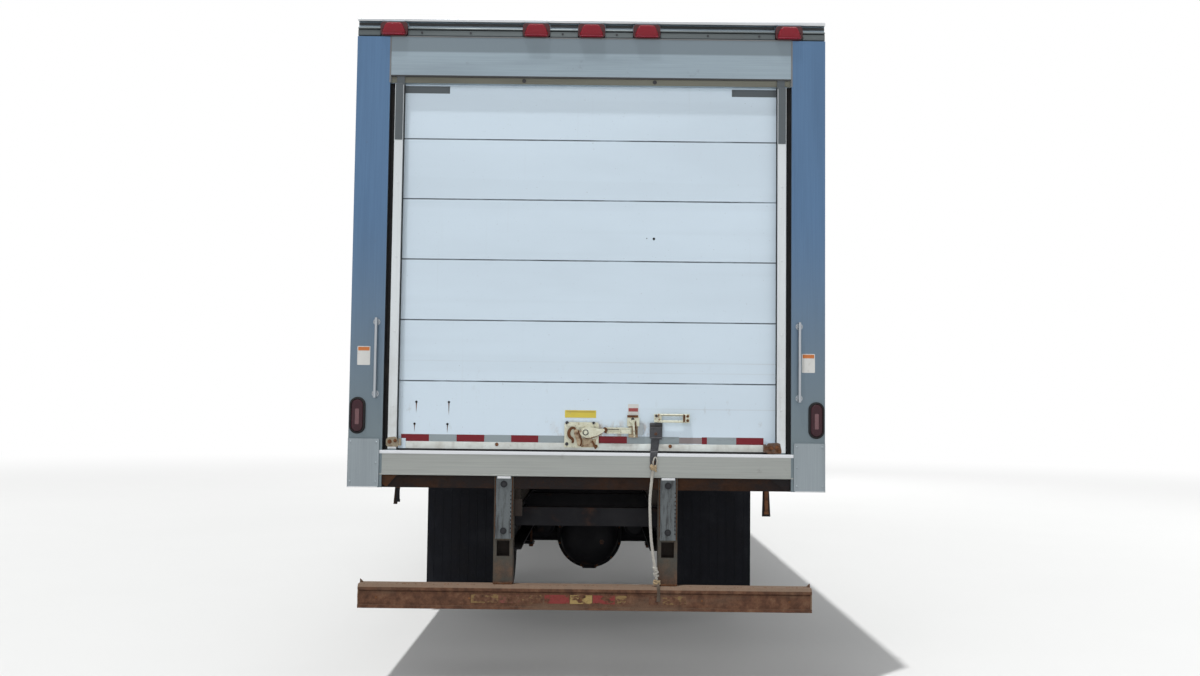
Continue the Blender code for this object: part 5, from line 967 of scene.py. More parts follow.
def make_posts(looks):
    dress(looks["post"], "rear_post_left", "rear_post_right")
    dress(looks["bar"], "grab_bar_left", "grab_bar_right")
    y = POST_FACE
    for name, side in SIDES:
        liner = Piece(f"door_seal_{name}", slot="black_plastic")
        low, high = DECK + 0.004, DOORWAY_TOP - 0.003
        liner.prism([
            (SLOT_INNER + 0.0010, y + 0.0282), (SLOT_INNER + 0.0010, y + 0.016),
            (SLOT_INNER + 0.006, y + 0.013), (SLOT_INNER + 0.010, y + 0.020), (POST_INNER - 0.010, y + 0.020),
            (POST_INNER - 0.006, y + 0.010), (POST_INNER - 0.0010, y + 0.012),
            (POST_INNER - 0.0010, y + 0.0282),
        ], "Z", low, high, looks["seal"])
        liner.prism([
            (JAMB_INNER - 0.0035, DOOR_FACE + 0.001), (JAMB_INNER - 0.0035, DOOR_FACE - 0.006),
            (JAMB_INNER - 0.001, DOOR_FACE - 0.010), (JAMB_INNER + 0.0005, DOOR_FACE - 0.006),
            (JAMB_INNER + 0.0005, DOOR_FACE + 0.001),
        ], "Z", low, high, looks["seal"])
        liner.mirrored(side).done()
        jamb = Piece(f"jamb_cover_{name}", slot="white_paint")
        jamb.prism([
            (JAMB_INNER, JAMB_FACE + 0.010), (JAMB_INNER, JAMB_FACE - 0.001),
            (JAMB_INNER + 0.002, JAMB_FACE - 0.003), (SLOT_INNER - 0.002, JAMB_FACE - 0.003),
            (SLOT_INNER + 0.001, JAMB_FACE - 0.001), (SLOT_INNER + 0.001, JAMB_FACE + 0.012),
            (SLOT_INNER, JAMB_FACE + 0.012), (SLOT_INNER, JAMB_FACE), (JAMB_INNER + 0.001, JAMB_FACE),
            (JAMB_INNER + 0.001, JAMB_FACE + 0.010),
        ], "Z", low + 0.006, high, looks["jamb"])
        studs(jamb, [((JAMB_INNER + SLOT_INNER) / 2, JAMB_FACE - 0.003, z) for z in (1.52, 1.93, 2.34, 2.75)],
              BACK, 0.006, 0.0022, looks["jamb"], 10)
        strip_x = JAMB_INNER + 0.024
        jamb.block((strip_x - 0.021, JAMB_FACE - 0.0042, DOORWAY_TOP - 0.318),
                   (strip_x + 0.021, JAMB_FACE - 0.0025, DOORWAY_TOP - 0.004),
                   looks["grey_tape"], 0.0005)
        jamb.mirrored(side).done()
        plate = Piece(f"corner_plate_{name}", slot="stainless")
        outer, inner = BODY_HALF, BODY_HALF - CORNER_WIDTH
        low_z, high_z = SILL_BOTTOM - 0.07, SILL_BOTTOM + 0.193
        plate.prism([
            (inner, low_z + 0.012), (inner + 0.006, low_z), (outer - 0.003, low_z),
            (outer - 0.001, high_z - 0.004), (outer - 0.006, high_z), (inner + 0.004, high_z),
            (inner, high_z - 0.006),
        ], "Y", y - 0.0092, y - 0.0055, looks["corner"], 0.0012)
        places = [(x, y - 0.0092, z) for x in (inner + 0.016, outer - 0.016)
                  for z in (low_z + 0.030, high_z - 0.020)]
        places.append((inner + 0.016, y - 0.0092, (low_z + high_z) / 2))
        studs(plate, places, BACK, 0.0065, 0.003, looks["corner"], 10)
        # A light strip along the plate's lower edge: a painted highlight
        plate.block((inner + 0.004, y - 0.0105, low_z + 0.001), (outer - 0.003, y - 0.0085, low_z + 0.005),
                    looks["bright_edge"], 0.0006)
        plate.mirrored(side).done()
        feet = Piece(f"grab_bar_feet_{name}", slot="stainless")
        x = BODY_HALF - 0.142
        for z in (1.587, 1.978):
            feet.rod((x, y - 0.0035, z), (x, y - 0.0002, z), 0.019, looks["bar"], 20, bevel=0.001)
            feet.rod((x, y - 0.009, z), (x, y - 0.0030, z), 0.0125, looks["bar"], 16, 0.015)
            for lean in (-1, 1):
                feet.bolt((x + lean * 0.013, y - 0.0034, z), BACK, 0.0028, 0.0022, looks["dark_steel"], 0, 8)
        feet.mirrored(side).done()
        lamp = Piece(f"tail_lamp_lit_{name}", slot="red_lens", smooth=50)
        x, z = BODY_HALF - 0.0475, 1.468
        grommet = rounded((x - 0.0435, z - 0.100), (x + 0.0435, z + 0.100), 0.0430, 8)
        inner_ring = rounded((x - 0.0335, z - 0.090), (x + 0.0335, z + 0.090), 0.0330, 8)
        narrowed = [(x + (u - x) * 0.965, z + (v - z) * 0.985) for u, v in grommet]
        lamp.loft([
            at_y(y + 0.001, grommet), at_y(y - 0.0050, grommet), at_y(y - 0.0105, narrowed),
            at_y(y - 0.0125, inner_ring), at_y(y - 0.0080, inner_ring),
        ], looks["grommet"])
        dome(lamp, (x - 0.0325, z - 0.089), (x + 0.0325, z + 0.089), 0.0315, y - 0.0075, 0.0062,
             looks["tail_lens"], 0.55, 5)
        dome(lamp, (x - 0.0125, z - 0.050), (x + 0.0125, z + 0.038), 0.0060, y - 0.0122, 0.0016,
             looks["tail_core"], 0.20, 3)
        lamp.mirrored(side).done(f"tail_lamp_{name}")
    for name, low, high in (
        ("left", (-1.256, 1.742), (-1.186, 1.845)), ("right", (1.169, 1.727), (1.240, 1.830)),
    ):
        label = Piece(f"post_label_{name}", slot="white_paint")
        label.prism(rounded(low, high, 0.004, 3), "Y", y - 0.0008, y + 0.0002, looks["label"])
        label.prism(rounded((low[0] + 0.004, high[1] - 0.024), (high[0] - 0.004, high[1] - 0.004), 0.002, 2),
                    "Y", y - 0.0012, y - 0.0006, looks["orange"])
        label.done()


# The door's reflective tape: its height, its red lengths, and the silver length that has peeled
TAPE_LOW, TAPE_HIGH = 1.3310, 1.3690
TAPE_RED = ((-1.014, -0.861), (-0.711, -0.559), (-0.413, -0.264), (0.065, 0.220), (0.816, 0.966))
TAPE_PEELED = (0.220, 0.816)
# The seams between the door's panels, from the lowest up
LOWEST_SEAM = 1.6603
PANEL_HEIGHT = 0.335
DOOR_SEAMS = tuple(LOWEST_SEAM + PANEL_HEIGHT * k for k in range(5))


def make_door(looks):
    dress(looks["door"], "roll_door")
    y = DOOR_FACE
    half = JAMB_INNER - 0.004
    tapes = Piece("door_tape", slot="red_lens")
    edges = [-half + 0.010]
    for low, high in TAPE_RED:
        edges += [low, high]
    edges.append(half - 0.060)

    def strip(low, high, finish):
        tapes.block((low, y - 0.0008, TAPE_LOW), (high, y + 0.0002, TAPE_HIGH), looks[finish], 0.0002)

    for index, (low, high) in enumerate(zip(edges, edges[1:])):
        if (low, high) == TAPE_PEELED:
            strip(0.2205, 0.505, "silver_tape")
            tapes.block((0.505, y - 0.0007, 1.3330), (0.628, y + 0.0002, 1.3660), looks["peeled_tape"],
                        0.0002)
            strip(0.6285, 0.657, "red_tape")
            strip(0.6575, 0.8155, "silver_tape")
        elif high - low > 0.01:
            strip(low + 0.0003, high - 0.0003, "red_tape" if index % 2 else "silver_tape")
    tapes.done()

    rail = Piece("door_bottom_rail", slot="aluminium")
    rail.prism([
        (y + 0.002, 1.2915), (y - 0.0062, 1.2915), (y - 0.0072, 1.2950), (y - 0.0072, 1.3240),
        (y - 0.0058, 1.3285), (y - 0.0012, 1.3300), (y + 0.002, 1.3300),
    ], "X", -half, half, looks["rail_white"])
    rail.prism([
        (y + 0.002, DECK + 0.0012), (y - 0.0050, DECK + 0.0012), (y - 0.0085, DECK + 0.0040),
        (y - 0.0065, 1.2920), (y + 0.002, 1.2920),
    ], "X", -half, half, looks["seal"])
    for x in (-0.49, 0.456):
        rail.bolt((x, y - 0.0072, 1.318), BACK, 0.007, 0.005, looks["rusty_bolt"], 0.010, 12)
    rail.done()

    strips = Piece("door_corner_tape", slot="aluminium")
    for side in (-1, 1):
        strips.block((side * 0.783, y - 0.0010, 3.256), (side * 1.029, y + 0.0002, 3.296), looks["grey_tape"],
                     0.0003)
    strips.done()

    foot = Piece("door_foot_brackets", slot="rusty_steel")
    face = POST_FACE + 0.0005
    for low, high, low_z, high_z, inner, tab, finish in (
        (-1.090, -1.022, 1.300, 1.355, -1.022, -1.022 + 0.012, looks["foot_cream"]),
        (0.975, 1.060, 1.285, 1.345, 0.975, 0.975 - 0.012, looks["foot_rust"]),
    ):
        foot.prism([
            (low, low_z + 0.008), (low + 0.010, low_z), (high - 0.004, low_z), (high, low_z + 0.010),
            (high - 0.008, high_z - 0.006), (high - 0.022, high_z), (low + 0.012, high_z - 0.004),
            (low, high_z - 0.016),
        ], "Y", face, face + 0.0042, finish, 0.001)
        x, z = (low + high) / 2, (low_z + high_z) / 2
        foot.bolt((x - 0.014, face, z), BACK, 0.008, 0.008, looks["rusty_bolt"], 0.012)
        foot.bolt((x + 0.016, face, z + 0.006), BACK, 0.006, 0.006, looks["rusty_bolt"], 0.010)
        foot.block((inner, face + 0.001, low_z + 0.006), (tab, DOOR_FACE + 0.001, high_z - 0.010), finish,
                   0.001)
    foot.done()

    # Holes are dark discs of painted shade, some with rust streaks running down from them
    marks = Piece("door_marks", slot="black_plastic")
    for x, z, drop, wide in (
        (-0.934, 1.545, 0.060, 0.0032), (-0.756, 1.545, 0.070, 0.0032),
        (-0.942, 1.425, 0.045, 0.0026), (-0.762, 1.425, 0.050, 0.0026),
    ):
        marks.rod((x, y - 0.0014, z), (x, y + 0.001, z), 0.0065, looks["hole"], 14)
        marks.prism([
            (x - wide, z), (x + wide, z), (x + wide * 0.5, z - drop * 0.6), (x, z - drop),
            (x - wide * 0.5, z - drop * 0.6),
        ], "Y", y - 0.0006, y + 0.001, looks["streak"])
    marks.rod((0.357, y - 0.0010, 2.457), (0.357, y + 0.001, 2.457), 0.0070, looks["hole"], 14)
    marks.rod((0.318, y - 0.0012, 2.459), (0.318, y + 0.001, 2.459), 0.0030, looks["hole"], 10)
    marks.done()

    # Each label is a plain patch with a darker band on it
    labels = Piece("door_labels", slot="white_paint")
    for patch, band, finish, band_finish in (
        (((-0.121, 1.468), (0.050, 1.509)), ((-0.115, 1.497), (0.044, 1.505)), "yellow_label", "ochre"),
        (((0.224, 1.483), (0.282, 1.546)), ((0.227, 1.505), (0.279, 1.524)), "label", "faded_red"),
    ):
        labels.prism(rounded(*patch, 0.003, 2), "Y", y - 0.0008, y + 0.0002, looks[finish])
        labels.prism(rounded(*band, 0.001, 2), "Y", y - 0.0012, y - 0.0006, looks[band_finish])
    labels.done()


def make_sills(looks):
    dress(looks["sill"], "rear_sill")
    dress(looks["lower_sill"], "rear_lower_sill")
    y = POST_FACE
    nose = Piece("sill_nose", slot="stainless")
    inner = BODY_HALF - CORNER_WIDTH - 0.0012
    # The nose's upper edge is coloured light: a painted highlight along the sill
    nose.prism([
        (y + 0.030, DECK - 0.0003), (y + 0.030, DECK + 0.0014), (y - 0.0008, DECK + 0.0014),
        (y - 0.0026, DECK - 0.002), (y - 0.0026, DECK - 0.016), (y - 0.0002, DECK - 0.017),
        (y - 0.0002, DECK - 0.0003),
    ], "X", -inner, inner, looks["sill_edge"])
    nose.prism([
        (y + 0.004, SILL_BOTTOM - 0.0016), (y - 0.0016, SILL_BOTTOM - 0.0010),
        (y - 0.0022, SILL_BOTTOM + 0.005), (y - 0.0004, SILL_BOTTOM + 0.006), (y + 0.0001, SILL_BOTTOM),
        (y + 0.004, SILL_BOTTOM - 0.0002),
    ], "X", -inner, inner, looks["sill"])
    nose.done()
    under = Piece("sill_gussets", slot="rusty_steel")
    for outline in (
        [(-1.110, 1.147), (-1.110, 1.100), (-1.085, 1.083), (-1.030, 1.147)],
        [(1.110, 1.147), (1.110, 1.098), (1.085, 1.083), (1.000, 1.147)],
    ):
        under.prism(outline, "Y", y + 0.012, y + 0.020, looks["frame_rust"], 0.001)
    for x, low_z, high_z, finish in ((-1.030, 0.985, 1.100, "frame"), (0.987, 0.940, 1.090, "rust")):
        top = (x, y + 0.073, high_z)
        under.bolt((x + 0.001, y + 0.0695, high_z - 0.018), BACK, 0.009, 0.007, looks["rusty_bolt"], 0.013)
        under.rod((x - 0.012, y + 0.066, low_z + 0.020), (x + 0.012, y + 0.066, low_z + 0.020), 0.008,
                  looks[finish], 10)
        under.tube([top, (x, y + 0.066, (low_z + high_z) / 2), (x + 0.002, y + 0.064, low_z + 0.016)], 0.010,
                   looks[finish], 8, 0.5)
    under.done()


def make_latch(looks):
    """The door's slide latch: a back plate, a cam with its hook, a channel bar and a keeper."""
    y = DOOR_FACE - 0.0046
    cream, rust, dark = looks["cream"], looks["rust"], looks["dark_steel"]
    latch = Piece("slide_latch", slot="white_paint", smooth=40)
    latch.prism([
        (-0.122, 1.306), (0.065, 1.306), (0.065, 1.436), (0.058, 1.444), (-0.108, 1.444), (-0.122, 1.436),
    ], "Y", y - 0.0050, y, cream, 0.0012)
    latch.prism([(-0.030, 1.309), (0.046, 1.309), (0.052, 1.352), (-0.030, 1.357)], "Y", y - 0.0062,
                y - 0.004,
                looks["bare_rust"], 0.0008)
    latch.prism([(-0.108, 1.436), (0.044, 1.440), (0.052, 1.420), (-0.060, 1.418), (-0.105, 1.425)], "Y",
                y - 0.0085, y - 0.004, cream, 0.0010)
    latch.prism([
        (-0.0392, 1.390), (-0.034, 1.404), (-0.0245, 1.4135), (0.0008, 1.422), (0.033, 1.4175),
        (0.063, 1.4095), (0.0940, 1.4105), (0.1000, 1.4010), (0.0860, 1.388), (0.058, 1.372), (0.026, 1.3605),
        (-0.006, 1.3600), (-0.0280, 1.371), (-0.037, 1.380),
    ], "Y", y - 0.0195, y - 0.0095, cream, 0.0022, steps=2)
    latch.prism([
        (-0.034, 1.377), (-0.006, 1.3560), (0.027, 1.3560), (0.060, 1.3690), (0.088, 1.3860), (0.080, 1.392),
        (0.0, 1.366), (-0.020, 1.377),
    ], "Y", y - 0.0150, y - 0.0070, rust, 0.0012)
    centre = (-0.0060, 1.3895)
    latch.rod((centre[0], y - 0.0190, centre[1]), (centre[0], y - 0.0245, centre[1]), 0.0190, cream, 24,
              0.0165)
    latch.turned([
        (0.0165, 0.0), (0.0165, -0.0022), (0.0140, -0.0030), (0.0120, -0.0022), (0.0120, 0.0),
    ], (centre[0], y - 0.0240, centre[1]), dark, "Y", 28)
    latch.bolt((centre[0], y - 0.0240, centre[1]), BACK, 0.0088, 0.0050, cream, 0, 6)
    hook = [
        (-0.061, 1.405), (-0.074, 1.413), (-0.0860, 1.4090), (-0.0950, 1.3960), (-0.0985, 1.3810),
        (-0.0920, 1.3640), (-0.0800, 1.3540), (-0.0740, 1.3440), (-0.0770, 1.3300),
    ]
    latch.tube(spline([(u, y - 0.0120, v) for u, v in hook], 0.004), 0.0068, rust, 8, 0.55,
               lambda t: 0.75 + 0.5 * math.sin(t * 3.0))
    latch.prism([
        (-0.0700, 1.4020), (-0.0560, 1.4060), (-0.0450, 1.3960), (-0.0350, 1.3680), (-0.0290, 1.3220),
        (-0.0380, 1.3120), (-0.0500, 1.3180), (-0.0560, 1.3480), (-0.0680, 1.3780),
    ], "Y", y - 0.0135, y - 0.0060, looks["bare_rust"], 0.0016)
    latch.tube(spline([(-0.046, y - 0.015, 1.400), (-0.036, y - 0.017, 1.372), (-0.028, y - 0.016, 1.338),
                       (-0.034, y - 0.012, 1.316)], 0.005),
               0.0042, rust, 8)
    latch.rod((0.030, y - 0.0080, 1.344), (0.050, y - 0.0080, 1.300), 0.0048, rust, 10)
    for u, v, finish in (
        (-0.1078, 1.4400, dark), (0.0370, 1.4380, dark), (-0.1080, 1.3250, dark),
        (-0.0360, 1.3220, rust), (0.0510, 1.3140, rust), (-0.1070, 1.3800, cream),
    ):
        latch.bolt((u, y - 0.0050, v), BACK, 0.0062, 0.0055, finish, 0.0095)
    # The channel bar with its slot, and the link that the cam pushes
    bar_low, bar_high = 1.3845, 1.4175
    latch.block((0.104, y - 0.0100, bar_low), (0.2440, y - 0.0020, bar_high), cream, 0.0018)
    for low, high in ((bar_low, bar_low + 0.007), (bar_high - 0.007, bar_high)):
        latch.block((0.106, y - 0.0160, low), (0.2430, y - 0.0090, high), cream, 0.0014)
    latch.block((0.108, y - 0.0118, 1.4060), (0.176, y - 0.0090, 1.4095), dark, 0.0005)
    latch.block((0.186, y - 0.0150, 1.3900), (0.2380, y - 0.0090, 1.4090), cream, 0.0022)
    latch.prism([(0.088, 1.414), (0.098, 1.419), (0.112, 1.412), (0.108, 1.384), (0.096, 1.388),
                 (0.090, 1.398)],
                "Y", y - 0.0180, y - 0.0020, rust, 0.0015)
    latch.bolt((0.104, y - 0.0160, 1.4010), BACK, 0.0062, 0.0050, rust, 0.009)
    # The keeper, its pin and the lever that hangs from it
    latch.prism([(0.2198, 1.425), (0.2865, 1.425), (0.2865, 1.4720), (0.2790, 1.4855), (0.2270, 1.4855),
                 (0.2198, 1.4760)],
                "Y", y - 0.0105, y, cream, 0.0014)
    latch.block((0.2200, y - 0.0125, 1.4725), (0.2790, y - 0.0060, 1.4855), rust, 0.0012)
    latch.prism([(0.2280, 1.3640), (0.2780, 1.3640), (0.2780, 1.4260), (0.2280, 1.4260)], "Y", y - 0.0070, y,
                looks["bare_rust"], 0.0010)
    latch.block((0.2790, y - 0.0080, 1.3790), (0.3080, y, 1.4410), looks["galvanised"], 0.0012)
    latch.rod((0.2500, y - 0.0110, 1.4530), (0.2500, y - 0.0190, 1.4530), 0.0170, cream, 20, 0.0135)
    latch.bolt((0.2500, y - 0.0180, 1.4640), BACK, 0.0058, 0.0050, dark, 0.0085)
    latch.tube(spline([
        (0.2520, y - 0.0215, 1.4600), (0.2545, y - 0.0225, 1.4300), (0.2580, y - 0.0215, 1.3980),
        (0.2605, y - 0.0190, 1.3680),
    ], 0.006), 0.0062, cream, 10, 0.7, lambda t: 1.0 - 0.25 * t)
    latch.tube(spline([
        (0.2640, y - 0.0150, 1.4560), (0.2680, y - 0.0160, 1.4200), (0.2690, y - 0.0130, 1.3800),
    ], 0.006), 0.0034, rust, 8)
    latch.done("door_latch")

    grip = Piece("lift_grip", slot="white_paint", smooth=40)
    face = DOOR_FACE
    low, high = 1.4480, 1.4940
    # Two end plates, two bars between them, a plate on the upper bar and four bolts
    grip.block((0.3670, face - 0.0240, low + 0.001), (0.4080, face + 0.0002, high - 0.001), cream, 0.0035,
               steps=2)
    grip.block((0.5220, face - 0.0240, low - 0.001), (0.5600, face + 0.0002, high + 0.001), cream, 0.0030,
               steps=2)
    for proud, end_z, middle_z in ((0.0200, high - 0.0060, high - 0.0055),
                                   (0.0190, low + 0.0060, low + 0.0055)):
        bar = [
            (0.384, face - proud, end_z), (0.44, face - proud - 0.0025, middle_z),
            (0.50, face - proud - 0.0025, middle_z), (0.545, face - proud, end_z),
        ]
        grip.tube(spline(bar, 0.01), 0.0068, cream, 12, 0.85)
    grip.block((0.402, face - 0.0285, high - 0.0095), (0.526, face - 0.0265, high - 0.0075), dark, 0.0006)
    grip.prism([(0.5240, low + 0.001), (0.5340, low + 0.004), (0.5360, high - 0.004), (0.5250, high)], "Y",
               face - 0.0275,
               face - 0.0230, rust, 0.0010)
    for x, z, size, height, finish, washer in (
        (0.3790, high - 0.0110, 0.0055, 0.0040, dark, 0.008),
        (0.3960, low + 0.0130, 0.0050, 0.0035, cream, 0.0075),
        (0.5490, high - 0.0110, 0.0055, 0.0040, rust, 0.008),
        (0.5490, low + 0.0110, 0.0055, 0.0040, rust, 0.008),
    ):
        grip.bolt((x, face - 0.0240, z), BACK, size, height, finish, washer)
    grip.done("lift_handle")


def ribbon(piece, rows, thickness, finish, ripple):
    """A strip through rows of (y, z, middle x, half width)."""
    rings = []
    for index, (y, z, x, half) in enumerate(rows):
        ahead = rows[min(index + 1, len(rows) - 1)]
        behind = rows[max(index - 1, 0)]
        along = Vector((ahead[2] - behind[2], ahead[0] - behind[0], ahead[1] - behind[1])).normalized()
        across = Vector((1, 0, 0))
        out = along.cross(across).normalized()
        across = out.cross(along).normalized()
        centre = Vector((x, y, z))
        ring = []
        for face in (1, -1):
            for step in range(9):
                u = face * (1 - step / 4)
                wave = ripple * math.sin(u * 3.4 + index * 0.9)
                rise = wave + face * (thickness / 2 * (1 - 0.5 * abs(u) ** 6))
                ring.append(centre + across * (half * u) + out * rise)
        rings.append(ring)
    return piece.loft(rings, finish)


def smooth_rows(rows, steps):
    """More rows between the given ones, on a smooth curve."""
    return [tuple(row) for row in curved([Vector(row) for row in rows], steps=steps)]


def ring_of(piece, centre, radii, tilt, radius, finish):
    """One wrap of rope round a knot: an ellipse of x and y, tilted about x and y."""
    turn = Matrix.Rotation(tilt[0], 3, "X") @ Matrix.Rotation(tilt[1], 3, "Y")
    steps = 28
    points = []
    for k in range(steps + 1):
        angle = math.tau * k / steps
        local = Vector((radii[0] * math.cos(angle), radii[1] * math.sin(angle), 0.0))
        points.append(Vector(centre) + turn @ local)
    return piece.tube(points, radius, finish, 8)


def make_strap(looks):
    webbing = looks["webbing"]
    y, front = DOOR_FACE, POST_FACE
    strap = Piece("pull_strap_webbing", slot="black_webbing", smooth=60)
    ribbon(strap, smooth_rows([
        (y - 0.0135, 1.4440, 0.3775, 0.0330), (y - 0.0140, 1.4400, 0.3775, 0.0340),
        (y - 0.0130, 1.4150, 0.3775, 0.0345), (y - 0.0125, 1.3850, 0.3775, 0.0345),
        (y - 0.0120, 1.3640, 0.3770, 0.0342), (y - 0.0118, 1.3565, 0.3765, 0.0310),
    ], 3), 0.0085, webbing, 0.0006)
    ribbon(strap, smooth_rows([
        (y - 0.0085, 1.3600, 0.3760, 0.0230), (y - 0.0090, 1.3300, 0.3725, 0.0222),
        (y - 0.0095, 1.3020, 0.3700, 0.0212), (y - 0.0125, 1.2905, 0.3690, 0.0210),
        (y - 0.0200, 1.2872, 0.3682, 0.0208), (front - 0.0035, 1.2868, 0.3665, 0.0205),
        (front - 0.0080, 1.2835, 0.3658, 0.0203), (front - 0.0092, 1.2740, 0.3650, 0.0198),
        (front - 0.0088, 1.2550, 0.3635, 0.0185), (front - 0.0078, 1.2350, 0.3622, 0.0170),
        (front - 0.0070, 1.2195, 0.3616, 0.0160),
    ], 4), 0.0050, webbing, 0.0007)
    strap.block((0.3440, y - 0.0190, 1.4230), (0.4110, y - 0.0170, 1.4340), looks["worn_webbing"], 0.0008)
    for z in (1.4200, 1.4175, 1.3660, 1.3635):
        strap.tube([(0.3460 + 0.0045 * k, y - 0.0178 + 0.0006 * (k % 2), z) for k in range(15)], 0.0008,
                   looks["thread"], 5)
    strap.turned([(0.0075, 0.0), (0.0075, -0.0020), (0.0055, -0.0028), (0.0040, -0.0015), (0.0040, 0.0)],
                 (0.3770, y - 0.0165, 1.3850), looks["rust"], "Y", 20)
    # A dark disc of painted shade in the grommet's hole
    strap.rod((0.3770, y - 0.0150, 1.3850), (0.3770, y - 0.0172, 1.3850), 0.0042, looks["hole"], 12)
    strap.turned([(0.0085, 0.0), (0.0085, -0.0016), (0.0062, -0.0022), (0.0048, -0.0012), (0.0048, 0.0)],
                 (0.3640, front - 0.0108, 1.2330), looks["rust"], "Y", 20)
    strap.done("pull_strap")


def make_rope_pieces(looks):
    rope, path, total = make_rope(looks["rope"])
    front = POST_FACE
    upper = Piece("rope_knot_upper", slot="grey_rope", smooth=60)
    centre = (path[0].x + 0.001, front - 0.0150, 1.2040)
    upper.tube(spline([
        (0.3620, front - 0.0140, 1.2160), (0.3625, front - 0.0170, 1.2380), (0.3690, front - 0.0180, 1.2580),
        (0.3760, front - 0.0175, 1.2600), (0.3830, front - 0.0165, 1.2430), (0.3820, front - 0.0150, 1.2180),
    ], 0.005), 0.0036, looks["rope"], 8)
    for tilt, radii, radius in (
        ((0.25, 0.35), (0.0150, 0.0100), 0.0064), ((-0.55, 0.20), (0.0140, 0.0105), 0.0062),
        ((0.10, -0.60), (0.0155, 0.0090), 0.0060), ((1.10, 0.30), (0.0120, 0.0120), 0.0056),
    ):
        ring_of(upper, centre, radii, tilt, radius, looks["knot"])
    upper.tube(spline([
        (0.3500, front - 0.0160, 1.2200), (0.3580, front - 0.0210, 1.2060), (0.3700, front - 0.0205, 1.1930),
        (0.3790, front - 0.0150, 1.1830),
    ], 0.004), 0.0058, looks["knot"], 8)
    upper = upper.done()
    lower = Piece("rope_knot_lower", slot="grey_rope", smooth=60)
    end = path[-1]
    for lift, tilt, radii, radius in (
        (0.092, (0.15, 0.25), (0.0090, 0.0085), 0.0058), (0.080, (-0.25, 0.30), (0.0095, 0.0085), 0.0060),
        (0.066, (0.10, -0.30), (0.0100, 0.0090), 0.0060), (0.052, (-0.20, 0.25), (0.0105, 0.0090), 0.0062),
        (0.010, (0.30, 0.20), (0.0150, 0.0110), 0.0066), (0.018, (-0.35, 0.30), (0.0140, 0.0110), 0.0064),
        (0.013, (0.20, -0.50), (0.0165, 0.0100), 0.0060),
    ):
        here = min(path, key=lambda p: abs(p.z - (end.z + lift)))
        ring_of(lower, (here.x, here.y, end.z + lift), radii, tilt, radius,
                looks["rope"] if lift > 0.03 else looks["knot"])
    lower.tube(spline([
        (end.x, end.y - 0.006, end.z + 0.010), (end.x + 0.004, REAR_Y + 0.012, end.z + 0.001),
        (end.x + 0.006, REAR_Y - 0.0005, end.z - 0.010), (end.x + 0.008, REAR_Y + 0.0010, end.z - 0.045),
        (end.x + 0.006, REAR_Y + 0.0015, end.z - 0.085),
    ], 0.006), 0.0080, looks["dirty_rope"], 10, 0.45, lambda t: 1.0 + 0.15 * t)
    lower = lower.done()


def make_guard(looks):
    dress(looks["guard"], "underride_guard")
    y, top, half = REAR_Y, GUARD_TOP, GUARD_HALF
    beam = Piece("guard_details", slot="rusty_steel", smooth=40)
    for low, high, finish in (
        (-0.610, -0.465, "faint_patch"), (-0.455, -0.350, "faint_red_patch"), (-0.335, -0.225, "faint_patch"),
        (-0.215, -0.082, "red_patch"), (-0.078, 0.040, "yellow_patch"), (0.044, 0.162, "red_patch"),
        (0.168, 0.225, "faint_patch"), (0.345, 0.395, "faint_red_patch"), (0.420, 0.545, "faint_patch"),
    ):
        beam.block((low, y + 0.0030, top - 0.093), (high, y + 0.0042, top - 0.047), looks[finish], 0.0003)
    for x in (-1.12, -0.62, -0.02, 0.63, 1.10):
        beam.bolt((x, y + 0.004, top - 0.070), BACK, 0.0065, 0.0035, looks["rusty_bolt"], 0, 8)
    random.seed(11)
    # Scale and weld spatter along the upper ledge
    places = [(random.uniform(-half + 0.03, half - 0.03), y + random.uniform(0.018, 0.045), top)
              for _ in range(60)]
    studs(beam, places, (0, 0, 1), 0.0045, 0.0016, looks["rust"], 6)
    face = POST_FACE + 0.02
    for _, side in SIDES:
        x = side * (FRAME_HALF + 0.011)
        # The head of the upright, which laps over the lower sill
        beam.block((x - 0.0525, face - 0.0022, 1.0790), (x + 0.0525, face - 0.0004, 1.1465), looks["guard"],
                   0.0006)
        beam.block((x - 0.0425, face - 0.0078, 1.0660), (x + 0.0425, face - 0.0014, 1.1465), looks["guard"],
                   0.0010)
        for z in (1.104, 0.852):
            beam.bolt((x, face - 0.008, z), BACK, 0.0115, 0.010, looks["upright_bolt"], 0.0185)
        # Weld beads where it meets the beam and along its plate
        points = [
            (x + along, face - proud, top + rise)
            for along, proud, rise in (
                (-0.052, 0.001, 0.002), (-0.025, 0.004, 0.004), (0.0, 0.003, 0.003), (0.025, 0.004, 0.004),
                (0.052, 0.001, 0.002),
            )
        ]
        beam.tube(spline(points, 0.006), 0.0065, looks["weld"], 7, 0.8,
                  lambda t: 0.85 + 0.2 * math.sin(t * 60))
        for edge in (-1, 1):
            points = [(x + edge * 0.0455, face - 0.004, z) for z in (0.815, 0.89, 0.97, 1.05, 1.14)]
            beam.tube(spline(points, 0.008), 0.0028, looks["weld"], 6, 1.0,
                      lambda t: 0.8 + 0.35 * math.sin(t * 90))
        # A light strip along the plate's top: a painted highlight
        beam.block((x - 0.036, face - 0.0115, 1.1345), (x + 0.036, face - 0.0070, 1.1470),
                   looks["bright_edge"], 0.0012)
        # A row of short dark marks beside the plate's edge: painted shade in small notches
        for k in range(11):
            z = 0.84 + 0.022 * k
            beam.block((x + 0.036, face - 0.0088, z), (x + 0.041, face - 0.0078, z + 0.009), looks["hole"],
                       0.0002)
    for side in (-1, 1):
        beam.tube([(side * (half - 0.004), y + 0.004, top - 0.118),
                   (side * (half - 0.003), y + 0.003, top - 0.060),
                   (side * (half - 0.004), y + 0.004, top - 0.020)], 0.0036, looks["bright_rust"], 6)
    beam.done()


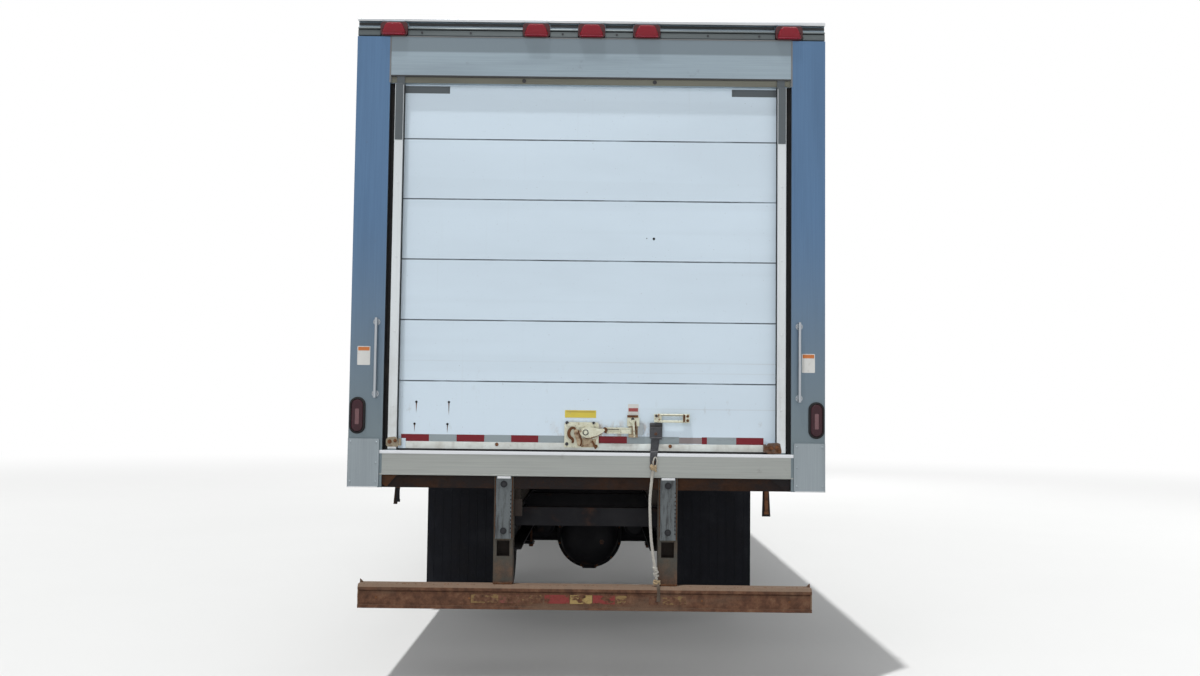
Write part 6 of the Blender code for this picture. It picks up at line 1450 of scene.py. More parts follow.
def make_flaps(looks):
    inner_x, outer_x = 0.595, 1.205
    for name, side in SIDES:
        dress(looks["flap"], f"mud_flap_{name}")
        fit = Piece(f"flap_fittings_{name}", slot="frame_black")
        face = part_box(f"mud_flap_{name}")[0].y
        fit.block((inner_x, face - 0.0045, 0.940), (outer_x, face - 0.0003, 0.974), looks["frame"], 0.001)
        for k in range(7):
            x = inner_x + 0.04 + k * (outer_x - inner_x - 0.08) / 6
            fit.bolt((x, face - 0.0045, 0.957), BACK, 0.0085, 0.007, looks["rusty_bolt"], 0.013)
        for k in range(9):
            x = inner_x + 0.05 + k * (outer_x - inner_x - 0.10) / 8
            fit.tube([(x, face + 0.0008, 0.925), (x, face + 0.0002, 0.60), (x, face + 0.0008, 0.225)], 0.0028,
                     looks["flap"], 6, 0.8)
        fit.block((inner_x + 0.002, face - 0.0026, 0.2015), (outer_x - 0.002, face - 0.0003, 0.214),
                  looks["flap"], 0.0008)
        fit.mirrored(side).done()


# Rivets every 6 inches, or every 12, and the wall posts that they hold
RIVET_PITCH = 0.152
WIDE_PITCH = 0.305
WALL_POST_PITCH = 0.405


def every(low, high, pitch):
    """Places from low to high, evenly spaced at close to the pitch."""
    count = max(1, round((high - low) / pitch))
    return [low + (high - low) * k / count for k in range(count + 1)]


def make_body_sides(looks):
    x = BODY_HALF
    back, front = WALL_BACK + 0.004, BODY_FRONT - 0.004
    low, high = FLOOR_BOTTOM, ROOF - 0.032
    for name, side in SIDES:
        rails = Piece(f"side_rails_{name}", slot="aluminium")
        rails.prism([
            (x - 0.0005, low + 0.001), (x + 0.0080, low + 0.001), (x + 0.0095, low + 0.004),
            (x + 0.0095, low + 0.018), (x + 0.0050, low + 0.023), (x + 0.0050, low + 0.062),
            (x + 0.0080, low + 0.066), (x + 0.0080, low + 0.074), (x + 0.0050, low + 0.078),
            (x + 0.0050, low + 0.150), (x + 0.0085, low + 0.154), (x + 0.0085, low + 0.168),
            (x + 0.0040, low + 0.172), (x + 0.0020, low + 0.196), (x - 0.0005, low + 0.198),
        ], "Y", back, front, looks["aluminium"])
        rails.prism([
            (x - 0.0005, high - 0.112), (x + 0.0025, high - 0.112), (x + 0.0025, high - 0.092),
            (x + 0.0060, high - 0.088), (x + 0.0060, high - 0.060), (x + 0.0025, high - 0.056),
            (x + 0.0025, high - 0.014), (x + 0.0070, high - 0.010), (x + 0.0070, high + 0.004),
            (x + 0.0010, high + 0.010), (x - 0.0005, high + 0.004),
        ], "Y", back, front, looks["aluminium"])
        rails.block((x - 0.0005, front - 0.100, low + 0.198), (x + 0.0035, front, high - 0.112),
                    looks["aluminium"], 0.001)
        rails.block((x - 0.0005, back, low + 0.198), (x + 0.0030, back + 0.035, high - 0.112),
                    looks["aluminium"], 0.001)
        places = [
            (x + proud, y, z)
            for proud, z, pitch in (
                (0.0050, low + 0.042, RIVET_PITCH), (0.0050, low + 0.135, WIDE_PITCH),
                (0.0024, low + 0.184, RIVET_PITCH), (0.0025, high - 0.102, RIVET_PITCH),
                (0.0025, high - 0.034, RIVET_PITCH),
            )
            for y in every(back + 0.05, front - 0.05, pitch)
        ]
        studs(rails, places, (1, 0, 0), 0.0085, 0.0032, looks["rivet"], 6)
        rails.mirrored(side).done()

        sheets = Piece(f"side_rivets_{name}", slot="white_paint")
        posts = every(back + 0.10, front - 0.16, WALL_POST_PITCH)
        places = []
        for number, y in enumerate(posts):
            seam = number % 3 == 0
            if seam:
                sheets.block((x - 0.0004, y - 0.020, low + 0.199), (x + 0.0016, y + 0.020, high - 0.113),
                             looks["white"], 0.0006)
            for z in every(low + 0.235, high - 0.140, 0.106):
                if seam:
                    places += [(x + 0.0014, y - 0.010, z), (x + 0.0014, y + 0.010, z)]
                else:
                    places.append((x - 0.0002, y, z))
        studs(sheets, places, (1, 0, 0), 0.0068, 0.0026, looks["white"], 6)
        sheets.mirrored(side).done()

        fixtures = Piece(f"side_markers_{name}", slot="red_lens", smooth=50)
        tape_at = back + 0.16
        while tape_at < front - 0.50:
            fixtures.block((x + 0.0048, tape_at, low + 0.088), (x + 0.0056, tape_at + 0.28, low + 0.138),
                           looks["red_tape"], 0.0002)
            fixtures.block((x + 0.0048, tape_at + 0.281, low + 0.088),
                           (x + 0.0056, tape_at + 0.46, low + 0.138),
                           looks["silver_tape"], 0.0002)
            tape_at += 0.94
        for y, z, finish in (
            (back + 0.11, low + 0.116, "side_red"), (front - 0.11, low + 0.116, "side_amber"),
            ((back + front) / 2, low + 0.116, "side_amber"), (back + 0.11, high - 0.060, "side_red"),
            (front - 0.11, high - 0.060, "side_amber"),
        ):
            base = rounded((y - 0.050, z - 0.024), (y + 0.050, z + 0.024), 0.022, 5)
            fixtures.prism(base, "X", x + 0.002, x + 0.012, looks["plastic"], 0.001)
            fixtures.loft(bulged(at_x, (y, z), (0.044, 0.018), 0.017, x + 0.0115, 0.013, 0.012),
                          looks[finish])
        fixtures.mirrored(side).done()

        ends = Piece(f"post_side_{name}", slot="stainless")
        low_y, high_y = POST_FACE + 0.001, WALL_BACK - 0.001
        places = [(x - 0.0002, high_y - 0.018, z) for z in every(low + 0.06, high - 0.10, RIVET_PITCH)]
        places += [(x - 0.0002, low_y + 0.022, z) for z in every(low + 0.06, high - 0.10, WIDE_PITCH)]
        studs(ends, places, (1, 0, 0), 0.0075, 0.0028, looks["post_rivet"], 6)
        ends.block((x - 0.0005, low_y + 0.040, low + 0.30), (x + 0.0012, low_y + 0.092, low + 1.05),
                   looks["silver_tape"], 0.0004)
        ends.mirrored(side).done()


def make_front_wall(looks):
    y, half = BODY_FRONT, BODY_HALF
    low, high = FLOOR_BOTTOM, ROOF
    wall = Piece("front_wall_trim", slot="aluminium")
    wall.block((-half + 0.001, y - 0.0005, high - 0.110), (half - 0.001, y + 0.0045, high - 0.030),
               looks["aluminium_x"], 0.0015)
    wall.block((-half + 0.001, y - 0.0005, low + 0.001), (half - 0.001, y + 0.0055, low + 0.130),
               looks["aluminium_x"], 0.0015)
    for side in (-1, 1):
        wall.block((side * (half - 0.085), y - 0.0005, low + 0.130),
                   (side * (half - 0.001), y + 0.0040, high - 0.110),
                   looks["aluminium"], 0.0015)
    places = [
        (x, y + proud, z)
        for proud, z in ((0.0045, high - 0.092), (0.0045, high - 0.046), (0.0055, low + 0.100))
        for x in every(-half + 0.05, half - 0.05, RIVET_PITCH)
    ]
    for side in (-1, 1):
        places += [(side * (half - 0.066), y + 0.0040, z)
                   for z in every(low + 0.17, high - 0.15, RIVET_PITCH)]
    studs(wall, places, (0, 1, 0), 0.0078, 0.0030, looks["rivet"], 6)
    places = []
    for x in every(-half + 0.40, half - 0.40, WALL_POST_PITCH):
        places += [(x, y - 0.0002, z) for z in every(low + 0.18, high - 0.16, RIVET_PITCH)]
    studs(wall, places, (0, 1, 0), 0.0068, 0.0026, looks["white"], 6)
    for x in (-half + 0.12, -0.305, 0.0, 0.305, half - 0.12):
        z = high - 0.069
        base = rounded((x - 0.055, z - 0.021), (x + 0.055, z + 0.021), 0.019, 5)
        wall.prism(base, "Y", y + 0.003, y + 0.013, looks["plastic"], 0.001)
        wall.loft(bulged(at_y, (x, z), (0.049, 0.016), 0.015, y + 0.0125, 0.013, 0.011), looks["side_amber"])
    wall.done()


def make_underbody(looks):
    frame, bolt = looks["frame"], looks["frame_bolt"]
    web = FRAME_HALF
    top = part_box("ladder_frame")[1].z
    gear = Piece("frame_fittings", slot="frame_black")
    for side in (-1, 1):
        face = side * (web + 0.0005)
        for y in every(REAR_Y + 0.35, FRONT_AXLE_Y - 0.9, 0.515):
            for z in (top - 0.055, top - 0.190):
                gear.bolt((face, y, z), (side, 0, 0), 0.011, 0.010, bolt, 0.016)
        # U-bolts and top plates over the rear springs
        x = side * (web + 0.085)
        for edge in (-1, 1):
            y = REAR_AXLE_Y + edge * 0.085
            gear.tube([(x - 0.047, y, 0.40), (x - 0.047, y, 0.665), (x - 0.030, y, 0.688), (x, y, 0.692),
                       (x + 0.030, y, 0.688), (x + 0.047, y, 0.665), (x + 0.047, y, 0.40)], 0.010, bolt, 8)
            for across in (-0.047, 0.047):
                gear.bolt((x + across, y, 0.412), (0, 0, -1), 0.017, 0.022, bolt, 0.021)
        gear.block((x - 0.062, REAR_AXLE_Y - 0.115, 0.412), (x + 0.062, REAR_AXLE_Y + 0.115, 0.428), frame,
                   0.003)
        # Brake chamber, its bracket and the slack adjuster
        cx = side * 0.36
        cy = REAR_AXLE_Y - 0.20
        gear.turned([(0.0, -0.085), (0.055, -0.085), (0.078, -0.060), (0.080, -0.010), (0.088, -0.006),
                     (0.088, 0.006), (0.080, 0.010), (0.074, 0.060), (0.050, 0.085), (0.0, 0.085)],
                    (cx, cy, 0.575), frame, "Y", 28)
        gear.rod((cx, cy + 0.08, 0.575), (cx, REAR_AXLE_Y - 0.02, 0.560), 0.011, bolt, 10)
        gear.prism([(cy + 0.03, 0.50), (cy + 0.16, 0.47), (cy + 0.16, 0.52), (cy + 0.05, 0.66)], "X",
                   cx - 0.006, cx + 0.006, frame, 0.002)
        # Shock absorber from the frame to the axle
        gear.rod((side * 0.395, REAR_AXLE_Y + 0.33, top - 0.10), (side * 0.405, REAR_AXLE_Y + 0.12, 0.640),
                 0.032, frame, 18)
        gear.rod((side * 0.405, REAR_AXLE_Y + 0.14, 0.655), (side * 0.410, REAR_AXLE_Y + 0.05, 0.500), 0.024,
                 looks["galvanised"], 16)
    # Air tanks between the rails with their bands
    for y, x, radius in ((-0.70, -0.16, 0.115), (0.45, 0.16, 0.115)):
        z = top - 0.145
        gear.turned([(0.0, -0.38), (radius * 0.55, -0.375), (radius * 0.90, -0.345), (radius, -0.30),
                     (radius, 0.30), (radius * 0.90, 0.345), (radius * 0.55, 0.375), (0.0, 0.38)], (x, y, z),
                    frame, "Y", 28)
        for band in (-0.20, 0.20):
            gear.turned([(radius, band - 0.016), (radius + 0.005, band - 0.016),
                         (radius + 0.005, band + 0.016), (radius, band + 0.016)],
                        (x, y, z), looks["galvanised"], "Y", 28)
            gear.block((x - 0.012, y + band - 0.016, z + radius), (x + 0.012, y + band + 0.016, top - 0.012),
                       looks["galvanised"], 0.002)
    # Air lines and wiring along the left rail
    for offset, radius, finish in ((0.000, 0.009, "plastic"), (0.024, 0.007, "side_blue"),
                                   (0.044, 0.007, "plastic")):
        points = [(-web + 0.030 + offset * 0.3, y, top - 0.075 - offset + 0.006 * math.sin(y * 5))
                  for y in every(-4.8, 2.4, 0.18)]
        gear.tube(points, radius, looks[finish], 6)
    gear.done()

    cover = Piece("axle_cover_bolts", slot="frame_black")
    centre_y, z = REAR_AXLE_Y, TYRE_RADIUS
    for side in (-1, 1):
        for angle, spot in round_axle(side * 0.046, centre_y, z, 0.2715, 14, 0.5):
            cover.bolt(spot, (0, math.cos(angle), math.sin(angle)), 0.010, 0.010, bolt, 0.014)
    cover.turned([(0.262, -0.050), (0.276, -0.050), (0.280, -0.044), (0.280, 0.044), (0.276, 0.050),
                  (0.262, 0.050)],
                 (0, centre_y, z), frame, "X", 44)
    # The round rear cover of the axle's housing, with its bolts and filler plug
    cover.turned([(0.0, -0.335), (0.090, -0.330), (0.165, -0.305), (0.215, -0.255), (0.232, -0.190),
                  (0.236, -0.130), (0.260, -0.126), (0.262, -0.098), (0.0, -0.098)], (0, centre_y, z), frame,
                 "Y", 48)
    for k in range(12):
        angle = math.tau * (k + 0.5) / 12
        cover.bolt((0.248 * math.cos(angle), centre_y - 0.126, z + 0.248 * math.sin(angle)), BACK, 0.009,
                   0.009, bolt, 0)
    cover.rod((0.10, centre_y - 0.300, z - 0.03), (0.10, centre_y - 0.335, z - 0.03), 0.020, bolt, 6)
    cover.done()

    tank = Piece("tank_fittings", slot="chrome")
    low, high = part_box("fuel_tank")
    side = 1 if low.x > 0 else -1
    left, right = sorted((side * 0.995, side * (0.995 - 0.56)))
    for y in (low.y + 0.14, high.y - 0.14):
        outline = rounded((left - 0.004, low.z - 0.004), (right + 0.004, high.z + 0.004), 0.122, 6)
        hollow = rounded((left + 0.001, low.z + 0.001), (right - 0.001, high.z - 0.001), 0.119, 6)
        rings = [at_y(y - 0.03, outline), at_y(y + 0.03, outline), at_y(y + 0.03, hollow),
                 at_y(y - 0.03, hollow)]
        tank.loft(rings, looks["chrome"], capped=False)
    tank.rod((side * 0.83, high.y - 0.30, high.z - 0.004), (side * 0.86, high.y - 0.30, high.z + 0.045),
             0.045, looks["chrome"], 24)
    tank.rod((side * 0.86, high.y - 0.30, high.z + 0.044), (side * 0.868, high.y - 0.30, high.z + 0.058),
             0.052, looks["plastic"], 24, bevel=0.003)
    tank.done()

    steps = Piece("step_treads", slot="aluminium")
    for node in ("fuel_tank", "battery_box"):
        low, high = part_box(node)
        side = 1 if low.x > 0 else -1
        y0 = high.y - 0.10 - 0.46
        for z in (0.50, 0.78):
            for k in range(12):
                y = y0 + 0.035 + k * 0.0355
                steps.block((side * 1.005, y, z + 0.0245), (side * 1.088, y + 0.014, z + 0.0285),
                            looks["aluminium"], 0.001)
            for k in range(3):
                x = 1.020 + k * 0.027
                steps.block((side * x, y0 + 0.02, z + 0.0245), (side * (x + 0.007), y0 + 0.44, z + 0.0300),
                            looks["aluminium"], 0.001)
    low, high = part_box("battery_box")
    side = 1 if low.x > 0 else -1
    steps.block((side * 0.44, low.y - 0.002, high.z - 0.002), (side * 0.998, high.y + 0.002, high.z + 0.010),
                looks["plastic"], 0.004)
    steps.block((side * 0.994, low.y + 0.03, 0.60), (side * 1.002, high.y - 0.60, 0.74), looks["galvanised"],
                0.002)
    steps.done()

    pipe = Piece("exhaust_fittings", slot="aluminium")
    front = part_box("exhaust")[1].y
    rear = front - 1.05
    x, z = 0.62, 0.72
    for y in (rear, front):
        out = -1 if y == rear else 1
        pipe.turned([(0.040, 0.0), (0.128, 0.0), (0.1315, 0.006 * out), (0.128, 0.014 * out),
                     (0.060, 0.040 * out), (0.040, 0.040 * out)],
                    (x, y, z), looks["tank"], "Y", 36)
    for y in (rear + 0.13, front - 0.13):
        pipe.turned([(0.1295, -0.056), (0.1335, -0.056), (0.1335, -0.002), (0.1295, -0.002)], (x, y, z),
                    looks["galvanised"], "Y", 36)
        pipe.bolt((x + 0.1335, y - 0.029, z), (1, 0, 0), 0.010, 0.014, bolt, 0.014)
    # A dark disc of painted shade in the pipe's open end
    pipe.rod((x, rear - 0.895, z), (x, rear - 0.9005, z), 0.0455, looks["hole"], 20)
    # Every other place of a grid of holes in the shield, each a dark disc of painted shade
    places = [(y, math.radians(-60 + 15 * k)) for y in every(rear + 0.20, front - 0.20, 0.05)
              for k in range(9)]
    for y, angle in places[::2]:
        across, up = x + 0.1306 * math.cos(angle), z + 0.1306 * math.sin(angle)
        end = (across + 0.0012 * math.cos(angle), y, up + 0.0012 * math.sin(angle))
        pipe.rod((across, y, up), end, 0.009, looks["hole"], 8)
    pipe.done()


def make_tyre(node, looks, body):
    low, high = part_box(node)
    centre = ((low.x + high.x) / 2, (low.y + high.y) / 2, TYRE_RADIUS)
    half = [
        (0.2865, 0.092), (0.2990, 0.104), (0.3100, 0.112), (0.3140, 0.1125), (0.3180, 0.1155),
        (0.3450, 0.1212), (0.3700, 0.1242), (0.3740, 0.1248), (0.3790, 0.1244), (0.4000, 0.1246),
        (0.4250, 0.1226), (0.4290, 0.1236), (0.4330, 0.1216), (0.4520, 0.1180), (0.4700, 0.1120),
        (0.4810, 0.1050), (0.4860, 0.0970), (0.4875, 0.0700), (0.4740, 0.0680), (0.4740, 0.0600),
        (0.4885, 0.0580), (0.4893, 0.0250), (0.4760, 0.0235), (0.4760, 0.0150), (0.4896, 0.0135),
    ]
    outline = half + [(radius, -along) for radius, along in reversed(half)]
    last = len(outline) - 1
    steps = 156

    def lugs(index, k, radius):
        place = min(index, last - index)
        if place in (15, 16, 17) and k % 3 == 0:
            return radius - (0.0075 if place > 15 else 0.0040)
        if place in (20, 21) and (k + (1 if index > last / 2 else 0)) % 4 == 0:
            return radius - 0.0045
        if place == 24 and k % 4 == 2:
            return radius - 0.0045
        if place in (13, 14) and k % 3 == 0:
            return radius - 0.0018
        return radius

    tyre = Piece(node.replace("tyre", "tread_tyre"), body, "tyre_rubber", smooth=40)
    tyre.turned(outline, centre, looks["tyre"], "X", steps, around=lugs)
    tyre.done(node)


def hand_hole(hub, turn, half, lip, heights, looks):
    """A slot in a wheel's disc: a raised lip between two heights, round an opening between two that is filled
    by a dark plug of painted shade.
    """
    wide = (half[0] + lip, half[1] + lip)
    ring = rounded((-half[0], -half[1]), half, half[0] - 0.0005, 6)
    outer = rounded((-wide[0], -wide[1]), wide, wide[0] - 0.0005, 6)
    base, top, floor, face = heights
    lip_rings = [at_x(base, outer), at_x(top, outer), at_x(top, ring), at_x(base, ring)]
    hub.loft(lip_rings, looks["wheel"], turn, capped=False)
    hub.loft([at_x(floor, ring), at_x(face, ring)], looks["hole"], turn)


def make_wheels(looks):
    wheel, nut = looks["wheel"], looks["lug_nut"]
    for name, side in SIDES:
        make_tyre(f"tyre_front_{name}", looks, f"front_{name}_wheel")
        make_tyre(f"tyre_rear_{name}_outer", looks, f"rear_{name}_wheels")
        make_tyre(f"tyre_rear_{name}_inner", looks, f"rear_{name}_wheels")

        front = Piece(f"front_hub_{name}", f"front_{name}_wheel", "wheel_paint", smooth=40)
        x, y, z = 1.02 + 0.060, FRONT_AXLE_Y, TYRE_RADIUS
        front.turned([(0.2665, 0.001), (0.2665, 0.012), (0.2550, 0.004), (0.2300, 0.0035), (0.2000, 0.0090),
                      (0.1760, 0.0160), (0.1560, 0.0180), (0.1400, 0.0170), (0.1060, 0.0165),
                      (0.1060, 0.001)], (x, y, z), wheel, "X", 60)
        front.turned([(0.2655, -0.010), (0.2655, 0.046), (0.2980, 0.0465), (0.3000, 0.0440), (0.2975, 0.0370),
                      (0.2870, 0.0350), (0.2860, 0.030), (0.2860, -0.010)], (x, y, z), wheel, "X", 60)
        for _, spot in round_axle(x + 0.0165, y, z, 0.1425, 10):
            front.bolt(spot, (1, 0, 0), 0.0145, 0.026, nut, 0.019)
            front.rod((spot[0] + 0.024, spot[1], spot[2]), (spot[0] + 0.034, spot[1], spot[2]), 0.0085, nut,
                      10, 0.0075)
        for angle, spot in round_axle(x + 0.0095, y, z, 0.2070, 5, 0.5):
            turn = Matrix.Translation(spot) @ Matrix.Rotation(angle, 4, "X") @ Matrix.Rotation(-0.24, 4, "Z")
            hand_hole(front, turn, (0.021, 0.034), 0.005, (0.003, 0.0075, -0.004, 0.0042), looks)
        front.turned([(0.0, 0.030), (0.070, 0.030), (0.072, 0.058), (0.064, 0.066), (0.060, 0.084),
                      (0.052, 0.092), (0.030, 0.0925), (0.0, 0.093)], (x - 0.010, y, z), looks["hub_black"],
                     "X", 40)
        for _, spot in round_axle(x + 0.052, y, z, 0.066, 6):
            front.bolt(spot, (1, 0, 0), 0.006, 0.006, nut, 0)
        front.tube([(x + 0.004, y + 0.235, z), (x + 0.025, y + 0.232, z), (x + 0.048, y + 0.222, z)], 0.0045,
                   looks["plastic"], 8)
        front.mirrored(side).done()

        rear = Piece(f"rear_hub_{name}", f"rear_{name}_wheels", "wheel_paint", smooth=40)
        x, y = 0.905, REAR_AXLE_Y
        out_face = x + 0.16 + 0.105
        rear.turned([(0.2655, -0.030), (0.2655, 0.0005), (0.2980, 0.0010), (0.3000, -0.0020),
                     (0.2975, -0.0090), (0.2870, -0.0110), (0.2860, -0.016), (0.2860, -0.030)],
                    (out_face, y, z), wheel, "X", 60)
        rear.turned([(0.2210, 0.0150), (0.2210, 0.0235), (0.2000, 0.0205), (0.1800, 0.0185), (0.1060, 0.0180),
                     (0.1060, 0.0130)],
                    (x, y, z), wheel, "X", 60)
        for _, spot in round_axle(x + 0.018, y, z, 0.1425, 10):
            rear.bolt(spot, (1, 0, 0), 0.0150, 0.030, nut, 0.020)
            rear.rod((spot[0] + 0.028, spot[1], spot[2]), (spot[0] + 0.042, spot[1], spot[2]), 0.0088, nut,
                     10, 0.0078)
        for angle, spot in round_axle(x + 0.0195, y, z, 0.1930, 5, 0.5):
            turn = Matrix.Translation(spot) @ Matrix.Rotation(angle, 4, "X")
            hand_hole(rear, turn, (0.017, 0.030), 0.0045, (-0.002, 0.0045, -0.006, 0.0020), looks)
        end = x + 0.215
        rear.turned([(0.0, -0.004), (0.096, -0.004), (0.098, 0.004), (0.095, 0.014), (0.052, 0.016),
                     (0.045, 0.030), (0.036, 0.036), (0.0, 0.036)], (end, y, z), looks["hub_black"], "X", 40)
        for _, spot in round_axle(end + 0.013, y, z, 0.074, 8):
            rear.bolt(spot, (1, 0, 0), 0.0095, 0.012, nut, 0.013)
        rear.tube([(x + 0.030, y + 0.215, z), (x + 0.090, y + 0.226, z), (x + 0.160, y + 0.238, z)], 0.0045,
                  looks["galvanised"], 8)
        rear.mirrored(side).done()


def leaned(x, z):
    """How far out the cab's side is at a height."""
    return x - LEAN * max(0.0, z - BELT)


def skin_of(node):
    mesh = NODES[node].data
    return BVHTree.FromPolygons([v.co.copy() for v in mesh.vertices],
                                [tuple(p.vertices) for p in mesh.polygons])


def window_ring(inset):
    """The edge of a cab door's window as (y, z), round at its corners."""
    rear, low, high = 2.861 + 0.06 + inset, 1.78 + inset, SIDE_TOP - 0.06 - inset
    corners = [(rear, low), (rear, high)]
    for z in (high, low):
        corners.append((COWL - 0.06 - inset - 0.27 * (z - BELT) / (SIDE_TOP - BELT), z))
    return [tuple(point) for point in cut_corners([Vector(corner) for corner in corners], 0.035, 4)]


def make_cab_doors(looks):
    for name, side in SIDES:
        body = f"{name}_door"
        door = Piece(f"door_fittings_{name}", body, "black_plastic", smooth=40)
        # The window's seal
        outer, inner = window_ring(-0.014), window_ring(0.006)
        rings = [
            [(leaned(CAB_HALF + proud, v), u, v) for u, v in ring]
            for proud, ring in ((-0.004, outer), (0.0035, outer), (0.0035, inner), (-0.022, inner))
        ]
        door.loft(rings, looks["seal"], capped=False)
        x = CAB_HALF
        # Handle in its dished plate
        plate = rounded((2.905, 1.545), (3.055, 1.625), 0.018, 5)
        door.prism(plate, "X", x - 0.001, x + 0.003, looks["plastic"], 0.001)
        door.tube(spline([(x + 0.004, 2.925, 1.590), (x + 0.021, 2.945, 1.592), (x + 0.024, 2.985, 1.592),
                          (x + 0.021, 3.020, 1.590), (x + 0.005, 3.036, 1.588)], 0.008), 0.0105,
                  looks["chrome"], 10, 0.7)
        door.rod((x + 0.002, 2.930, 1.558), (x + 0.0065, 2.930, 1.558), 0.011, looks["chrome"], 18,
                 bevel=0.001)
        # Pressed lines along the door's skin
        for z in (1.655, 1.205):
            door.block((x - 0.0005, 2.880, z - 0.007), (x + 0.0022, 3.650, z + 0.007), looks["cab"], 0.0016,
                       steps=2)
        # Belt seal and the drip edge over the door
        door.block((x - 0.002, 2.935, 1.7680), (x + 0.004, 3.585, 1.7790), looks["seal"], 0.0015)
        # Inside panel with its armrest, pull and handle
        inner_x = CAB_HALF - 0.05
        door.block((inner_x - 0.011, 2.900, 1.130), (inner_x + 0.001, 3.630, 1.700), looks["interior"], 0.005,
                   steps=2)
        door.block((inner_x - 0.021, 2.960, 1.440), (inner_x - 0.010, 3.380, 1.485), looks["interior"], 0.006,
                   steps=2)
        door.tube(spline([(inner_x - 0.012, 3.30, 1.50), (inner_x - 0.021, 3.32, 1.53),
                          (inner_x - 0.021, 3.38, 1.57), (inner_x - 0.012, 3.40, 1.59)], 0.01),
                  0.007, looks["plastic"], 8)
        door.rod((inner_x - 0.010, 3.45, 1.40), (inner_x - 0.018, 3.45, 1.40), 0.022, looks["plastic"], 20,
                 bevel=0.002)
        door.mirrored(side).done()

        mirror = Piece(f"mirror_{name}", body, "chrome", smooth=40)
        low_y, high_y = COWL - 0.12 - 0.07, COWL - 0.12
        outline = rounded((1.2155, 1.7605), (1.4145, 2.1795), 0.030, 6)
        glass = rounded((1.2225, 1.9105), (1.4075, 2.1735), 0.022, 6)
        round_glass = rounded((1.2225, 1.7675), (1.4075, 1.8985), 0.022, 6)
        mirror.prism(outline, "Y", high_y - 0.0005, high_y + 0.008, looks["plastic"], 0.004, steps=2)
        narrowed = [(1.315 + (u - 1.315) * 0.95, 1.97 + (v - 1.97) * 0.975) for u, v in outline]
        rings = [at_y(low_y + 0.001, outline), at_y(low_y - 0.006, outline), at_y(low_y - 0.007, narrowed),
                 at_y(low_y + 0.001, narrowed)]
        mirror.loft(rings, looks["plastic"], capped=False)
        mirror.prism(glass, "Y", low_y - 0.0035, low_y - 0.0004, looks["mirror_glass"], 0.0006)
        mirror.prism(round_glass, "Y", low_y - 0.0060, low_y - 0.0004, looks["mirror_glass"], 0.0012)
        mid = (low_y + high_y) / 2
        for z in (1.676, 1.758):
            mirror.rod((0.9985, mid, z), (1.006, mid, z), 0.026, looks["plastic"], 20, bevel=0.002)
        mirror.mirrored(side).done()


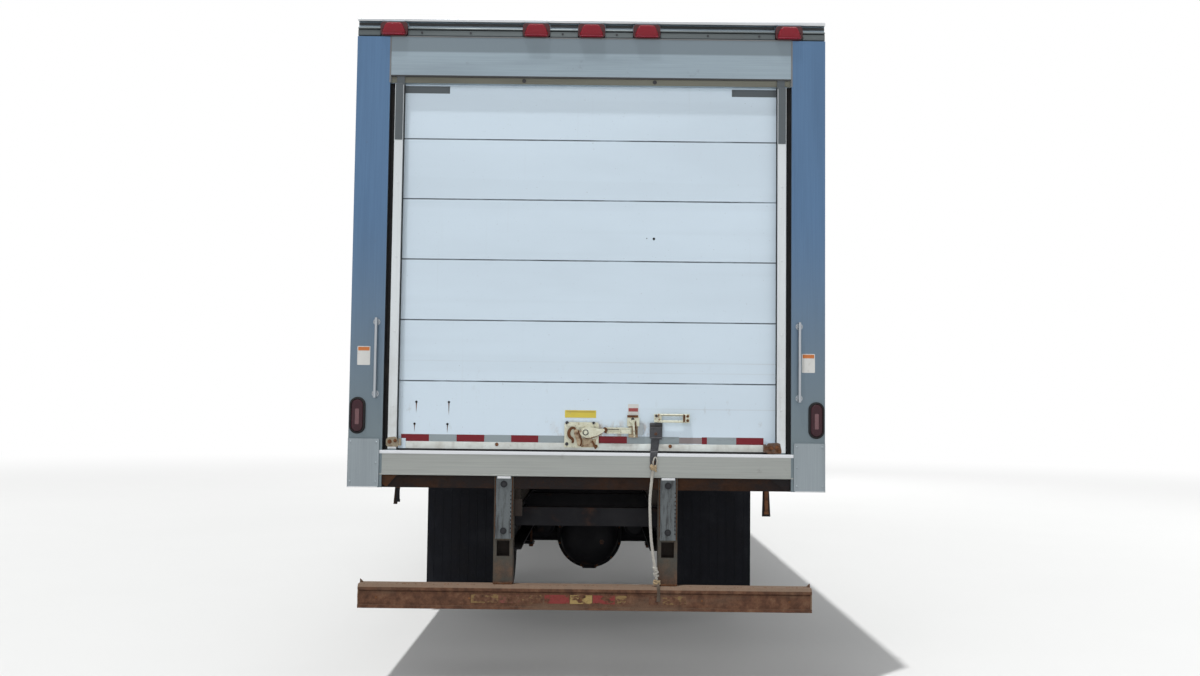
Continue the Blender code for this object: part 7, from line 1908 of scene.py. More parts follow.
def make_cab(looks):
    cab = Piece("cab_trim", slot="black_plastic", smooth=40)
    # The windscreen's seal follows the corners of its glass
    mesh = NODES["windscreen"].data
    low_row = [v.co for v in mesh.vertices if v.co.z < 1.75]
    high_row = [v.co for v in mesh.vertices if v.co.z > 2.42]
    low_x, low_y, low_z = max(c.x for c in low_row), max(c.y for c in low_row), min(c.z for c in low_row)
    high_x, high_y, high_z = (max(c[axis] for c in high_row) for axis in range(3))
    out = Vector((0, high_z - low_z, low_y - high_y)).normalized()
    corners = [Vector(corner) for corner in (
        (-low_x, low_y, low_z), (-high_x, high_y, high_z), (high_x, high_y, high_z), (low_x, low_y, low_z),
    )]
    ring = cut_corners(corners, 0.05, 5)
    closed = []
    for index, point in enumerate(ring):
        following = ring[(index + 1) % len(ring)]
        closed.append(point)
        if (following - point).length > 0.1:
            closed += [point.lerp(following, k / 8) for k in range(1, 8)]
    closed.append(closed[0])
    cab.tube([point + out * 0.003 for point in closed], 0.011, looks["seal"], 8, 0.6)
    # Wipers: pivot, arm and blade, parked along the lower edge
    along = (corners[1] - corners[0]).normalized()
    for x, reach in ((-0.50, 0.62), (0.30, 0.62)):
        foot = Vector((x, low_y + 0.012, low_z + 0.004))
        cab.rod(foot - out * 0.016, foot + out * 0.012, 0.013, looks["plastic"], 14)
        tip = foot + Vector((-reach * 0.62, 0, 0)) + along * 0.13 + out * 0.012
        elbow = foot.lerp(tip, 0.4) + out * 0.014 + along * 0.01
        cab.tube(spline([foot + out * 0.012, elbow, tip], 0.03), 0.0065, looks["plastic"], 8, 0.6)
        blade = [tip + Vector((u, 0, 0)) + along * (0.02 * (1 - abs(u) / 0.27)) - out * 0.002
                 for u in (-0.27, -0.14, 0.0, 0.14, 0.27)]
        cab.tube(spline(blade, 0.03), 0.0055, looks["seal"], 8)
        cab.tube(spline([p + out * 0.007 for p in blade[1:-1]], 0.03), 0.0038, looks["plastic"], 6)
    # Roof lamps
    roof = skin_of("cab_roof")
    for x in (-0.60, -0.16, 0.0, 0.16, 0.60):
        spot = roof.ray_cast(Vector((x, 3.40, 3.2)), Vector((0, 0, -1)))[0]
        base = [(spot.x + u, spot.y + v, spot.z - 0.004)
                for u, v in rounded((-0.055, -0.030), (0.055, 0.045), 0.026, 5)]
        rings = [base]
        for k in range(5):
            turn = k / 4 * math.pi / 2
            share = 1 - 0.45 * (1 - math.cos(turn))
            rings.append([(spot.x + (p[0] - spot.x) * share, spot.y + (p[1] - spot.y) * share,
                           spot.z + 0.004 + 0.026 * math.sin(turn)) for p in base])
        cab.loft(rings, looks["side_amber"])
    # Drip rail over each door, and the cab's rear corner grab handles
    for side in (-1, 1):
        rail = [(side * (leaned(CAB_HALF, z) + 0.004), y, z) for y, z in (
            (2.70, 2.468), (2.90, 2.470), (3.20, 2.470), (3.38, 2.468), (3.455, 2.440), (3.56, 2.200),
            (3.70, 1.900))]
        cab.tube(spline(rail, 0.05), 0.0065, looks["cab"], 8)
        y = 2.760
        bar = [(side * x, y, z) for x, z in (
            (1.001, 1.290), (1.040, 1.310), (1.044, 1.500), (1.036, 1.760), (0.984, 1.900))]
        cab.tube(spline(bar, 0.03), 0.0135, looks["chrome"], 12)
        for z in (1.290, 1.900):
            foot = leaned(CAB_HALF, z)
            cab.rod((side * (foot - 0.002), y, z), (side * (foot + 0.006), y, z), 0.026, looks["chrome"], 18,
                    bevel=0.0015)
    # Rear window seal and pressed ribs in the back wall
    outline = rounded((-0.495, 1.785), (0.495, 2.235), 0.040, 6)
    inner = rounded((-0.470, 1.810), (0.470, 2.210), 0.030, 6)
    rings = [at_y(2.6575, outline), at_y(2.6505, outline), at_y(2.6505, inner), at_y(2.672, inner)]
    cab.loft(rings, looks["seal"], capped=False)
    for z in (1.30, 1.44, 1.58):
        cab.block((-0.82, 2.6515, z - 0.012), (0.82, 2.6555, z + 0.012), looks["cab"], 0.0035, steps=2)
    cab.done()

    inside = Piece("cab_interior", slot="black_plastic", smooth=40)
    slope = Vector((0, -0.17, -0.085)).normalized()
    face = Vector((0, -0.085, 0.17)).normalized()
    origin = Vector((-0.45, COWL, 1.670))
    # Six dials before the driver: rim, face, marks and needle
    for u, v, radius in ((-0.068, 0.070, 0.050), (0.068, 0.070, 0.050), (-0.155, 0.045, 0.030),
                         (0.155, 0.045, 0.030), (-0.155, 0.120, 0.030), (0.155, 0.120, 0.030)):
        centre = origin + Vector((u, 0, 0)) + slope * v
        turn = Matrix.Translation(centre) @ face.to_track_quat("Z", "Y").to_matrix().to_4x4()
        rim = [(radius, -0.002), (radius + 0.006, -0.002), (radius + 0.005, 0.008), (radius + 0.001, 0.009),
               (radius, 0.003)]
        angles = [math.tau * k / 32 for k in range(32)]
        rings = [[(r * math.cos(angle), r * math.sin(angle), h) for r, h in rim] for angle in angles]
        inside.loft(rings, looks["chrome"], turn, capped=False)
        circle = [(radius * math.cos(angle), radius * math.sin(angle)) for angle in angles]
        inside.prism(circle, "Z", -0.001, 0.0015, looks["dial"], turn=turn)
        for k in range(9):
            angle = math.radians(225 - 270 * k / 8)
            mark = Matrix.Rotation(angle, 4, "Z")
            inside.block((radius * 0.74, -0.0010, 0.0014), (radius * 0.90, 0.0010, 0.0022), looks["label"],
                         0.0002, turn @ mark)
        inside.block((-0.006, -0.0011, 0.0022), (radius * 0.72, 0.0011, 0.0034), looks["orange"], 0.0004,
                     turn @ Matrix.Rotation(2.4 + u, 4, "Z"))
    # Two air vents with their slats
    for u in (0.30, 0.42):
        centre = origin + Vector((u + 0.10, 0, 0)) + slope * 0.085
        turn = Matrix.Translation(centre) @ face.to_track_quat("Z", "Y").to_matrix().to_4x4()
        inside.prism(rounded((-0.050, -0.060), (0.050, 0.060), 0.012, 4), "Z", -0.002, 0.007,
                     looks["interior"], 0.002, turn)
        for k in range(5):
            inside.block((-0.040, -0.046 + k * 0.021, 0.006), (0.040, -0.038 + k * 0.021, 0.010),
                         looks["plastic"], 0.001, turn)
    inside.block((0.42, 3.52, 1.440), (0.86, 3.575, 1.455), looks["interior"], 0.003)
    # Two pedals, then the gear lever with its knob and boot
    for x in (-0.56, -0.36):
        inside.block((x - 0.035, 3.700, 1.190), (x + 0.035, 3.712, 1.290), looks["seal"], 0.005)
        inside.rod((x, 3.706, 1.240), (x, 3.800, 1.330), 0.009, looks["frame"], 10)
    inside.tube(spline([(0.0, 3.40, 1.103), (0.0, 3.39, 1.25), (-0.02, 3.33, 1.42), (-0.04, 3.30, 1.56)],
                       0.03), 0.011, looks["plastic"], 10)
    inside.ball((-0.041, 3.298, 1.585), (0.027, 0.027, 0.031), looks["plastic"], 10)
    inside.turned([(0.0, -0.002), (0.085, -0.002), (0.080, 0.010), (0.040, 0.050), (0.018, 0.085),
                   (0.0, 0.085)], (0.0, 3.40, 1.102),
                  looks["seal"], "Z", 24)
    # Sun visors and the floor mat
    for side in (-1, 1):
        inside.block((side * 0.08, 3.375, 2.405), (side * 0.70, 3.400, 2.440), looks["interior"], 0.006,
                     steps=2)
    inside.block((-0.93, 2.90, 1.1005), (0.93, 3.66, 1.106), looks["seal"], 0.002)
    # Trim boards on the back wall, round the rear glass
    wall = 2.7055
    for low, high in (((-0.90, 1.12), (0.90, 1.775)), ((-0.90, 1.785), (-0.50, 2.235)),
                      ((0.50, 1.785), (0.90, 2.235)), ((-0.88, 2.245), (0.88, 2.44))):
        inside.block((low[0], wall, low[1]), (high[0], wall + 0.008, high[1]), looks["interior"], 0.003)
    # The steering wheel's hub
    inside.ball((-0.45, 3.345, 1.665), (0.050, 0.022, 0.050), looks["plastic"], 10)
    inside.done()


def make_front_end(looks):
    nose, body = NOSE, "tilting_hood"
    grille = Piece("grille_bars", body, "chrome", smooth=40)
    half, low, high = 0.5197, 0.8603, 1.3597
    grille.block((-half, nose - 0.030, low), (half, nose - 0.024, high), looks["mesh_black"], 0.001)
    rim = rounded((-half, low), (half, high), 0.020, 5)
    inner = rounded((-half + 0.024, low + 0.024), (half - 0.024, high - 0.024), 0.015, 5)
    rings = [at_y(nose - 0.029, rim), at_y(nose - 0.001, rim), at_y(nose - 0.001, inner),
             at_y(nose - 0.029, inner)]
    grille.loft(rings, looks["chrome"], capped=False, bevel=0.003)
    for k in range(6):
        z = low + 0.052 + k * (high - low - 0.104) / 5
        grille.prism([(nose - 0.026, z - 0.015), (nose - 0.010, z - 0.017), (nose - 0.002, z - 0.004),
                      (nose - 0.003, z + 0.010), (nose - 0.014, z + 0.015), (nose - 0.026, z + 0.012)], "X",
                     -half + 0.020, half - 0.020, looks["chrome"], 0.002)
    for x in every(-half + 0.07, half - 0.07, 0.115):
        grille.block((x - 0.004, nose - 0.026, low + 0.02), (x + 0.004, nose - 0.014, high - 0.02),
                     looks["chrome"], 0.001)
    grille.done("grille")
    hood_skin = skin_of("hood")

    def side_hit(x, y, z):
        """Where the hood's right side stands at y and z, looked for inwards from x, and its normal."""
        spot, normal = hood_skin.ray_cast(Vector((x, y, z)), Vector((-1, 0, 0)))[:2]
        return spot, normal if normal is None or normal.x > 0 else -normal

    for name, side in SIDES:
        lamp = Piece(f"headlamp_unit_{name}", body, "clear_lens", smooth=40)
        left, right, bottom, top = 0.6603, 0.9797, 0.8803, 1.1197
        rim = rounded((left, bottom), (right, top), 0.020, 5)
        inner = rounded((left + 0.012, bottom + 0.012), (right - 0.012, top - 0.012), 0.014, 5)
        rings = [at_y(nose - 0.029, rim), at_y(nose + 0.0095, rim)]
        rings += [at_y(nose + proud, inner) for proud in (0.0115, -0.006, -0.029)]
        lamp.loft(rings, looks["chrome"], capped=False)
        lamp.block((left + 0.008, nose - 0.030, bottom + 0.008), (right - 0.008, nose - 0.024, top - 0.008),
                   looks["plastic"], 0.001)
        middle = (bottom + top) / 2
        for x, radius in ((left + 0.105, 0.085), (right - 0.062, 0.048)):
            lamp.turned([(0.0, -0.024), (radius * 0.5, -0.021), (radius * 0.8, -0.013), (radius, -0.002),
                         (radius + 0.004, -0.002), (radius + 0.004, -0.025), (0.0, -0.027)],
                        (x, nose, middle), looks["chrome"], "Y", 36)
            lamp.ball((x, nose - 0.016, middle), (0.011, 0.010, 0.011), looks["bulb"], 8)
        lamp.prism(inner, "Y", nose + 0.0020, nose + 0.0075, looks["clear_lens"], 0.001)
        lamp.mirrored(side).done(f"headlamp_{name}")

        trim = Piece(f"hood_fittings_{name}", body, "black_plastic", smooth=40)
        # Turn signal on the fender
        spot, out = side_hit(1.6, 5.02, 1.00)
        turn = Matrix.Translation(spot) @ out.to_track_quat("X", "Z").to_matrix().to_4x4()
        trim.prism(rounded((-0.050, -0.028), (0.050, 0.028), 0.024, 5), "X", -0.004, 0.006, looks["plastic"],
                   0.001, turn)
        trim.loft(bulged(at_x, (0, 0), (0.043, 0.021), 0.019, 0.0055, 0.014, 0.012), looks["side_amber"],
                  turn)
        # Louvres in the hood's side, each with a dark strip of painted shade in its gap
        z = 1.50
        for k in range(5):
            y = 4.08 + 0.075 * k
            x = side_hit(1.05, y, z)[0].x
            blade = [(x + 0.002, y, z - 0.075), (x + 0.0045, y - 0.006, z - 0.02),
                     (x + 0.0030, y - 0.010, z + 0.060)]
            trim.tube(spline(blade, 0.02), 0.0085, looks["cab"], 8, 0.5)
            gap = [(x + 0.0005, y - 0.016, z - 0.072), (x + 0.0010, y - 0.022, z - 0.02),
                   (x, y - 0.026, z + 0.055)]
            trim.tube(gap, 0.0050, looks["hole"], 6, 0.4)
        # Rubber hood latch at the fender's rear edge
        x = side_hit(1.6, 3.735, 1.05)[0].x
        trim.block((x - 0.001, 3.712, 1.020), (x + 0.006, 3.758, 1.100), looks["plastic"], 0.003)
        strap = [(x + proud, 3.735, z)
                 for proud, z in ((0.006, 1.032), (0.016, 1.045), (0.018, 1.070), (0.014, 1.092))]
        trim.tube(spline(strap, 0.008), 0.008, looks["seal"], 8)
        trim.rod((x + 0.012, 3.712, 1.094), (x + 0.012, 3.758, 1.094), 0.0085, looks["seal"], 10)
        # Rolled edge round the wheel arch, where the fender stands out far enough for it
        arc = []
        for k in range(33):
            angle = math.radians(-4 + 188 * k / 32)
            y = FRONT_AXLE_Y + 0.579 * math.cos(angle)
            z = TYRE_RADIUS + 0.579 * math.sin(angle)
            spot = side_hit(1.7, y + 0.012 * math.cos(angle), z + 0.012 * math.sin(angle))[0]
            if spot is not None and spot.x >= 1.0:
                arc.append(Vector((spot.x - 0.004, y, z)))
        trim.tube(arc, 0.0075, looks["cab"], 8)
        trim.mirrored(side).done()
    softened("hood", "hood_skin", body, "cab_paint", looks["cab"], 0.012, 0.045)
    softened("cab_roof", "cab_roof_skin", "chassis", "cab_paint", looks["cab"], 0.018, 0.040)

    # The bumper: a bent bar, open at its back, with rolled edges and a shallow channel
    bumper = Piece("bumper_bar", slot="chrome", smooth=40)
    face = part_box("front_bumper")[1].y - 0.006
    section = [(0.100, 0.4005), (0.016, 0.4005), (0.004, 0.408), (0.0, 0.425), (0.0, 0.505), (0.0045, 0.512),
               (0.0045, 0.548), (0.0, 0.555), (0.0, 0.635), (0.004, 0.652), (0.016, 0.6595), (0.100, 0.6595),
               (0.100, 0.6555), (0.020, 0.6555), (0.012, 0.648), (0.008, 0.635), (0.008, 0.425),
               (0.012, 0.412), (0.020, 0.4045), (0.100, 0.4045)]
    half_way = [(0.0, 0.0), (0.35, 0.0), (0.62, 0.001), (0.76, 0.006), (0.84, 0.022), (0.93, 0.054),
                (1.157, 0.143)]
    path = [(-u, v) for u, v in reversed(half_way[1:])] + half_way
    bumper.loft([[(u, face - v - back, z) for back, z in section] for u, v in path], looks["bumper"])
    bumper.done("front_bumper")
    bumper = Piece("bumper_fittings", slot="chrome", smooth=40)
    for side in (-1, 1):
        for x in (0.42, 0.70):
            for z in (0.46, 0.60):
                bumper.bolt((side * x, face - 0.001, z), (0, 1, 0), 0.012, 0.005, looks["galvanised"], 0.017,
                            12)
        bumper.block((side * 0.60, face - 0.090, 0.656), (side * 0.80, face - 0.020, 0.6630), looks["seal"],
                     0.002)
        bumper.turned([(0.048, -0.004), (0.062, -0.004), (0.062, 0.003), (0.058, 0.0055), (0.051, 0.0050),
                       (0.048, 0.001)],
                      (side * 0.57, face, 0.53), looks["galvanised"], "Y", 32)
        bumper.rod((side * 0.57, face - 0.006, 0.53), (side * 0.57, face + 0.0020, 0.53), 0.0485,
                   looks["fog_lens"], 28)
        hook = [(side * 0.30, face - behind, z)
                for behind, z in ((0.12, 0.39), (0.06, 0.375), (0.030, 0.372), (0.026, 0.395))]
        bumper.tube(spline(hook, 0.01), 0.014, looks["frame"], 10)
    bumper.block((-0.155, face - 0.0015, 0.455), (0.155, face + 0.0035, 0.610), looks["plate_blank"], 0.0015)
    bumper.done()


def swelled(pad, voxel, cap):
    """Swells a closed pad as cloth under pressure, keeping every point near where it was."""
    scene = bpy.context.scene
    remesh = pad.modifiers.new("remesh", "REMESH")
    remesh.mode = "VOXEL"
    remesh.voxel_size = voxel
    graph = bpy.context.evaluated_depsgraph_get()
    mesh = bpy.data.meshes.new_from_object(pad.evaluated_get(graph))
    pad.modifiers.clear()
    finish = pad.data.materials[0]
    pad.data = mesh
    mesh.materials.clear()
    mesh.materials.append(finish)
    rest = [vert.co.copy() for vert in mesh.vertices]
    base = min(point.z for point in rest)
    cloth = pad.modifiers.new("cloth", "CLOTH")
    settings = cloth.settings
    settings.quality = 4
    settings.mass = 0.4
    settings.use_pressure = True
    settings.uniform_pressure_force = 4.0
    settings.tension_stiffness = 12
    settings.compression_stiffness = 12
    settings.bending_stiffness = 0.6
    settings.effector_weights.gravity = 0.0
    for step in range(1, 21):
        scene.frame_set(step)
    graph = bpy.context.evaluated_depsgraph_get()
    swollen = pad.evaluated_get(graph).data
    moved = [vert.co.copy() for vert in swollen.vertices]
    pad.modifiers.clear()
    for vert, was, now in zip(mesh.vertices, rest, moved):
        step = now - was
        if step.length > cap:
            step = step.normalized() * cap
        vert.co = was + step
        vert.co.z = max(vert.co.z, base)
    scene.frame_set(1)
    return pad


def sew(pad, letter, places, depth, width):
    """Presses sewn channels into the pad's outside at places along one axis."""
    index = "XYZ".index(letter)
    mesh = pad.data
    centre = sum((vert.co for vert in mesh.vertices), Vector()) / len(mesh.vertices)
    for vert in mesh.vertices:
        press = sum(math.exp(-((vert.co[index] - place) / width) ** 2) for place in places)
        inward = centre - vert.co
        inward[index] = 0
        if inward.length > 1e-6:
            vert.co += inward.normalized() * depth * min(1.0, press)


def make_seats(looks):
    base = Piece("seat_base", slot="frame_black")
    back_y = CAB_BACK + 0.05 + 0.02
    for low_x, high_x in ((-0.86, -0.30), (-0.24, 0.86)):
        base.block((low_x + 0.02, back_y + 0.02, 1.1006), (high_x - 0.02, back_y + 0.50, 1.262),
                   looks["plastic"], 0.012, steps=2)
        base.block((low_x + 0.01, back_y + 0.002, 1.24), (high_x - 0.01, back_y + 0.022, 1.98),
                   looks["plastic"], 0.006)
    base.done()
    for name, low_x, high_x, channels in (
        ("driver", -0.865, -0.295, (-0.77, -0.67, -0.58, -0.49, -0.39)),
        ("bench", -0.245, 0.865, (-0.08, 0.09, 0.26, 0.36, 0.53, 0.70)),
    ):
        for part, low, high in (
            ("cushion", (low_x, back_y + 0.045, 1.266), (high_x, back_y + 0.535, 1.425)),
            ("back", (low_x, back_y + 0.024, 1.440), (high_x, back_y + 0.135, 2.010)),
        ):
            # The block starts smaller than the pad, by what the rounding and swelling add
            shrink = 0.012
            piece = Piece(f"{name}_{part}", slot="grey_fabric", smooth=180)
            low = [value + shrink for value in low]
            high = [value - shrink for value in high]
            if part == "cushion":
                low[2] -= shrink
            piece.block(low, high, looks["fabric"], 0.040, steps=4)
            pad = piece.done()
            swelled(pad, 0.014, 0.014)
            sew(pad, "X", channels, 0.010, 0.010)
            across, place = ("Y", (low[1] + high[1]) / 2) if part == "cushion" else ("Z", 1.86)
            sew(pad, across, (place,), 0.006, 0.010)
            smooth = pad.modifiers.new("smooth", "SUBSURF")
            smooth.levels = smooth.render_levels = 1
            for face in pad.data.polygons:
                face.use_smooth = True
            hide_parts("bench_seat")


def make_looks():
    """Every finish by name."""
    return {
        "door": door_paint(),
        "jamb": paint("jamb_white", (0.66, 0.70, 0.72), 0.4, 0.25, 2.2, 0.4),
        # The header's bluish colour is a painted sky reflection, and its band under the rail is painted shade
        "header": brushed("header_stainless", (0.29, 0.36, 0.41), "X", 0.36, 0.30, metallic=0.6,
                          shaded=(RAIL_BOTTOM - 0.085, RAIL_BOTTOM)),
        "bright_edge": brushed("bright_edge", (0.62, 0.64, 0.66), "X", 0.28, 0.35),
        "rail": brushed("rail_dark", (0.055, 0.056, 0.058), "X", 0.45, 0.5, metallic=0.5),
        "rail_light": brushed("rail_light", (0.13, 0.15, 0.155), "X", 0.45, 0.5, metallic=0.6),
        "lip": brushed("lip_primer", (0.155, 0.155, 0.125), "X", 0.6, 0.5, metallic=0.1),
        "foot_cream": rusted("foot_cream", (0.30, 0.26, 0.19), 0.50, 4.0, (0.24, 0.15, 0.09)),
        "foot_rust": rusted("foot_rust", (0.13, 0.10, 0.085), 0.55, 4.0, (0.17, 0.10, 0.07), glow=0.7),
        "sealant": moulded("sealant", (0.16, 0.165, 0.17), 0.6, 120),
        "dark_steel": cast_black("dark_steel", (0.05, 0.05, 0.055), 0.45, 0.3),
        "housing": moulded("lamp_housing", (0.055, 0.006, 0.008), 0.4, 180, 0.1),
        "marker": lens("marker_lens", (0.22, 0.003, 0.014), (230,), dust=0.03),
        "marker_rim": lens("marker_rim", (0.40, 0.055, 0.085), (230,), dust=0.03),
        # The posts' blue is a painted sky reflection; the greyer colour low down and on the sides is painted
        # reflection too
        "post": brushed("post_stainless", (0.095, 0.175, 0.30), "Z", 0.34, 0.22, (0.165, 0.205, 0.225), 0.7,
                        sides=(0.26, 0.29, 0.31)),
        "bar": brushed("grab_bar_steel", (0.42, 0.45, 0.48), "Z", 0.28, 0.3),
        "seal": rubber("door_seal", (0.012, 0.012, 0.013), 0.22, 0.6),
        "corner": brushed("corner_stainless", (0.275, 0.315, 0.34), "Z", 0.33, 0.30, metallic=0.7),
        "grommet": rubber("lamp_grommet", (0.014, 0.014, 0.015), 0.2, 0.55),
        "tail_lens": lens("tail_lens", (0.032, 0.006, 0.011), (260, 190)),
        "tail_core": lens("tail_core", (0.15, 0.075, 0.082), (330, 240)),
        "label": moulded("label_white", (0.62, 0.62, 0.60), 0.45, 500, 0.35),
        "orange": moulded("label_orange", (0.52, 0.16, 0.04), 0.45, 500, 0.3),
        "yellow_label": moulded("label_yellow", (0.62, 0.50, 0.07), 0.45, 500, 0.3),
        "ochre": moulded("label_ochre", (0.46, 0.35, 0.06), 0.5, 500, 0.4),
        "faded_red": moulded("label_red", (0.30, 0.06, 0.06), 0.5, 500, 0.3),
        "red_tape": tape("tape_red", (0.17, 0.010, 0.018), 0.26),
        "silver_tape": tape("tape_silver", (0.29, 0.34, 0.36), 0.35),
        "peeled_tape": tape("tape_peeled", (0.28, 0.24, 0.24), 0.85, 0.6),
        "grey_tape": tape("tape_grey", (0.10, 0.115, 0.125), 0.25),
        "rail_white": paint("rail_white", (0.66, 0.70, 0.68), 0.4, 0.35, 3.0, 0.8),
        "rusty_bolt": rusted("rusty_bolt", (0.12, 0.09, 0.07), 0.75, 4.0),
        "rust": rusted("heavy_rust", (0.13, 0.075, 0.045), 0.80, 2.4, glow=0.8),
        "bare_rust": rusted("thin_rust", (0.47, 0.38, 0.26), 0.52, 3.5, (0.42, 0.24, 0.12)),
        "cream": cream_paint(),
        "galvanised": brushed("galvanised", (0.36, 0.40, 0.42), "Z", 0.5, 0.4, metallic=0.6),
        # Dark discs and strips that fill openings: painted shade
        "hole": cast_black("dark_hole", (0.006, 0.006, 0.007), 0.2, 0.1),
        "streak": rusted("rust_streak", (0.11, 0.09, 0.08), 0.60, 5.0),
        "sill": brushed("sill_steel", (0.33, 0.345, 0.33), "X", 0.42, 0.30, metallic=0.75),
        "sill_edge": brushed("sill_edge", (0.66, 0.68, 0.71), "X", 0.30, 0.25),
        # These three are darkened close to black: their own rust and black paint, and painted deep shade
        # under the body
        "lower_sill": rusted("lower_sill_rust", (0.014, 0.011, 0.011), 0.48, 0.9, (0.10, 0.05, 0.03),
                             glow=0.25),
        "frame_rust": rusted("frame_rust", (0.014, 0.013, 0.014), 0.50, 1.6, (0.10, 0.055, 0.035), glow=0.5),
        "frame": cast_black("frame_black", (0.007, 0.007, 0.009), 0.3, 0.08),
        "webbing": woven("webbing_black", (0.060, 0.062, 0.070), 0.0026),
        "worn_webbing": woven("webbing_worn", (0.035, 0.033, 0.034), 0.0022),
        "thread": woven("strap_thread", (0.20, 0.20, 0.21), 0.0010),
        "rope": woven("rope_grey", (0.52, 0.50, 0.45), 0.0030, "XZ", 0.25),
        "knot": woven("rope_tan", (0.42, 0.31, 0.18), 0.0030, "XZ", 0.30),
        "dirty_rope": woven("rope_dirty", (0.085, 0.060, 0.040), 0.0030, "XZ", 0.45),
        "guard": guard_steel(),
        "red_patch": worn_tape("patch_red", (0.20, 0.035, 0.032), 0.52),
        "yellow_patch": worn_tape("patch_yellow", (0.32, 0.23, 0.09), 0.50),
        "faint_patch": worn_tape("patch_faint", (0.21, 0.135, 0.055), 0.44),
        "faint_red_patch": worn_tape("patch_faint_red", (0.17, 0.055, 0.042), 0.44),
        "upright_bolt": rusted("upright_bolt", (0.030, 0.032, 0.036), 0.30, 4.0),
        "weld": rusted("weld_bead", (0.095, 0.075, 0.062), 0.60, 5.0, glow=0.6),
        "bright_rust": rusted("edge_rust", (0.20, 0.135, 0.09), 0.45, 3.0, glow=0.8),
        "flap": rubber("flap_rubber", (0.007, 0.008, 0.012), 0.08, 0.62),
        "white": paint("body_white", (0.72, 0.74, 0.75), 0.33, 0.22, 1.7, 0.25, bend=0.002),
        "cab": paint("cab_white", (0.70, 0.71, 0.72), 0.26, 0.14, 1.3, 0.2, 0.4),
        "deck": deck_wood(),
        "aluminium": brushed("body_aluminium", (0.52, 0.54, 0.55), "Y", 0.38, 0.35),
        "tank": brushed("tank_aluminium", (0.44, 0.45, 0.46), "Y", 0.30, 0.35),
        "tyre": rubber("tyre_rubber", (0.013, 0.013, 0.014), 0.32, 0.74),
        "wheel": paint("wheel_paint", (0.55, 0.56, 0.57), 0.42, 0.40, 1.6, 0.6),
        "glass": pane("window_glass"),
        "plastic": moulded("black_plastic", (0.018, 0.018, 0.020), 0.5),
        "fabric": woven("seat_fabric", (0.10, 0.105, 0.115), 0.0030, "XZ", 0.25),
        "chrome": brushed("chrome", (0.62, 0.63, 0.65), "X", 0.12, 0.15, metallic=1.0),
        "clear_lens": pane("lamp_glass", (0.90, 0.92, 0.93), 0.03),
        "rivet": brushed("rivet_aluminium", (0.56, 0.57, 0.58), "Y", 0.42, 0.3),
        "post_rivet": brushed("rivet_stainless", (0.40, 0.43, 0.46), "Z", 0.36, 0.3),
        "aluminium_x": brushed("front_aluminium", (0.52, 0.54, 0.55), "X", 0.38, 0.35),
        "side_red": lens("side_lens_red", (0.36, 0.012, 0.018), (210,)),
        "side_amber": lens("side_lens_amber", (0.62, 0.20, 0.015), (210,)),
        "side_blue": moulded("air_line_blue", (0.02, 0.07, 0.22), 0.45, 300),
        "frame_bolt": rusted("frame_bolt", (0.045, 0.042, 0.042), 0.55, 4.0),
        "lug_nut": rusted("lug_nut", (0.30, 0.30, 0.30), 0.40, 4.0, (0.30, 0.17, 0.09), 0.55),
        "hub_black": cast_black("hub_black", (0.020, 0.020, 0.022), 0.35, 0.45),
        "interior": moulded("interior_grey", (0.085, 0.088, 0.095), 0.6, 320),
        "mirror_glass": mirror_glass(),
        "dial": moulded("dial_face", (0.020, 0.020, 0.022), 0.35, 700, 0.05),
        "mesh_black": grille_mesh(),
        "bulb": pane("bulb_glass", (0.95, 0.92, 0.85), 0.04),
        "fog_lens": lens("fog_lens", (0.55, 0.57, 0.58), (180,), 0.08),
        "plate_blank": moulded("plate_blank", (0.50, 0.52, 0.53), 0.4, 420, 0.3),
        "engine": cast_black("engine_cast", (0.085, 0.088, 0.090), 0.35, 0.55),
        "roof": roof_skin(),
        "bumper": brushed("bumper_chrome", (0.52, 0.53, 0.55), "X", 0.16, 0.20, metallic=1.0),
    }


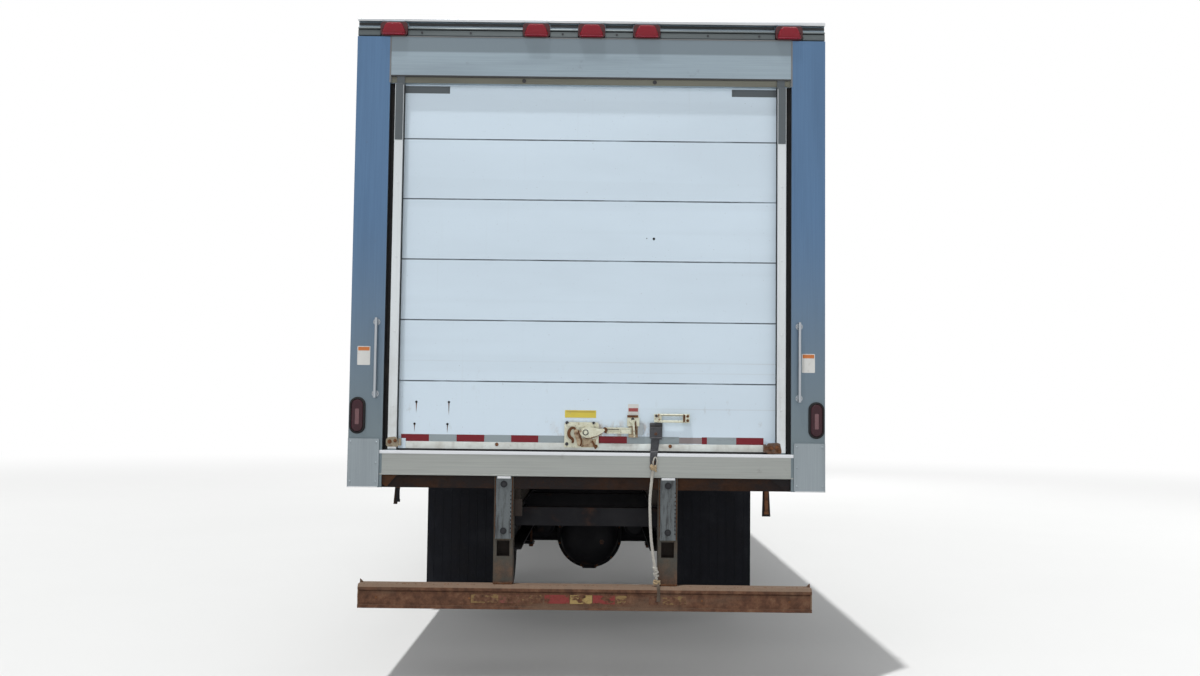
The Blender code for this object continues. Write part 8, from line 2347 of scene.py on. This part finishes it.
def door_paint():
    """White panels, darkened and blued as painted shade and sky light, with dirt and painted shade along the
    seams, painted shade in creases, scuffs, thin runs and a grey band low down.
    """
    shade = Shade("door_white", 0.42, Coat_Weight=0.25, Coat_Roughness=0.2)
    # The white is darkened and blued: painted shade and painted sky light on white paint
    white, grey = (0.60, 0.705, 0.795), (0.36, 0.38, 0.39)
    broad = shade.noise(0.9, 4, stretch=(0.6, 1, 2.2))
    tone = shade.mix(shade.span(broad, 0.35, 0.7), white, tinted(white, 0.93))
    bands = shade.noise(1.0, 2, stretch=(0.15, 1, 9))
    tone = shade.mix(shade.span(bands, 0.52, 0.62, 0, 0.20), tone, tinted(white, 0.86))
    runs = shade.noise(2.2, 6, stretch=(26, 1, 0.5))
    tone = shade.mix(shade.span(runs, 0.62, 0.88, 0, 0.14), tone, grey)
    breaks = shade.noise(3.0, 5, stretch=(1.2, 1, 1))
    # A dark line at each seam: dirt and painted shade in its groove
    for height in DOOR_SEAMS:
        line = shade.window("Z", height - 0.0035, height + 0.0035, 0.0016)
        tone = shade.mix(shade.both(line, shade.span(breaks, 0.25, 0.60, 0.25, 0.90)), tone,
                         (0.10, 0.115, 0.13))
    scuffs = shade.noise(19, 6, 0.7, stretch=(1, 1, 0.5))
    low = shade.span(shade.axis("Z"), 1.33, 1.95, 1.0, 0.0)
    tone = shade.mix(shade.both(low, shade.span(scuffs, 0.60, 0.74, 0, 0.34)), tone, (0.30, 0.29, 0.27))
    # Faint grey lines across the two lowest panels: painted shade in their creases
    for height, factor in ((1.772, 0.34), (1.716, 0.22), (1.520, 0.24)):
        crease = shade.window("Z", height - 0.0030, height + 0.0030, 0.0030)
        tone = shade.mix(shade.both(crease, shade.span(broad, 0.40, 0.62, 0, factor)), tone, grey)
    specks = shade.noise(120, 2)
    tone = shade.mix(shade.span(specks, 0.72, 0.78, 0, 0.45), tone, GRIME)
    near_latch = shade.both(shade.window("X", -0.16, 0.34, 0.06), shade.window("Z", 1.28, 1.44, 0.03))
    tone = shade.mix(shade.both(near_latch, shade.span(scuffs, 0.42, 0.62, 0, 0.75)), tone,
                     (0.34, 0.24, 0.15))
    shade.colour(tone)
    shade.gloss(shade.span(broad, 0.3, 0.8, 0.36, 0.58))
    shade.bumps((shade.noise(0.7, 2, stretch=(0.3, 1, 3)), 0.5, 0.010), (scuffs, 0.08, 0.0008))
    return shade.material


def cream_paint():
    """Cream paint on hardware, chipped to rust along its edges."""
    shade = Shade("hardware_cream", 0.45, Coat_Weight=0.2)
    patches = shade.noise(34, 7, 0.66)
    tone = shade.mix(shade.span(patches, 0.35, 0.6), (0.66, 0.67, 0.55), (0.56, 0.55, 0.42))
    tone = shade.mix(shade.span(patches, 0.60, 0.67), tone, (0.22, 0.12, 0.065))
    tone = shade.mix(shade.span(shade.noise(80, 5), 0.62, 0.70, 0, 0.85), tone, (0.06, 0.05, 0.04))
    shade.colour(tone)
    shade.gloss(shade.span(patches, 0.5, 0.7, 0.42, 0.85))
    shade.bumps((patches, 0.4, 0.0009), (shade.noise(240, 3), 0.2, 0.0004))
    return shade.material


def guard_steel():
    """The guard: bright rust on the beam, grey paint left on the uprights' plates, and painted shade inside
    the uprights' openings and on their stubs.
    """
    shade = Shade("guard_steel", 0.88, Specular_IOR_Level=0.2)
    broad = shade.noise(2.6, 7, 0.62, stretch=(0.35, 1, 1.5))
    patches = shade.noise(19, 8, 0.68)
    grit = shade.noise(210, 4, 0.7)
    rust = shade.ramp(patches, ((0.28, (0.040, 0.020, 0.013)), (0.45, (0.090, 0.043, 0.026)),
                                (0.58, (0.140, 0.068, 0.040)), (0.74, (0.21, 0.125, 0.078))))
    pale = shade.mix(shade.span(broad, 0.48, 0.62, 0, 0.8), rust, (0.135, 0.088, 0.060))
    ledge = shade.both(shade.facing("Z", 0.2, 0.8), 0.75)
    tone = shade.mix(ledge, pale, (0.20, 0.145, 0.105))
    upright = shade.window("Z", GUARD_TOP + 0.012, 2.0, 0.012)
    steel = shade.mix(shade.span(patches, 0.40, 0.66), (0.066, 0.064, 0.055), (0.085, 0.066, 0.050))
    foot = shade.span(shade.axis("Z"), GUARD_TOP + 0.02, GUARD_TOP + 0.16, 1, 0)
    steel = shade.mix(shade.both(foot, shade.span(broad, 0.35, 0.6), 0.6), steel, rust)
    plate = shade.both(shade.window("Z", 0.809, 1.2, 0.002), shade.facing("Y", -0.2, -0.8))
    plate = shade.both(plate, shade.window("Y", REAR_Y + 0.030, REAR_Y + 0.0465, 0.001))
    scratched = shade.noise(8, 6, 0.7, stretch=(9, 1, 1))
    paint_left = shade.mix(shade.span(scratched, 0.45, 0.68), (0.125, 0.140, 0.146), (0.060, 0.063, 0.066))
    steel = shade.mix(plate, steel, paint_left)
    # Inside the uprights' openings: painted shade
    inside = shade.both(shade.window("Z", 0.714, 0.802, 0.002),
                        shade.window("Y", REAR_Y + 0.056, REAR_Y + 0.11, 0.001))
    steel = shade.mix(inside, steel, (0.026, 0.021, 0.018))
    # The stubs' rear faces are darkened: painted shade
    stub = shade.both(shade.window("Z", 0.928, 1.022, 0.002),
                      shade.window("Y", REAR_Y + 0.056, REAR_Y + 0.11, 0.001),
                      shade.facing("Y", -0.2, -0.8))
    steel = shade.mix(stub, steel, (0.030, 0.023, 0.020))
    tone = shade.mix(upright, tone, steel)
    tone = shade.mix(shade.span(grit, 0.52, 0.72, 0, 0.5), tone, (0.04, 0.022, 0.015))
    shade.colour(tone)
    shade.gloss(shade.span(grit, 0.3, 0.7, 0.72, 0.97))
    shade.bumps((broad, 0.5, 0.006), (patches, 0.6, 0.003), (grit, 0.5, 0.001))
    return shade.material


def worn_tape(name, colour, left):
    """What is left of reflective tape over rust."""
    shade = Shade(name, 0.6, Specular_IOR_Level=0.2)
    patches = shade.noise(24, 8, 0.7, stretch=(0.5, 1, 1))
    rust = shade.ramp(shade.noise(40, 7, 0.7),
                      ((0.3, (0.040, 0.020, 0.013)), (0.5, (0.105, 0.050, 0.030)),
                       (0.75, (0.17, 0.095, 0.06))))
    tone = shade.mix(shade.span(shade.noise(90, 4), 0.5, 0.75, 0, 0.5), colour, tinted(colour, 0.5))
    tone = shade.mix(shade.span(patches, left - 0.03, left + 0.06), tone, rust)
    shade.colour(tone)
    shade.gloss(shade.span(patches, 0.4, 0.6, 0.45, 0.92))
    shade.bumps((patches, 0.5, 0.0012))
    return shade.material


def deck_wood():
    """Hardwood boards that run along the load floor, scratched and grey with use."""
    shade = Shade("deck_wood", 0.7)
    grain = shade.noise(6, 8, 0.65, stretch=(14, 0.5, 14))
    tone = shade.ramp(grain,
                      ((0.25, (0.10, 0.06, 0.035)), (0.5, (0.23, 0.145, 0.08)), (0.8, (0.34, 0.235, 0.14))))
    boards = shade.waves("X", (2.2, 1, 1))
    height = shade.axis("Z")
    tone = shade.mix(shade.span(boards, 0.0, 0.05, 0.8, 0), tone, (0.02, 0.015, 0.01))
    tone = shade.mix(shade.span(shade.noise(3, 6), 0.45, 0.8, 0, 0.5), tone, (0.12, 0.11, 0.10))
    # Undercoat on the cross sills and the boards' underside, bare wood on the long sills
    under = shade.mix(shade.span(height, 1.143, 1.147), (0.045, 0.033, 0.025), (0.030, 0.026, 0.024))
    tone = shade.mix(shade.span(height, 1.249, 1.253), under, tone)
    shade.colour(tone)
    shade.gloss(shade.span(grain, 0.3, 0.8, 0.6, 0.85))
    shade.bumps((grain, 0.3, 0.001))
    return shade.material


def mirror_glass():
    shade = Shade("mirror_glass", 0.03, 1.0)
    film = shade.noise(14, 6)
    shade.colour(shade.mix(shade.span(film, 0.5, 0.8), (0.82, 0.84, 0.85), (0.66, 0.67, 0.67)))
    shade.gloss(shade.span(film, 0.4, 0.85, 0.02, 0.16))
    return shade.material


def grille_mesh():
    """A dark screen of small square openings, painted near black as the shade behind them."""
    shade = Shade("grille_mesh", 0.55)
    wires = shade.sum("MAXIMUM", shade.waves("X", (34, 1, 1)), shade.waves("Z", (1, 1, 34)))
    # Openings near black as painted shade, wires dark grey
    tone = shade.mix(shade.span(wires, 0.70, 0.92), (0.004, 0.004, 0.005), (0.050, 0.052, 0.055))
    shade.colour(shade.mix(shade.span(shade.noise(9, 6), 0.5, 0.8, 0, 0.4), tone, tinted(DUST, 0.4)))
    shade.bumps((wires, 0.7, 0.002))
    return shade.material


def roof_skin():
    """The roof sheet over its bows: faint ridges, road film and darker runs."""
    shade = Shade("roof_skin", 0.5)
    bows = shade.waves("Y", (1, 0.5236, 1))
    patches = shade.noise(2.2, 7, 0.62)
    tone = shade.mix(shade.span(patches, 0.25, 0.85), (0.60, 0.62, 0.63), (0.48, 0.48, 0.47))
    tone = shade.mix(shade.span(bows, 0.93, 0.99, 0, 0.45), tone, (0.36, 0.35, 0.34))
    tone = shade.mix(shade.span(shade.noise(5, 7, 0.65, stretch=(0.4, 3, 1)), 0.58, 0.82, 0, 0.35), tone,
                     GRIME)
    shade.colour(tone)
    shade.gloss(shade.span(patches, 0.3, 0.8, 0.42, 0.7))
    shade.bumps((shade.span(bows, 0.80, 0.97), 0.6, 0.004), (patches, 0.2, 0.003))
    return shade.material


def dress_solids(looks):
    """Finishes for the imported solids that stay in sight."""
    for finish, names in (
        ("white", "body_side_left body_side_right body_front_wall"),
        ("roof", "body_roof"),
        ("cab", "cab_back cab_front door_left door_right"),
        ("deck", "body_floor"),
        ("frame", "ladder_frame rear_axle front_axle knuckle_left knuckle_right tie_rod drive_shaft"),
        ("plastic", "dashboard cab_floor battery_box"),
        ("tank", "fuel_tank exhaust"),
        ("glass", "windscreen rear_glass door_glass_left door_glass_right"),
        ("clear_lens", "headlamp_left headlamp_right"),
        ("mesh_black", "grille"),
        ("engine", "engine_block"),
        ("fabric", "bench_seat"),
        ("tyre", " ".join(n for n in NODES if n.startswith("tyre_"))),
        ("wheel", " ".join(n for n in NODES if "wheel_" in n)),
    ):
        dress(looks[finish], *names.split())


def build_scene():
    """The camera and the cord come first, then the stage, the lamps and every other piece."""
    set_camera()
    looks = make_looks()
    make_rope_pieces(looks)
    make_strap(looks)
    set_stage()
    set_lamps()
    for make in (
        dress_solids, make_header, make_posts, make_door, make_sills, make_latch, make_guard, make_flaps,
        make_body_sides, make_front_wall, make_underbody, make_wheels, make_cab_doors, make_cab,
        make_front_end, make_seats,
    ):
        make(looks)
    view = bpy.context.scene.view_settings
    view.view_transform = "Standard"


build_scene()
